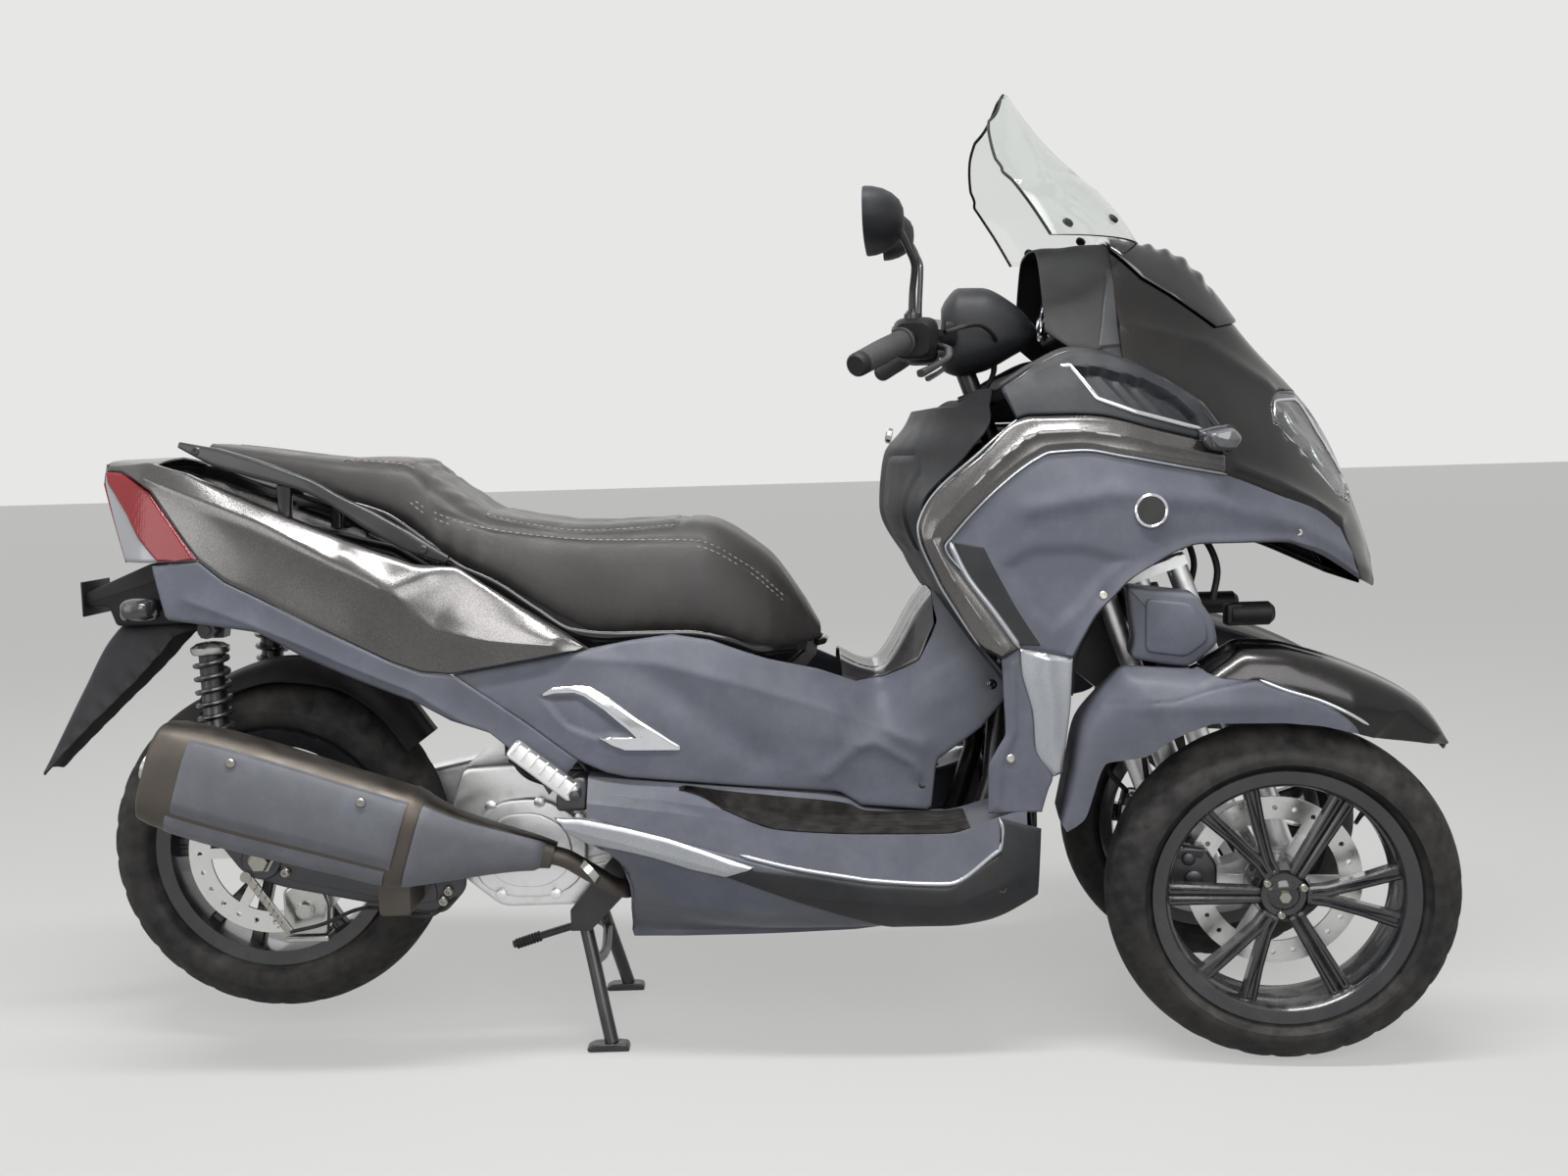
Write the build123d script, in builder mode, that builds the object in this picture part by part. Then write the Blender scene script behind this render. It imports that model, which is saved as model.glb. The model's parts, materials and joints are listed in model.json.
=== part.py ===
from build123d import *
import math
import os

# Motorised trike: a step-over scooter body on two leaning front wheels and one driven rear wheel,
# standing on its centre stand with the steering turned a little to the right.
# Millimetres. +X forwards, +Y to the vehicle's left, +Z up, origin on the floor below the middle.

# Driving sizes of the running gear
STEER_REST = -7.2
CASTER = 20.0
TRAIL = 68.0
TRACK_HALF = 235.0
FRONT_AXLE_X = 868.5
FRONT_TYRE_RADIUS = 262.0
FRONT_TYRE_WIDTH = 120.0
REAR_AXLE_X = -726.5
REAR_AXLE_Z = 322.0
REAR_TYRE_RADIUS = 276.0
REAR_TYRE_WIDTH = 140.0
RIM_RADIUS = 178.0
FLANGE_RADIUS = 195.0
FRONT_RIM_WIDTH = 92.0
REAR_RIM_WIDTH = 104.0
FORK_RADIUS = 20.5
FORK_TO_TYRE = 5.5
KINGPIN_HALF = TRACK_HALF - FRONT_TYRE_WIDTH / 2 - FORK_TO_TYRE - FORK_RADIUS
FRONT_DISC_Y = TRACK_HALF - 45.0
WALL = 3.5
PANEL_GAP = 0.15
SEAT_GAP = 0.3
MOVE_GAP = 6.0
REACH = 420.0

# Steering: the head pipe and both kingpins lean back by the caster angle
SLOPE = math.tan(math.radians(CASTER))
LEAN_COS = math.cos(math.radians(CASTER))
LEAN_SIN = math.sin(math.radians(CASTER))
LEAN_DIRECTION = (-LEAN_SIN, 0, LEAN_COS)
FRONT_AXLE_Z = FRONT_TYRE_RADIUS
KINGPIN_FOOT_X = FRONT_AXLE_X + TRAIL
HEAD_Z = 1090.0
HEAD_X = 415.0
HEAD_FOOT_X = HEAD_X + HEAD_Z * SLOPE


def kingpin_x(z):
    """X of the kingpin axes at a height."""
    return KINGPIN_FOOT_X - z * SLOPE


def head_x(z):
    """X of the steering head's axis at a height."""
    return HEAD_FOOT_X - z * SLOPE


def kingpin_axis(side):
    return Axis((KINGPIN_FOOT_X, side * KINGPIN_HALF, 0), LEAN_DIRECTION)


HEAD_AXIS = Axis((HEAD_FOOT_X, 0, 0), LEAN_DIRECTION)


def lean_plane(x_at, y, z):
    """Plane square to the steering axes, at a height, with local X forwards and local Y to the left."""
    return Plane(origin=(x_at(z), y, z), x_dir=(LEAN_COS, 0, LEAN_SIN), z_dir=LEAN_DIRECTION)


def finish(name, solid):
    """Labels a finished piece and writes it."""
    solid.label = name
    export_step(solid, f"parts/{name}.step")


def shrink(points, amount):
    """Closed outline moved inwards by an amount, corner by corner."""
    area = sum(a[0] * b[1] - b[0] * a[1] for a, b in zip(points, points[1:] + points[:1]))
    turn = 1 if area > 0 else -1
    moved = []
    for before, here, after in zip(points[-1:] + points[:-1], points, points[1:] + points[:1]):
        first = math.atan2(here[1] - before[1], here[0] - before[0])
        second = math.atan2(after[1] - here[1], after[0] - here[0])
        half = math.remainder(second - first, math.tau) / 2
        reach = turn * amount / max(math.cos(half), 0.35)
        middle = first + half + math.pi / 2
        moved.append((here[0] + reach * math.cos(middle), here[1] + reach * math.sin(middle)))
    return moved


def face(points):
    """Closed straight-sided face on the sketch that is open."""
    Polygon(*points, align=None)


def form(stations, inset=0.0, ends=0.0):
    """Solid through symmetric cross-sections: each station is x and half points from top to bottom."""
    low_x = min(stations[0][0], stations[-1][0]) + ends
    high_x = max(stations[0][0], stations[-1][0]) - ends
    with BuildPart() as body:
        for x, *half in stations:
            x = min(max(x, low_x), high_x)
            whole = half + [(-y, z) for y, z in reversed(half)]
            with BuildSketch(Plane.YZ.offset(x)):
                face(shrink(whole, inset) if inset else whole)
        loft(ruled=True)
    return body.part


def skin(name, outer, inner, edges, inboard=0.0):
    """Pair of panels: the wall between two forms, cut to side-view outlines outboard of a plane."""
    with BuildPart() as panel:
        for edge in edges:
            with BuildSketch(Plane.XZ.offset(inboard)):
                face(shrink(edge, PANEL_GAP))
            extrude(amount=REACH - inboard)
        mirror(about=Plane.XZ)
        add(outer, mode=Mode.INTERSECT)
        add(inner, mode=Mode.SUBTRACT)
    finish(name, panel.part)
    return panel.part


def tube_path(points, radius):
    """Round bar along straight runs joined by arcs, on the part that is open."""
    with BuildLine() as path:
        if len(points) > 2:
            FilletPolyline(*points, radius=radius * 2.2)
        else:
            Line(*points)
    with BuildSketch(Plane(origin=path.line @ 0, z_dir=path.line % 0)) as section:
        Circle(radius)
    sweep(section.sketch, path=path.line)


os.makedirs("parts", exist_ok=True)

# Body forms. Each station is x, then half points (y, z) from the crown down to the keel.
FRONT_FORM = [
    (255, (50, 1205), (140, 1088), (215, 975), (240, 840), (255, 400), (225, 225)),
    (450, (60, 1235), (165, 1100), (238, 985), (262, 850), (262, 400), (236, 225)),
    (620, (60, 1262), (160, 1102), (232, 982), (262, 830), (258, 400), (230, 225)),
    (740, (48, 1240), (130, 1095), (205, 965), (240, 815), (230, 400), (200, 225)),
    (880, (30, 1095), (92, 1030), (160, 900), (195, 790), (185, 400), (150, 225)),
    (1000, (16, 958), (52, 905), (90, 825), (112, 745), (100, 400), (80, 225)),
    (1060, (10, 818), (30, 795), (45, 765), (58, 722), (50, 400), (40, 225)),
    (1083, (5, 748), (14, 735), (22, 722), (28, 708), (25, 400), (20, 225)),
]
TUNNEL_FORM = [
    (-400, (150, 720), (195, 665), (208, 600), (208, 420)),
    (-200, (150, 700), (190, 662), (216, 540), (215, 420)),
    (0, (120, 700), (178, 665), (206, 520), (200, 390)),
    (170, (90, 632), (132, 606), (178, 500), (178, 365)),
    (260, (80, 592), (106, 576), (160, 480), (165, 355)),
    (340, (80, 700), (108, 668), (162, 540), (165, 355)),
    (420, (80, 790), (125, 730), (170, 590), (170, 355)),
    (480, (80, 830), (140, 750), (175, 620), (170, 355)),
]
TAIL_FORM = [
    (-955, (40, 960), (60, 954), (74, 930), (100, 800), (108, 700)),
    (-860, (60, 960), (108, 950), (125, 905), (146, 800), (158, 690)),
    (-700, (90, 930), (142, 896), (165, 850), (168, 760), (168, 640)),
    (-520, (120, 875), (178, 823), (203, 765), (206, 660), (200, 560)),
    (-376, (140, 850), (196, 787), (221, 706), (214, 610), (208, 470)),
    (-200, (150, 715), (186, 674), (201, 655), (214, 560), (215, 395)),
    (-150, (150, 700), (183, 660), (197, 645), (214, 540), (214, 395)),
]
BELLY_FORM = [
    (-250, (225, 440), (236, 402), (195, 300), (120, 215)),
    (-100, (240, 430), (250, 385), (205, 262), (130, 196)),
    (100, (250, 425), (264, 325), (218, 225), (150, 196)),
    (350, (255, 425), (268, 288), (232, 222), (160, 200)),
    (440, (255, 430), (268, 335), (246, 245), (170, 215)),
    (495, (255, 440), (262, 372), (248, 268), (190, 250)),
]

# Lamps and turn signals
LAMP_INBOARD = 12.0
LAMP_DEPTH = 28.0
SIGNAL = [(743, 957), (791, 965), (808, 945), (792, 923), (754, 928)]
SIGNAL_INBOARD = 192.0
SIGNAL_LENGTH = 62.0

# Windscreen and meter hood: height, X in the middle, X at the edges, half width
SCREEN = [
    (1257.5, 703, 531, 185), (1302, 674, 504, 178), (1340, 640, 478, 170), (1365, 612, 460, 150),
    (1422, 556, 452, 112), (1461, 527, 461, 62), (1503, 501, 490, 12),
]
SCREEN_WALL = 4.0
MOUNT_THICK = 8.0
SCREEN_MOUNT = [(640, 1330), (860, 1330), (848, 1130), (805, 1120), (731, 1171), (686, 1198), (640, 1245)]
HOOD = [(1085, 650, 520, 158), (1180, 644, 530, 150), (1252.6, 649, 530, 120)]
METER = [(575, 1110), (625, 1110), (619.5, 1195), (568, 1180)]
METER_HALF = 80.0

# Rider's side of the front: height, X at the edges, X in the middle, half width
LEG_SHIELD = [
    (372, 478, 470, 262), (560, 462, 455, 262), (650, 404, 398, 262), (752, 347, 335, 262),
    (853, 328, 283, 262), (938, 415, 292, 262), (985, 468, 325, 262), (1005, 472, 335, 262),
]
LEG_COWL = [
    (412, 395), (414, 465), (440, 520), (436, 628), (463, 645), (465, 611),
    (481, 544), (484, 494), (510, 450), (505, 440), (492, 395),
]
SHROUD_X = 484.0
SHROUD = [(150, 258), (225, 276), (236, 300), (236, 552), (215, 570)]
SHROUD_PITCH = 30.0
SHROUD_SLOTS = 8
SHROUD_SLOT_Z = 420.0
SHROUD_SLOT_WIDTH = 320.0

# Floor: X, then (y, z) from the tunnel out to the bottom of the sill
FLOOR = [
    (-190, (177, 462), (206, 460), (222, 440), (236, 425), (240, 405)),
    (-44, (150, 444), (200, 443), (214, 415), (246, 406), (252, 364)),
    (120, (150, 423), (186, 422), (200, 384), (252, 375), (262, 318)),
    (205, (150, 407), (178, 406), (188, 376), (255, 369), (265, 302)),
    (235, (150, 388), (172, 387), (182, 375), (256, 368), (266, 297)),
    (350, (150, 378), (168, 377), (175, 374), (258, 366), (268, 289)),
    (428, (150, 395), (170, 394), (178, 393), (261, 391), (268, 338)),
]
FLOOR_WALL = 5.0
BELLY = [
    (-236, 402), (-190, 404), (-44, 363), (120, 317), (205, 301), (235, 296), (350, 288), (428, 337),
    (430, 391), (492, 372), (488, 265), (415, 215), (216, 190), (-139, 180), (-126, 286), (-136, 323), (-188, 372),
]

# Middle and tail panels, side view
SIDE_PANEL = [
    (-171, 658), (-57, 673), (2, 662), (87, 629), (169, 606), (228, 582), (271, 586), (325, 614), (356, 674),
    (344, 741), (350, 745), (402, 683), (455, 589), (463, 565), (417, 511), (347, 459), (337, 382), (229, 393),
    (195, 417), (78, 432), (-41, 447), (-130, 458), (-161, 466), (-203, 487), (-275, 543), (-389, 623), (-180, 656),
]
TUNNEL_INBOARD = 100.0
TUNNEL_TOP = [
    (206, 590.9), (228, 582), (271, 586), (325, 614), (356, 674), (344, 741), (317, 783), (300, 850), (206, 850),
]
TAIL_COWL = [
    (-956, 970), (-860, 970), (-800, 940), (-665, 880), (-518, 821), (-441, 793), (-376, 787), (-180, 656),
    (-390, 623), (-436, 627), (-479, 643), (-597, 699), (-743, 769), (-783, 802), (-863, 909), (-921, 941),
    (-956, 945),
]
TAIL_LAMP = [(-956, 945), (-921, 941), (-863, 909), (-783, 802), (-831, 799), (-907, 800), (-956, 925)]
REAR_SIDE = [
    (-783, 802), (-743, 769), (-597, 699), (-479, 643), (-436, 627), (-390, 623), (-275, 543), (-203, 487),
    (-250, 434), (-275, 479), (-336, 532), (-394, 552), (-447, 582), (-518, 610), (-623, 653), (-695, 691),
    (-838, 714), (-863, 798), (-831, 799),
]

# Grab rails: X, inner and outer half width, low and high edge
RAIL = [
    (-819, 95, 110, 978, 986), (-717, 122, 140, 934, 962), (-603, 143, 160, 902, 919),
    (-548, 150, 168, 860, 897), (-443, 165, 182, 800, 837), (-395, 168, 184, 790, 800),
]
RAIL_POST = (-660, -640, 838.2, 925)
RAIL_POST_Y = 136.0
RAIL_POST_WIDTH = 22.0

# Rear mudguard, plate bracket and rear signals
MUDGUARD = [(-968, 690), (-1116, 485), (-1112, 458), (-838, 690)]
MUDGUARD_HOLLOW = [(-966, 686), (-1112, 483), (-1107, 440), (-838, 630), (-838, 686)]
MUDGUARD_HALF = 46.0
PLATE_ARM = [
    (-1016, 749), (-1016, 727), (-978, 724), (-968, 690), (-838, 690), (-830, 714),
    (-830, 856.9), (-860, 856.9), (-905, 795),
]
PLATE_ARM_HALF = 45.0
PLATE_CENTRE = (-1019, 0, 738)
PLATE_SPACING = 60.0
PLATE_HOLE_RADIUS = 3.3
PLATE_HOLE_DEPTH = 24.0
REAR_SIGNAL = (-892, 727)
REAR_SIGNAL_REACH = 55.0
REAR_SIGNAL_LENGTH = 50.0

# Storage tub under the seat
TUB = [(-330, 480), (63, 480), (63, 605), (-330, 605)]
TUB_HOLLOW = [(-326.5, 483.5), (59.5, 483.5), (59.5, 620), (-326.5, 620)]
TUB_HALF = 128.0

# Frame: tube bends are (x, y, z) on the left, cross tubes are (x, z, half length)
MAIN_RAIL = [
    (549, 20, 720), (455, 110, 560), (440, 120, 420), (400, 120, 300), (-130, 120, 300), (-190, 155, 470),
    (-330, 160, 640), (-560, 140, 790), (-846, 74, 872),
]
RAIL_TUBE = 16.0
CROSS_TUBES = [(400, 300, 120), (-80, 300, 120), (-330, 640, 160), (-838, 870, 76)]
HOOP = [(76, -120, 300), (76, -120, 540), (76, 120, 540), (76, 120, 300)]
HEAD_PIPE_Z = 770.0
HEAD_PIPE_RADIUS = 33.0
HEAD_PIPE_LENGTH = 170.0
HEAD_BORE_RADIUS = 16.3
SPINE = [(560, 820), (655, 724), (724, 534), (640, 534), (560, 600), (480, 700), (500, 820)]
SPINE_HALF = 30.0
ARM_HEIGHTS = (690, 575)
ARM_DEPTH = 28.0
ARM_HEIGHT = 36.0
ARM_PIN_RADIUS = 10.0
ARM_PIN_LENGTH = 62.0
STAND_LUG = [(-240, 188), (-208, 188), (-110, 288), (-110, 312), (-165, 312), (-240, 222)]
ENGINE_LUG = [(-105, 285), (-105, 318), (-150, 360), (-178, 345), (-165, 300)]
SHOCK_LUG = [(-798, 680), (-762, 680), (-740, 800), (-742, 842), (-776, 850), (-779, 795), (-800, 770)]
SHROUD_LUG = [(445, 470), (483.7, 470), (483.7, 492), (445, 492)]
FLOOR_LUGS = [[(340, 300), (360, 300), (360, 371.8), (340, 371.8)], [(-54, 300), (-34, 300), (-34, 437.3), (-54, 437.3)]]
BRACKETS = [(STAND_LUG, 99, 110), (ENGINE_LUG, 98.2, 112), (SHOCK_LUG, 98, 126), (SHROUD_LUG, 112, 128)]
BRACKETS += [(edge, 118, 160) for edge in FLOOR_LUGS]
HINGE_LUG = [(63.5, 530), (92, 530), (168, 616), (171, 637), (153, 637), (149, 618), (66, 550)]

# Kingpin posts, fork legs and front wheel fittings
POST_RADIUS = 23.0
POST_BORE = 13.3
POST_LENGTH = 186.0
KINGPIN_RADIUS = 13.0
CROWN_HEIGHTS = (736, 530)
CROWN_THICK = 16.0
FORK_OFFSET = 58.0
FORK_LEG = [(480, 745, 16.5), (250, 500, FORK_RADIUS)]
FORK_BRACKETS = [(600, -58), (600, 58)]
AXLE_BLOCK = 60.0
AXLE_RADIUS = 12.0
AXLE_END = TRACK_HALF + 27.0
FRONT_CALIPER = [(714, 236), (708, 262), (711, 298), (725, 320), (762, 316), (778, 290), (778, 240)]
CALIPER_INNER = FRONT_DISC_Y - 30.0
CALIPER_OUTER = FRONT_DISC_Y + 22.0
FORK_COVER = [(640, 729), (742, 716), (769, 675), (775, 640), (735, 606), (703, 609), (645, 619), (651, 649)]
COVER_INNER = TRACK_HALF - 57.0
COVER_OUTER = TRACK_HALF

# Front fenders: side view, its open hollow, and the plan they are cut to, from the tyre's middle outwards
FENDER = [
    (536, 381), (564, 518), (614, 586), (635, 614), (732, 599), (806, 643), (892, 631), (973, 602), (1055, 556),
    (1082, 527), (1105, 490), (993, 508), (956, 519), (904, 531), (852, 535), (762, 535), (703, 512), (660, 483),
    (606, 472), (572, 384), (547, 365),
]
FENDER_HOLLOW = [
    (538.5, 355), (540, 381), (567.5, 516), (617, 583), (637, 610), (732, 595), (807, 639), (892, 627), (972, 598),
    (1052.5, 553), (1078, 524), (1096, 493), (1110, 400), (600, 340),
]
FENDER_INNER = TRACK_HALF - 57.0
FENDER_OUTER = TRACK_HALF + 70.0
FENDER_PLAN_Z = 340.0
FENDER_PLAN_HEIGHT = 330.0
FENDER_PLAN = [
    (525, -40), (525, 45), (580, 55), (640, 68), (700, 70), (960, 70), (1040, 58), (1090, 33), (1106, 5),
    (1106, -13), (1085, -40), (1040, -55), (960, -57), (620, -57),
]

# Wheels, hubs and discs
DISC_WALL = 4.0
DISC_RADIUS = 133.0
DISC_INNER = 98.0
DISC_ARMS = 6
DISC_HOLES = 24
HUB_RADIUS = 45.0
FRONT_HUB_OUTER = AXLE_END
FRONT_SPOKE_Y = 23.0
SPOKE_THICK = 22.0
SPOKE_PAIRS = 3
SPOKE_FORK = [(34, -3), (62, -2), (174, 30), (170, 50), (60, 16), (34, 14)]
SPOKE_PLAIN = [(34, -11), (174, -15), (174, 15), (34, 11)]
REAR_DISC_Y = 72.0
REAR_HUB_LEFT = 60.0

# Engine, transmission and swing arm, side view
ENGINE = [
    (-430, 380), (-430, 290), (-353, 225), (-180, 225), (-120, 270), (-100, 330), (-110, 440), (-300, 462), (-406, 458),
]
ENGINE_HALF = 98.0
BELT_CASE = [
    (-230, 300), (-240, 255), (-290, 232), (-350, 230), (-620, 262), (-640, 300), (-640, 370), (-600, 400),
    (-340, 450), (-270, 440), (-232, 390),
]
BELT_INNER = 84.0
BELT_OUTER = 150.0
GEAR_CASE = [
    (-600, 270), (-640, 255), (-700, 250), (-760, 262), (-795, 300), (-800, 345), (-770, 388), (-720, 400),
    (-640, 395), (-600, 390),
]
GEAR_OUTER = 106.0
SWING_ARM = [
    (-405, 300), (-405, 262), (-440, 224), (-480, 226), (-700, 275), (-760, 300), (-800, 355), (-792, 388),
    (-765, 392), (-735, 370), (-680, 352), (-640, 325), (-500, 290), (-450, 300),
]
ARM_INNER = 98.3
ARM_OUTER = 114.0
REAR_CALIPER = [(-700, 192), (-640, 192), (-636, 240), (-650, 290), (-700, 262)]

# Rear shocks
SHOCK_Y = 138.0
SHOCK_FOOT_X = -772.0
SHOCK_FOOT_Z = 372.0
SHOCK_HEAD_X = -780.0
SHOCK_HEAD_Z = 695.0
SHOCK_STUD = 7.0
SHOCK_EYE = 14.0
SHOCK_ROD = 8.0
SHOCK_BODY = [(20, 60, 14), (56, 284, 20), (284, 294, 24)]
SHOCK_TURNS = 13
SHOCK_SPRING_START = 62.0
SHOCK_PITCH = 18.0
SHOCK_COIL = 24.0
SHOCK_WIRE = 4.5

# Muffler sections: x, distance to the right, z, width, height
MUFFLER = [(-838, 232, 497, 100, 150), (-781, 232, 479, 108, 165), (-455, 232, 378, 105, 150)]
MUFFLER_ALONG = (375, 0, -117)
MUFFLER_CORNER = 42.0
CONE_END = (-250, 190, 335)
PIPE_RADIUS = 14.0
EXHAUST = [(-250, 190, 335), (-142, 155, 266), (-142, 110.4, 266)]
MUFFLER_BRACKET = [(-520, 250), (-470, 250), (-470, 370), (-520, 380)]
TAILPIPE_RADIUS = 17.0
TAILPIPE_DEPTH = 30.0

# Pillion pegs and centre stand
PEG = [(-291, 526), (-309, 504), (-215, 429), (-197, 451)]
PEG_INNER = 222.0
PEG_WIDTH = 28.0
PEG_MOUNT = [(-238, 410), (-190.6, 410), (-190.6, 462), (-212, 462), (-238, 436)]
PEG_MOUNT_INNER = 169.8
STAND_X = -224.0
STAND_Z = 205.0
STAND_PIN_RADIUS = 7.0
STAND_TUBE = 13.0
STAND_INNER = 92.0
STAND_LUG_OUTER = 110.0
STAND_LEG = [(-224, 78, 205), (-206, 100, 130), (-178, 136, 14)]
STAND_LEG_RADIUS = 11.0
STAND_FOOT_X = -182.0
STAND_FOOT_Y = 136.0
STAND_FOOT_HEIGHT = 14.0
STAND_FOOT_LENGTH = 66.0
STAND_FOOT_WIDTH = 26.0
STAND_TANG = [(-206, 104, 125), (-235, 172, 118), (-388, 178, 74)]
STAND_TANG_RADIUS = 7.0

# Seat: X, half width and height of the top, half width and height of the bottom
SEAT = [
    (-785, 75, 985, 80, 965), (-700, 100, 975, 108, 930), (-560, 125, 956, 132, 890), (-470, 128, 950, 140, 855),
    (-410, 135, 908, 148, 800), (-330, 140, 860, 156, 760), (-180, 146, 844, 160, 675), (-20, 136, 846, 152, 672),
    (90, 95, 790, 118, 640), (150, 60, 710, 70, 642), (178, 35, 660, 38, 644),
]
SEAT_BASE = 14.0
HINGE_X = 160.0
HINGE_Z = 628.0
HINGE_PIN = 4.0
HINGE_KNUCKLE = 9.0
HINGE_HALF = 26.0
LUG_THICK = 6.0
HINGE_SWEEP = 17.0
HINGE_WEB = [(158, 637), (158, 622), (140, 626), (120, 634), (120, 640), (148, 641)]

# Handlebar, straight ahead
STEM_LOW = 660.0
STEM_HIGH = 1090.0
STEM_RADIUS = 16.0
BAR = [(274, 391, 1078), (338, 285, 1114), (400, 60, 1122)]
BAR_RADIUS = 11.0
GRIP = [(-10, 6, 19), (6, 118, 17)]
SWITCH_INNER = 225.0
SWITCH_WIDTH = 53.0
SWITCH_X = 348.0
SWITCH_Z = 1114.0
LEVER = [(372, 250, 1104), (398, 300, 1088), (360, 388, 1062)]
LEVER_RADIUS = 6.0
BAR_COVER = [(388, 92, 1066, 1180), (415, 106, 1060, 1200), (450, 104, 1066, 1199), (500, 88, 1090, 1173), (535, 58, 1110, 1140)]
MIRROR_STEM = [(345, 255, 1148), (346, 258, 1180), (350, 275, 1215), (330, 325, 1262)]
MIRROR_TUBE = 5.0
MIRROR_LIFT = (0, 45)
MIRROR_X = 310.0
MIRROR_Y = 332.0
MIRROR_Z = 1279.0
MIRROR_WIDTH = 150.0
MIRROR_HEIGHT = 88.0
MIRROR_DEPTH = 55.0

front_outer = form(FRONT_FORM)
front_inner = form(FRONT_FORM, WALL, WALL)
tunnel_outer = form(TUNNEL_FORM)
tunnel_inner = form(TUNNEL_FORM, WALL)
tail_outer = form(TAIL_FORM)
tail_inner = form(TAIL_FORM, WALL, WALL)
belly_outer = form(BELLY_FORM)
belly_inner = form(BELLY_FORM, WALL)

# Side-view outlines of the panels, as (x, z)
BAND_REAR = [(436, 628), (404, 649), (342, 752), (317, 825), (326, 853), (413, 938), (467, 982)]
BAND_TOP = [(488, 986), (582, 984), (782, 936)]
BAND_LOW = [(760, 899), (563, 934), (513, 932), (449, 894), (366, 812), (356, 798), (463, 645)]
VENT_TOP = [(445, 1038), (495, 1068), (563, 1093), (613, 1083), (700, 1040), (757, 1003), (783, 965)]
SIDE_TOP = [(953, 832), (1003, 800)]
ARCH = [(1043, 716), (950, 764), (876, 787), (739, 790), (627, 740), (581, 694), (542, 627)]
STRIP = [(542, 627), (538, 560), (524, 455), (510, 450), (484, 494), (481, 544), (465, 611), (463, 645)]
HEADLAMP = [(880, 1005), (903, 1030), (960, 1030), (1060, 900), (1040, 838), (1003, 850), (925, 932), (880, 975)]

skin("shoulder_bands", front_outer, front_inner, [BAND_REAR + BAND_TOP + BAND_LOW], 60)
skin("vent_panels", front_outer, front_inner, [VENT_TOP + BAND_TOP[::-1] + BAND_REAR[:-2:-1]], 60)
skin("side_cowls", front_outer, front_inner, [BAND_LOW[::-1] + SIDE_TOP + ARCH], 20)
skin("leg_strips", front_outer, front_inner, [STRIP], 60)

# Nose: the metallic shell from the screen down to the beak, open where the headlamps sit
NOSE = [(650, 1300), (1110, 1300), (1110, 690), (1043, 690), ARCH[0], SIDE_TOP[1], SIDE_TOP[0], BAND_LOW[0]]
NOSE += [BAND_TOP[2]] + VENT_TOP[:1:-1] + [(628, 1150)]
with BuildPart() as nose_cowl:
    with BuildSketch(Plane.XZ):
        face(shrink(NOSE, PANEL_GAP))
    extrude(amount=REACH, both=True)
    add(front_outer, mode=Mode.INTERSECT)
    add(front_inner, mode=Mode.SUBTRACT)
    with BuildSketch(Plane.XZ.offset(LAMP_INBOARD)):
        face(shrink(HEADLAMP, -PANEL_GAP))
    extrude(amount=REACH, mode=Mode.SUBTRACT)
    with BuildSketch(Plane.XZ.offset(-LAMP_INBOARD)):
        face(shrink(HEADLAMP, -PANEL_GAP))
    extrude(amount=-REACH, mode=Mode.SUBTRACT)
finish("nose_cowl", nose_cowl.part)

# Headlamps: lens and lamp body in one, flush with the nose
skin("headlamps", front_outer, form(FRONT_FORM, LAMP_DEPTH), [HEADLAMP], LAMP_INBOARD)

# Turn signals on the nose, behind the headlamps
with BuildPart() as front_signals:
    with BuildSketch(Plane.XZ.offset(SIGNAL_INBOARD)):
        face(SIGNAL)
    extrude(amount=SIGNAL_LENGTH, taper=14)
    add(form(FRONT_FORM, -PANEL_GAP), mode=Mode.SUBTRACT)
    mirror(about=Plane.XZ)
finish("front_signals", front_signals.part)

# Windscreen: a clear sheet wrapped back at its sides and narrowing upwards
with BuildPart() as windscreen:
    for z, middle, edge, half in SCREEN:
        with BuildSketch(Plane.XY.offset(z)):
            with BuildLine():
                outer = ThreePointArc((edge, -half), (middle, 0), (edge, half))
                inner = ThreePointArc((edge - 1, half - 3), (middle - SCREEN_WALL, 0), (edge - 1, 3 - half))
                Line(outer @ 1, inner @ 0)
                Line(inner @ 1, outer @ 0)
            make_face()
    loft(ruled=True)
finish("windscreen", windscreen.part)

# Dark strip under the screen, laid on the nose
mount_outer = form(FRONT_FORM, -MOUNT_THICK)
mount_inner = form(FRONT_FORM, -SEAT_GAP)
skin("screen_mount", mount_outer, mount_inner, [SCREEN_MOUNT])

# Meter hood: a wall round the instruments, open towards the rider, with the meter inside it
with BuildPart() as meter_hood:
    for z, middle, edge, half in HOOD:
        with BuildSketch(Plane.XY.offset(z)):
            with BuildLine():
                outer = ThreePointArc((edge, -half), (middle, 0), (edge, half))
                inner = ThreePointArc((edge, half - WALL), (middle - WALL, 0), (edge, WALL - half))
                Line(outer @ 1, inner @ 0)
                Line(inner @ 1, outer @ 0)
            make_face()
    loft(ruled=True)
    with BuildSketch(Plane.XZ):
        face(METER)
    extrude(amount=METER_HALF, both=True)
finish("meter_hood", meter_hood.part)

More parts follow.
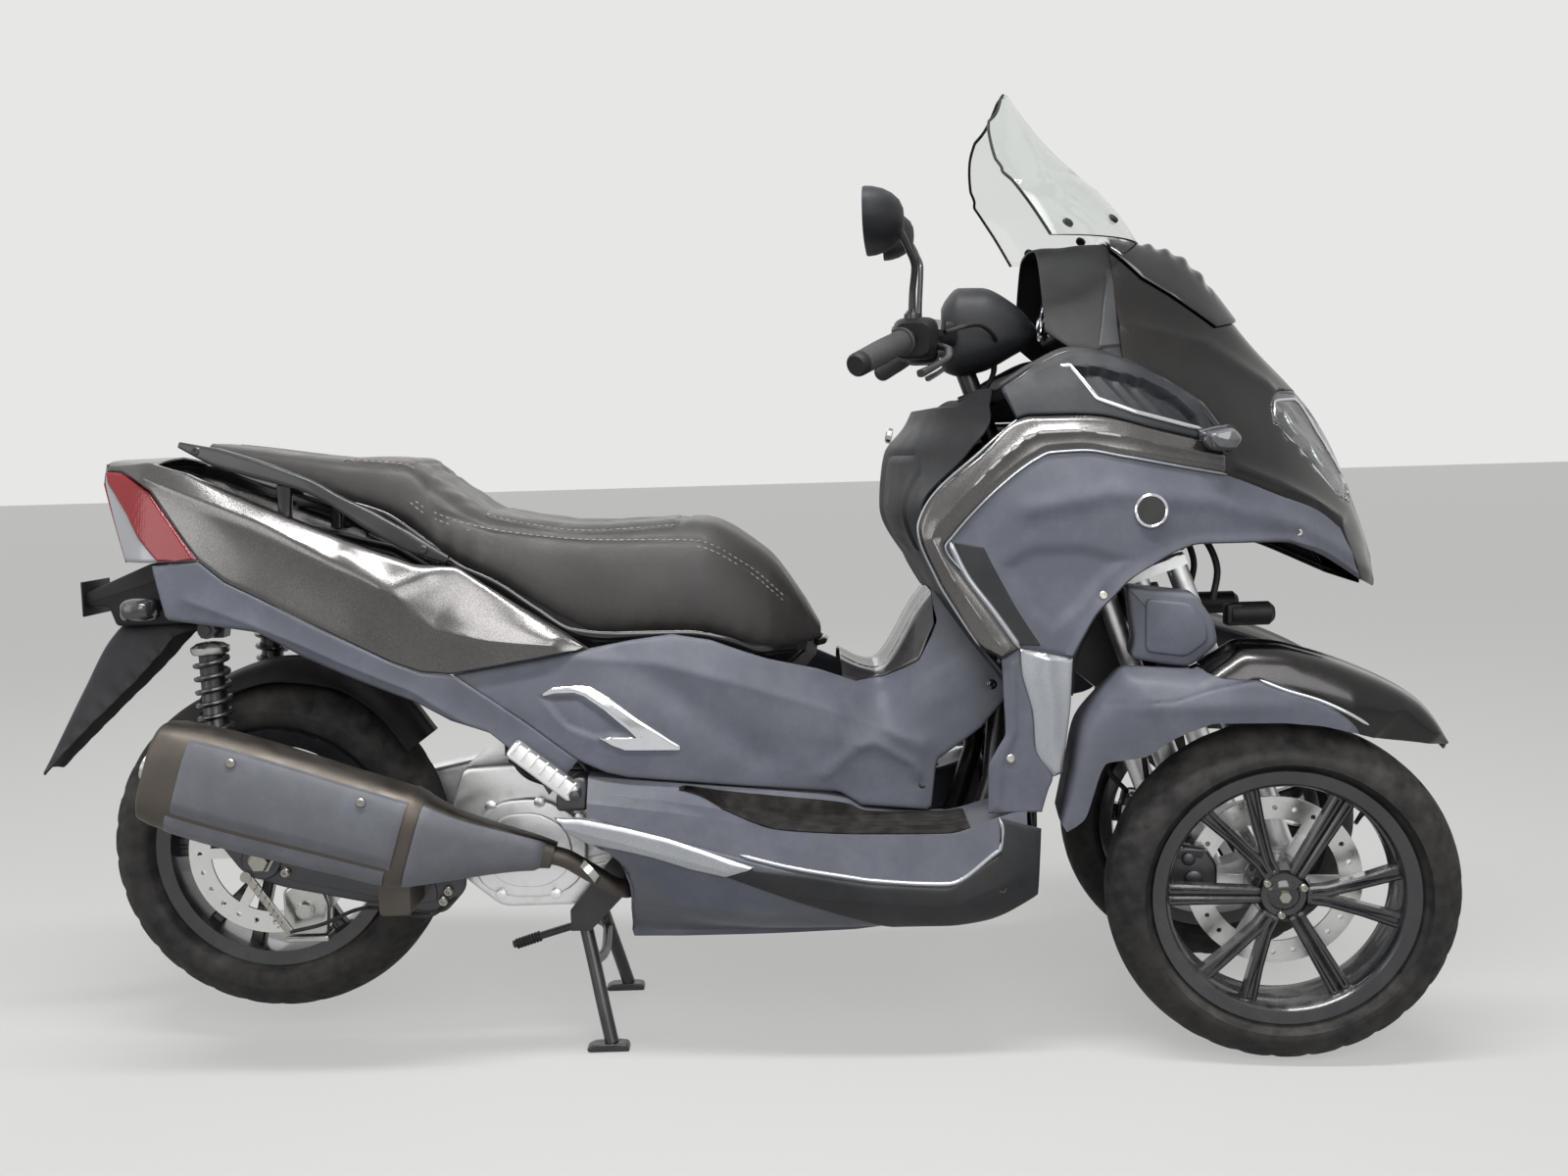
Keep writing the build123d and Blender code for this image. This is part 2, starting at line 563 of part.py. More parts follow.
# Leg shield: the rider's side of the front, bulging back over the glove box
with BuildPart() as leg_shield:
    for z, edge, middle, half in LEG_SHIELD:
        with BuildSketch(Plane.XY.offset(z)):
            with BuildLine():
                rear = ThreePointArc((edge, -half), (middle, 0), (edge, half))
                front = ThreePointArc((edge + WALL, half), (middle + WALL, 0), (edge + WALL, -half))
                Line(rear @ 1, front @ 0)
                Line(front @ 1, rear @ 0)
            make_face()
    loft(ruled=True)
    add(form(FRONT_FORM, WALL + SEAT_GAP), mode=Mode.INTERSECT)
    add(form(TUNNEL_FORM, -SEAT_GAP), mode=Mode.SUBTRACT)
finish("leg_shield", leg_shield.part)
skin("leg_cowls", front_outer, front_inner, [LEG_COWL], 60)

# Radiator shroud behind the front wheels, with a grille of slots
with BuildPart() as radiator_shroud:
    with BuildSketch(Plane.YZ.offset(SHROUD_X)):
        face([(-y, z) for y, z in SHROUD[::-1]] + SHROUD)
        with GridLocations(0, SHROUD_PITCH, 1, SHROUD_SLOTS):
            with Locations((0, SHROUD_SLOT_Z)):
                Rectangle(SHROUD_SLOT_WIDTH, SHROUD_PITCH / 2, mode=Mode.SUBTRACT)
    extrude(amount=WALL + 2)
finish("radiator_shroud", radiator_shroud.part)

# Step boards: floor and sill in one moulding on each side
with BuildPart() as step_boards:
    for x, *top in FLOOR:
        with BuildSketch(Plane.YZ.offset(x)):
            under = [(FLOOR_WALL - y, z - FLOOR_WALL) for y, z in top[-2::-1]]
            face([(-y, z) for y, z in top] + [(FLOOR_WALL - top[-1][0], top[-1][1])] + under)
    loft(ruled=True)
    mirror(about=Plane.XZ)
finish("step_boards", step_boards.part)

skin("belly_pan", belly_outer, belly_inner, [BELLY])
skin("side_panels", tunnel_outer, tunnel_inner, [SIDE_PANEL], TUNNEL_INBOARD)
skin("tunnel_cover", tunnel_outer, tunnel_inner, [TUNNEL_TOP])
skin("tail_cowls", tail_outer, tail_inner, [TAIL_COWL])
skin("rear_side_panels", tail_outer, tail_inner, [REAR_SIDE], 60)
skin("tail_lamps", tail_outer, form(TAIL_FORM, LAMP_DEPTH), [TAIL_LAMP])

# Grab rails each side of the pillion seat, on posts from the frame
with BuildPart() as grab_rails:
    for x, inner, outer, low, high in RAIL:
        with BuildSketch(Plane.YZ.offset(x)):
            face([(-inner, low), (-outer, low), (-outer, high), (-inner, high)])
    loft(ruled=True)
    with Locations(((RAIL_POST[0] + RAIL_POST[1]) / 2, -RAIL_POST_Y, (RAIL_POST[2] + RAIL_POST[3]) / 2)):
        Box(RAIL_POST[1] - RAIL_POST[0], RAIL_POST_WIDTH, RAIL_POST[3] - RAIL_POST[2])
    mirror(about=Plane.XZ)
finish("grab_rails", grab_rails.part)

# Rear mudguard with the plate bracket and the rear turn signals
with BuildPart() as rear_mudguard:
    with BuildSketch(Plane.XZ):
        face(MUDGUARD)
    extrude(amount=MUDGUARD_HALF, both=True)
    with BuildSketch(Plane.XZ):
        face(MUDGUARD_HOLLOW)
    extrude(amount=MUDGUARD_HALF - WALL, both=True, mode=Mode.SUBTRACT)
    with BuildSketch(Plane.XZ):
        face(PLATE_ARM)
    extrude(amount=PLATE_ARM_HALF, both=True)
    with Locations(Plane(origin=PLATE_CENTRE, x_dir=(0, 1, 0), z_dir=(-1, 0, 0))):
        with GridLocations(PLATE_SPACING, 0, 2, 1):
            Hole(PLATE_HOLE_RADIUS, PLATE_HOLE_DEPTH)
finish("rear_mudguard", rear_mudguard.part)

with BuildPart() as rear_signals:
    with BuildSketch(Plane.XZ.offset(PLATE_ARM_HALF)):
        with Locations(REAR_SIGNAL):
            Circle(8)
    extrude(amount=REAR_SIGNAL_REACH)
    with BuildSketch(Plane.XZ.offset(PLATE_ARM_HALF + REAR_SIGNAL_REACH)):
        with Locations(REAR_SIGNAL):
            RectangleRounded(54, 38, 14)
    extrude(amount=REAR_SIGNAL_LENGTH, taper=12)
    mirror(about=Plane.XZ)
finish("rear_signals", rear_signals.part)

# Storage tub under the seat
with BuildPart() as storage_tub:
    with BuildSketch(Plane.XZ):
        face(TUB)
    extrude(amount=TUB_HALF, both=True)
    with BuildSketch(Plane.XZ):
        face(TUB_HOLLOW)
    extrude(amount=TUB_HALF - WALL, both=True, mode=Mode.SUBTRACT)
finish("storage_tub", storage_tub.part)

# Frame
with BuildPart() as frame:
    for side in (-1, 1):
        tube_path([(x, side * y, z) for x, y, z in MAIN_RAIL], RAIL_TUBE)
    for x, z, half in CROSS_TUBES:
        with Locations(Plane(origin=(x, 0, z), z_dir=(0, 1, 0))):
            Cylinder(RAIL_TUBE * 0.8, 2 * half)
    tube_path(HOOP, RAIL_TUBE * 0.8)
    with Locations(lean_plane(head_x, 0, HEAD_PIPE_Z)):
        Cylinder(HEAD_PIPE_RADIUS, HEAD_PIPE_LENGTH)
    with BuildSketch(Plane.XZ):
        face(SPINE)
    extrude(amount=SPINE_HALF, both=True)
    for z in ARM_HEIGHTS:
        with Locations(Plane(origin=(kingpin_x(z), 0, z), z_dir=(LEAN_COS, 0, LEAN_SIN))):
            Cylinder(ARM_PIN_RADIUS, ARM_PIN_LENGTH)
    for edge, near, far in BRACKETS:
        for side in (1, -1):
            with BuildSketch(Plane.XZ.offset(near * side)):
                face(edge)
            extrude(amount=(far - near) * side)
    with Locations(Plane(origin=(STAND_X, 0, STAND_Z), z_dir=(0, 1, 0))):
        Cylinder(STAND_PIN_RADIUS, 2 * STAND_LUG_OUTER)
    for side in (-1, 1):
        with Locations(Plane(origin=(SHOCK_HEAD_X, side * 136, SHOCK_HEAD_Z), z_dir=(0, 1, 0))):
            Cylinder(SHOCK_STUD, 28)
    with Locations(lean_plane(head_x, 0, HEAD_PIPE_Z)):
        Cylinder(HEAD_BORE_RADIUS, HEAD_PIPE_LENGTH * 2, mode=Mode.SUBTRACT)
    for near in (HINGE_HALF + 1, -HINGE_HALF - LUG_THICK - 1):
        with BuildSketch(Plane.XZ.offset(near)):
            face(HINGE_LUG)
        extrude(amount=LUG_THICK)
    with Locations(Plane(origin=(HINGE_X, 0, HINGE_Z), z_dir=(0, 1, 0))):
        Cylinder(HINGE_PIN, 2 * (HINGE_HALF + LUG_THICK + 1))
finish("frame", frame.part)

# Tilt linkage: two cross beams on the spine, with the kingpin posts at their ends
with BuildPart() as tilt_arms:
    for z in ARM_HEIGHTS:
        with BuildSketch(lean_plane(kingpin_x, 0, z).offset(-ARM_HEIGHT / 2)):
            RectangleRounded(ARM_DEPTH, 2 * (KINGPIN_HALF - POST_RADIUS / 2), 4)
        extrude(amount=ARM_HEIGHT)
    for side in (-1, 1):
        with Locations(lean_plane(kingpin_x, side * KINGPIN_HALF, sum(ARM_HEIGHTS) / 2)):
            Cylinder(POST_RADIUS, POST_LENGTH)
            Cylinder(POST_BORE, POST_LENGTH + 2, mode=Mode.SUBTRACT)
    for z in ARM_HEIGHTS:
        with Locations(Plane(origin=(kingpin_x(z), 0, z), z_dir=(LEAN_COS, 0, LEAN_SIN))):
            Cylinder(ARM_PIN_RADIUS + SEAT_GAP, ARM_PIN_LENGTH + 2, mode=Mode.SUBTRACT)
finish("tilt_arms", tilt_arms.part)

# Engine and transmission: one block with the belt case along the left of the rear wheel
with BuildPart() as engine:
    with BuildSketch(Plane.XZ):
        face(ENGINE)
    extrude(amount=ENGINE_HALF, both=True)
    with BuildSketch(Plane.XZ.offset(-BELT_OUTER)):
        face(BELT_CASE)
    extrude(amount=BELT_OUTER - BELT_INNER)
    with BuildSketch(Plane.XZ.offset(-GEAR_OUTER)):
        face(GEAR_CASE)
    extrude(amount=GEAR_OUTER - BELT_INNER)
    with Locations(Plane(origin=(SHOCK_FOOT_X, GEAR_OUTER + 20, SHOCK_FOOT_Z), z_dir=(0, 1, 0))):
        Cylinder(SHOCK_STUD, 40)
finish("engine", engine.part)

# Swing arm on the right, with the rear axle and brake caliper
with BuildPart() as swing_arm:
    with BuildSketch(Plane.XZ.offset(ARM_INNER)):
        face(SWING_ARM)
    extrude(amount=ARM_OUTER - ARM_INNER)
    with Locations(Plane(origin=(REAR_AXLE_X, -(ARM_OUTER + 4) / 2 + BELT_INNER / 2 - SEAT_GAP, REAR_AXLE_Z), z_dir=(0, 1, 0))):
        Cylinder(AXLE_RADIUS, ARM_OUTER + 4 + BELT_INNER - 2 * SEAT_GAP)
    with Locations(Plane(origin=(REAR_AXLE_X, -(REAR_DISC_Y + 8 + ARM_INNER) / 2, REAR_AXLE_Z), z_dir=(0, 1, 0))):
        Cylinder(AXLE_RADIUS + 10, ARM_INNER - REAR_DISC_Y - 8)
    with Locations(Plane(origin=(SHOCK_FOOT_X, -(ARM_OUTER + 20), SHOCK_FOOT_Z), z_dir=(0, 1, 0))):
        Cylinder(SHOCK_STUD, 40)
    with BuildSketch(Plane.XZ.offset(REAR_DISC_Y - 16)):
        face(REAR_CALIPER)
    extrude(amount=ARM_INNER - REAR_DISC_Y + 16)
    with Locations(Plane(origin=(REAR_AXLE_X, -REAR_DISC_Y, REAR_AXLE_Z), z_dir=(0, 1, 0))):
        Cylinder(DISC_RADIUS + 5, DISC_WALL + 6, mode=Mode.SUBTRACT)
        Cylinder(AXLE_RADIUS, DISC_WALL + 8)
finish("swing_arm", swing_arm.part)

# Rear shocks with their coil springs
with BuildPart() as rear_shocks:
    lower = Vector(SHOCK_FOOT_X, -SHOCK_Y, SHOCK_FOOT_Z)
    upper = Vector(SHOCK_HEAD_X, -SHOCK_Y, SHOCK_HEAD_Z)
    along = (upper - lower).normalized()
    length = (upper - lower).length
    with Locations(Plane(origin=(lower + upper) * 0.5, z_dir=along)):
        Cylinder(SHOCK_ROD, length)
    for start, end, radius in SHOCK_BODY:
        with Locations(Plane(origin=lower + along * (start + end) / 2, z_dir=along)):
            Cylinder(radius, end - start)
    for turn in range(SHOCK_TURNS):
        with Locations(Plane(origin=lower + along * (SHOCK_SPRING_START + turn * SHOCK_PITCH), z_dir=along)):
            Torus(SHOCK_COIL, SHOCK_WIRE)
    for point in (lower, upper):
        with Locations(Plane(origin=point, z_dir=(0, 1, 0))):
            Cylinder(SHOCK_EYE, 20)
    for point in (lower, upper):
        with Locations(Plane(origin=point, z_dir=(0, 1, 0))):
            Cylinder(SHOCK_STUD + SEAT_GAP, 24, mode=Mode.SUBTRACT)
    mirror(about=Plane.XZ)
finish("rear_shocks", rear_shocks.part)

# Muffler, its cone and the pipe from the engine
with BuildPart() as muffler:
    for x, y, z, width, height in MUFFLER:
        with BuildSketch(Plane(origin=(x, -y, z), x_dir=(0, 1, 0), z_dir=MUFFLER_ALONG)):
            RectangleRounded(width, height, MUFFLER_CORNER)
    loft(ruled=True)
    for x, y, z, width, height in MUFFLER[-1:]:
        with BuildSketch(Plane(origin=(x, -y, z), x_dir=(0, 1, 0), z_dir=MUFFLER_ALONG)):
            RectangleRounded(width, height, MUFFLER_CORNER)
        with BuildSketch(Plane(origin=(CONE_END[0], -CONE_END[1], CONE_END[2]), x_dir=(0, 1, 0), z_dir=MUFFLER_ALONG)):
            RectangleRounded(2 * PIPE_RADIUS + 8, 2 * PIPE_RADIUS + 8, PIPE_RADIUS)
        loft(ruled=True)
    tube_path([(x, -y, z) for x, y, z in EXHAUST], PIPE_RADIUS)
    with BuildSketch(Plane.XZ.offset(ARM_OUTER + SEAT_GAP)):
        face(MUFFLER_BRACKET)
    extrude(amount=MUFFLER[1][1] - ARM_OUTER - 20)
    with Locations(Plane(origin=(MUFFLER[0][0], -MUFFLER[0][1], MUFFLER[0][2]), z_dir=MUFFLER_ALONG)):
        Cylinder(TAILPIPE_RADIUS, 2 * TAILPIPE_DEPTH, mode=Mode.SUBTRACT)
finish("muffler", muffler.part)

# Folded pillion pegs
with BuildPart() as footpegs:
    with BuildSketch(Plane.XZ.offset(PEG_INNER)):
        face(PEG)
    extrude(amount=PEG_WIDTH)
    with BuildSketch(Plane.XZ.offset(PEG_MOUNT_INNER)):
        face(PEG_MOUNT)
    extrude(amount=PEG_INNER - PEG_MOUNT_INNER)
    mirror(about=Plane.XZ)
finish("footpegs", footpegs.part)

# Centre stand
with BuildPart() as centre_stand:
    with Locations(Plane(origin=(STAND_X, 0, STAND_Z), z_dir=(0, 1, 0))):
        Cylinder(STAND_TUBE, 2 * STAND_INNER)
    for side in (-1, 1):
        tube_path([(x, side * y, z) for x, y, z in STAND_LEG], STAND_LEG_RADIUS)
        with Locations((STAND_FOOT_X, side * STAND_FOOT_Y, STAND_FOOT_HEIGHT / 2)):
            Box(STAND_FOOT_LENGTH, STAND_FOOT_WIDTH, STAND_FOOT_HEIGHT)
    tube_path(STAND_TANG, STAND_TANG_RADIUS)
    with Locations(Plane(origin=(STAND_X, 0, STAND_Z), z_dir=(0, 1, 0))):
        Cylinder(STAND_PIN_RADIUS + SEAT_GAP, 4 * STAND_INNER, mode=Mode.SUBTRACT)
finish("centre_stand", centre_stand.part)

# Seat: a moulded base on a hinge at its nose, and the cushion on it
with BuildPart() as seat_cushion:
    for x, half_top, z_top, half_low, z_low in SEAT:
        with BuildSketch(Plane.YZ.offset(x)):
            face([(-half_low, z_low), (half_low, z_low), (half_low, z_low + (z_top - z_low) * 0.35),
                  (half_top, z_top - (z_top - z_low) * 0.12), (half_top * 0.5, z_top), (-half_top * 0.5, z_top),
                  (-half_top, z_top - (z_top - z_low) * 0.12), (-half_low, z_low + (z_top - z_low) * 0.35)])
    loft(ruled=True)
finish("seat_cushion", seat_cushion.part)

with BuildPart() as seat_base:
    for x, half_top, z_top, half_low, z_low in SEAT[:-1]:
        with BuildSketch(Plane.YZ.offset(x)):
            face([(-half_low + 2, z_low - SEAT_GAP - SEAT_BASE), (half_low - 2, z_low - SEAT_GAP - SEAT_BASE),
                  (half_low - 2, z_low - SEAT_GAP), (-half_low + 2, z_low - SEAT_GAP)])
    loft(ruled=True)
    with Locations(Plane(origin=(HINGE_X, 0, HINGE_Z), z_dir=(0, 1, 0))):
        Cylinder(HINGE_KNUCKLE, 2 * HINGE_HALF)
    with BuildSketch(Plane.XZ):
        face(HINGE_WEB)
    extrude(amount=HINGE_HALF, both=True)
    with Locations(Plane(origin=(HINGE_X, 0, HINGE_Z), z_dir=(0, 1, 0))):
        Cylinder(HINGE_PIN + SEAT_GAP, 4 * HINGE_HALF, mode=Mode.SUBTRACT)
    for side in (-1, 1):
        with Locations(Plane(origin=(HINGE_X, side * (HINGE_HALF + LUG_THICK / 2 + 1), HINGE_Z), z_dir=(0, 1, 0))):
            Cylinder(HINGE_SWEEP, LUG_THICK + 2 - SEAT_GAP, mode=Mode.SUBTRACT)
finish("seat_base", seat_base.part)


# Steered pieces are modelled straight ahead and then turned to the rest angle
def turn_bar(solid):
    return solid.rotate(HEAD_AXIS, STEER_REST)


def turn_wheel(solid, side):
    """Turns a carrier piece about its kingpin and slides it along the pin until the tyre is on the floor."""
    turn = math.radians(STEER_REST)
    along_pin = LEAN_SIN * TRAIL + LEAN_COS * FRONT_AXLE_Z
    centre_z = FRONT_AXLE_Z * math.cos(turn) + LEAN_COS * along_pin * (1 - math.cos(turn))
    centre_z -= math.sin(turn) * LEAN_SIN * side * (TRACK_HALF - KINGPIN_HALF)
    slide = (FRONT_TYRE_RADIUS * math.sqrt(1 - (math.sin(turn) * LEAN_SIN) ** 2) - centre_z) / LEAN_COS
    along = tuple(slide * part for part in LEAN_DIRECTION)
    return solid.rotate(kingpin_axis(side), STEER_REST).moved(Location(along))


with BuildPart() as handlebar:
    with Locations(lean_plane(head_x, 0, (STEM_LOW + STEM_HIGH) / 2)):
        Cylinder(STEM_RADIUS, (STEM_HIGH - STEM_LOW) / LEAN_COS)
    tube_path(BAR + [(x, -y, z) for x, y, z in BAR[::-1]], BAR_RADIUS)
    with Locations(lean_plane(head_x, 0, STEM_HIGH)):
        Box(60, 90, 40)
    for side in (-1, 1):
        with BuildSketch(Plane.XZ.offset(side * SWITCH_INNER)):
            with Locations((SWITCH_X, SWITCH_Z)):
                RectangleRounded(62, 66, 16)
        extrude(amount=side * SWITCH_WIDTH)
        tube_path([(x, side * y, z) for x, y, z in LEVER], LEVER_RADIUS)
finish("handlebar", turn_bar(handlebar.part))

with BuildPart() as bar_cover:
    for x, half, low, high in BAR_COVER:
        with BuildSketch(Plane.YZ.offset(x)):
            with Locations((0, (low + high) / 2)):
                RectangleRounded(2 * half, high - low, min(half, (high - low) / 2) * 0.7)
    loft(ruled=True)
    add(handlebar.part, mode=Mode.SUBTRACT)
finish("bar_cover", turn_bar(bar_cover.part))

with BuildPart() as grips:
    for side in (-1, 1):
        ends = [Vector(x, side * y, z) for x, y, z in (BAR[0], BAR[1])]
        along = (ends[0] - ends[1]).normalized()
        for start, end, radius in GRIP:
            with Locations(Plane(origin=ends[0] - along * (start + end) / 2, z_dir=along)):
                Cylinder(radius, end - start)
    add(handlebar.part, mode=Mode.SUBTRACT)
finish("grips", turn_bar(grips.part))

with BuildPart() as mirrors:
    for side, lift in ((-1, MIRROR_LIFT[0]), (1, MIRROR_LIFT[1])):
        tube_path([(x, side * y, z + (lift if i > 1 else 0)) for i, (x, y, z) in enumerate(MIRROR_STEM)], MIRROR_TUBE)
        with BuildSketch(Plane.YZ.offset(MIRROR_X - MIRROR_DEPTH / 2)):
            with Locations((side * MIRROR_Y, MIRROR_Z + lift)):
                RectangleRounded(MIRROR_WIDTH, MIRROR_HEIGHT, MIRROR_HEIGHT * 0.4)
        extrude(amount=MIRROR_DEPTH, taper=20)
finish("mirrors", turn_bar(mirrors.part))

# Front carriers: twin fork legs inboard of each wheel, with the axle, caliper and covers
for side, name in ((-1, "right"), (1, "left")):
    with BuildPart() as fork:
        for offset in (-FORK_OFFSET, FORK_OFFSET):
            for low, high, radius in FORK_LEG:
                with Locations(lean_plane(kingpin_x, side * KINGPIN_HALF, (low + high) / 2)):
                    with Locations((offset, 0, 0)):
                        Cylinder(radius, (high - low) / LEAN_COS)
        for z in CROWN_HEIGHTS:
            with Locations(lean_plane(kingpin_x, side * KINGPIN_HALF, z)):
                Box(2 * FORK_OFFSET + 2 * FORK_LEG[0][2], 2 * FORK_LEG[0][2], CROWN_THICK)
        with Locations(lean_plane(kingpin_x, side * KINGPIN_HALF, sum(CROWN_HEIGHTS) / 2)):
            Cylinder(KINGPIN_RADIUS, (CROWN_HEIGHTS[0] - CROWN_HEIGHTS[1]) / LEAN_COS)
        for z, offset in FORK_BRACKETS:
            with Locations(lean_plane(kingpin_x, side * (KINGPIN_HALF + COVER_INNER) / 2, z)):
                with Locations((offset, 0, 0)):
                    Box(24, COVER_INNER - KINGPIN_HALF - PANEL_GAP, 30)
        with Locations(lean_plane(kingpin_x, side * KINGPIN_HALF, FRONT_AXLE_Z)):
            Box(2 * FORK_OFFSET + 2 * FORK_LEG[1][2], 2 * FORK_LEG[1][2], AXLE_BLOCK)
        with Locations(Plane(origin=(FRONT_AXLE_X, side * (KINGPIN_HALF + AXLE_END) / 2, FRONT_AXLE_Z), z_dir=(0, 1, 0))):
            Cylinder(AXLE_RADIUS, AXLE_END - KINGPIN_HALF)
        with BuildSketch(Plane.XZ.offset(-side * CALIPER_INNER)):
            face(FRONT_CALIPER)
        extrude(amount=-side * (CALIPER_OUTER - CALIPER_INNER))
        with Locations(Plane(origin=(FRONT_AXLE_X, side * (FRONT_DISC_Y + DISC_WALL / 2), FRONT_AXLE_Z), z_dir=(0, 1, 0))):
            Cylinder(DISC_RADIUS + 5, DISC_WALL + 8, mode=Mode.SUBTRACT)
            Cylinder(AXLE_RADIUS, DISC_WALL + 10)
    finish(f"fork_{name}", turn_wheel(fork.part, side))

    with BuildPart() as fork_cover:
        with BuildSketch(Plane.XZ.offset(-side * COVER_INNER)):
            face(FORK_COVER)
        extrude(amount=-side * (COVER_OUTER - COVER_INNER))
    finish(f"fork_cover_{name}", turn_wheel(fork_cover.part, side))

    with BuildPart() as fender:
        with BuildSketch(Plane.XZ.offset(-side * FENDER_INNER)):
            face(FENDER)
        extrude(amount=-side * (FENDER_OUTER - FENDER_INNER))
        with BuildSketch(Plane.XY.offset(FENDER_PLAN_Z)):
            face([(x, side * (TRACK_HALF + y)) for x, y in FENDER_PLAN])
        extrude(amount=FENDER_PLAN_HEIGHT, mode=Mode.INTERSECT)
        with BuildPart(mode=Mode.SUBTRACT):
            with BuildSketch(Plane.XZ.offset(-side * FENDER_INNER)):
                face(FENDER_HOLLOW)
            extrude(amount=-side * (FENDER_OUTER - FENDER_INNER))
            with BuildSketch(Plane.XY.offset(FENDER_PLAN_Z)):
                face(shrink([(x, side * (TRACK_HALF + y)) for x, y in FENDER_PLAN], WALL))
            extrude(amount=FENDER_PLAN_HEIGHT, mode=Mode.INTERSECT)
    finish(f"fender_{name}", turn_wheel(fender.part, side))


def wheel_tyre(radius, width, rim_width):
    """Tyre with a round crown on its rim."""
    with BuildPart() as tyre:
        with BuildSketch(Plane.XY):
            with BuildLine():
                crown = ThreePointArc((radius - 46, width / 2), (radius, 0), (radius - 46, -width / 2))
                side_low = ThreePointArc(crown @ 1, (FLANGE_RADIUS + 12, 6 - width / 2), (FLANGE_RADIUS, 7 - rim_width / 2))
                bead_low = Line(side_low @ 1, (RIM_RADIUS, 7 - rim_width / 2))
                bottom = Line(bead_low @ 1, (RIM_RADIUS, rim_width / 2 - 7))
                bead_high = Line(bottom @ 1, (FLANGE_RADIUS, rim_width / 2 - 7))
                ThreePointArc(bead_high @ 1, (FLANGE_RADIUS + 12, width / 2 - 6), crown @ 0)
            make_face()
        revolve(axis=Axis.Y)
    return tyre.part


def wheel_rim(rim_width, hub_low, hub_high, spoke_y):
    """Cast rim: barrel with flanges, hub, three forked spokes and three straight ones."""
    with BuildPart() as rim:
        with BuildSketch(Plane.XY):
            face([(RIM_RADIUS - 6, -rim_width / 2), (FLANGE_RADIUS, -rim_width / 2), (FLANGE_RADIUS, 6.5 - rim_width / 2),
                  (RIM_RADIUS - 0.2, 6.5 - rim_width / 2), (RIM_RADIUS - 0.2, rim_width / 2 - 6.5),
                  (FLANGE_RADIUS, rim_width / 2 - 6.5), (FLANGE_RADIUS, rim_width / 2), (RIM_RADIUS - 6, rim_width / 2)])
            face([(AXLE_RADIUS + SEAT_GAP, hub_low), (HUB_RADIUS, hub_low), (HUB_RADIUS, hub_high), (AXLE_RADIUS + SEAT_GAP, hub_high)])
        revolve(axis=Axis.Y)
        for index in range(SPOKE_PAIRS):
            with BuildSketch(Plane.XZ.offset(-spoke_y)):
                with Locations(Rotation(0, 0, index * 360 / SPOKE_PAIRS)):
                    face(SPOKE_FORK)
                    face([(x, -y) for x, y in SPOKE_FORK])
                with Locations(Rotation(0, 0, (index + 0.5) * 360 / SPOKE_PAIRS)):
                    face(SPOKE_PLAIN)
            extrude(amount=SPOKE_THICK)
    return rim.part


def wheel_disc(low):
    """Brake disc on a spider that seats on the hub's face."""
    with BuildPart() as disc:
        with BuildSketch(Plane.XZ.offset(-low)):
            Circle(DISC_RADIUS)
            Circle(DISC_INNER, mode=Mode.SUBTRACT)
            Circle(HUB_RADIUS)
            with PolarLocations(0, DISC_ARMS):
                with Locations((DISC_INNER / 2 + 4, 0)):
                    Rectangle(DISC_INNER, 16)
            Circle(AXLE_RADIUS + 6, mode=Mode.SUBTRACT)
            with PolarLocations((DISC_RADIUS + DISC_INNER) / 2, DISC_HOLES):
                Circle(4, mode=Mode.SUBTRACT)
        extrude(amount=-DISC_WALL)
    return disc.part


front_at = {side: Location((FRONT_AXLE_X, side * TRACK_HALF, FRONT_AXLE_Z)) for side in (-1, 1)}
for side, name in ((-1, "right"), (1, "left")):
    flip = Location((0, 0, 0), (180, 0, 0)) if side < 0 else Location((0, 0, 0))
    tyre = wheel_tyre(FRONT_TYRE_RADIUS, FRONT_TYRE_WIDTH, FRONT_RIM_WIDTH)
    rim = wheel_rim(FRONT_RIM_WIDTH, FRONT_DISC_Y + DISC_WALL - TRACK_HALF, FRONT_HUB_OUTER - TRACK_HALF, FRONT_SPOKE_Y)
    disc = wheel_disc(FRONT_DISC_Y - TRACK_HALF)
    for kind, solid in (("tyre", tyre), ("rim", rim), ("disc", disc)):
        finish(f"front_{kind}_{name}", turn_wheel(solid.moved(front_at[side] * flip), side))

rear_at = Location((REAR_AXLE_X, 0, REAR_AXLE_Z)) * Location((0, 0, 0), (180, 0, 0))
finish("rear_tyre", wheel_tyre(REAR_TYRE_RADIUS, REAR_TYRE_WIDTH, REAR_RIM_WIDTH).moved(rear_at))
finish("rear_rim", wheel_rim(REAR_RIM_WIDTH, -REAR_HUB_LEFT, REAR_DISC_Y - DISC_WALL / 2, SPOKE_THICK / 2).moved(rear_at))
finish("rear_disc", wheel_disc(REAR_DISC_Y - DISC_WALL / 2).moved(rear_at))
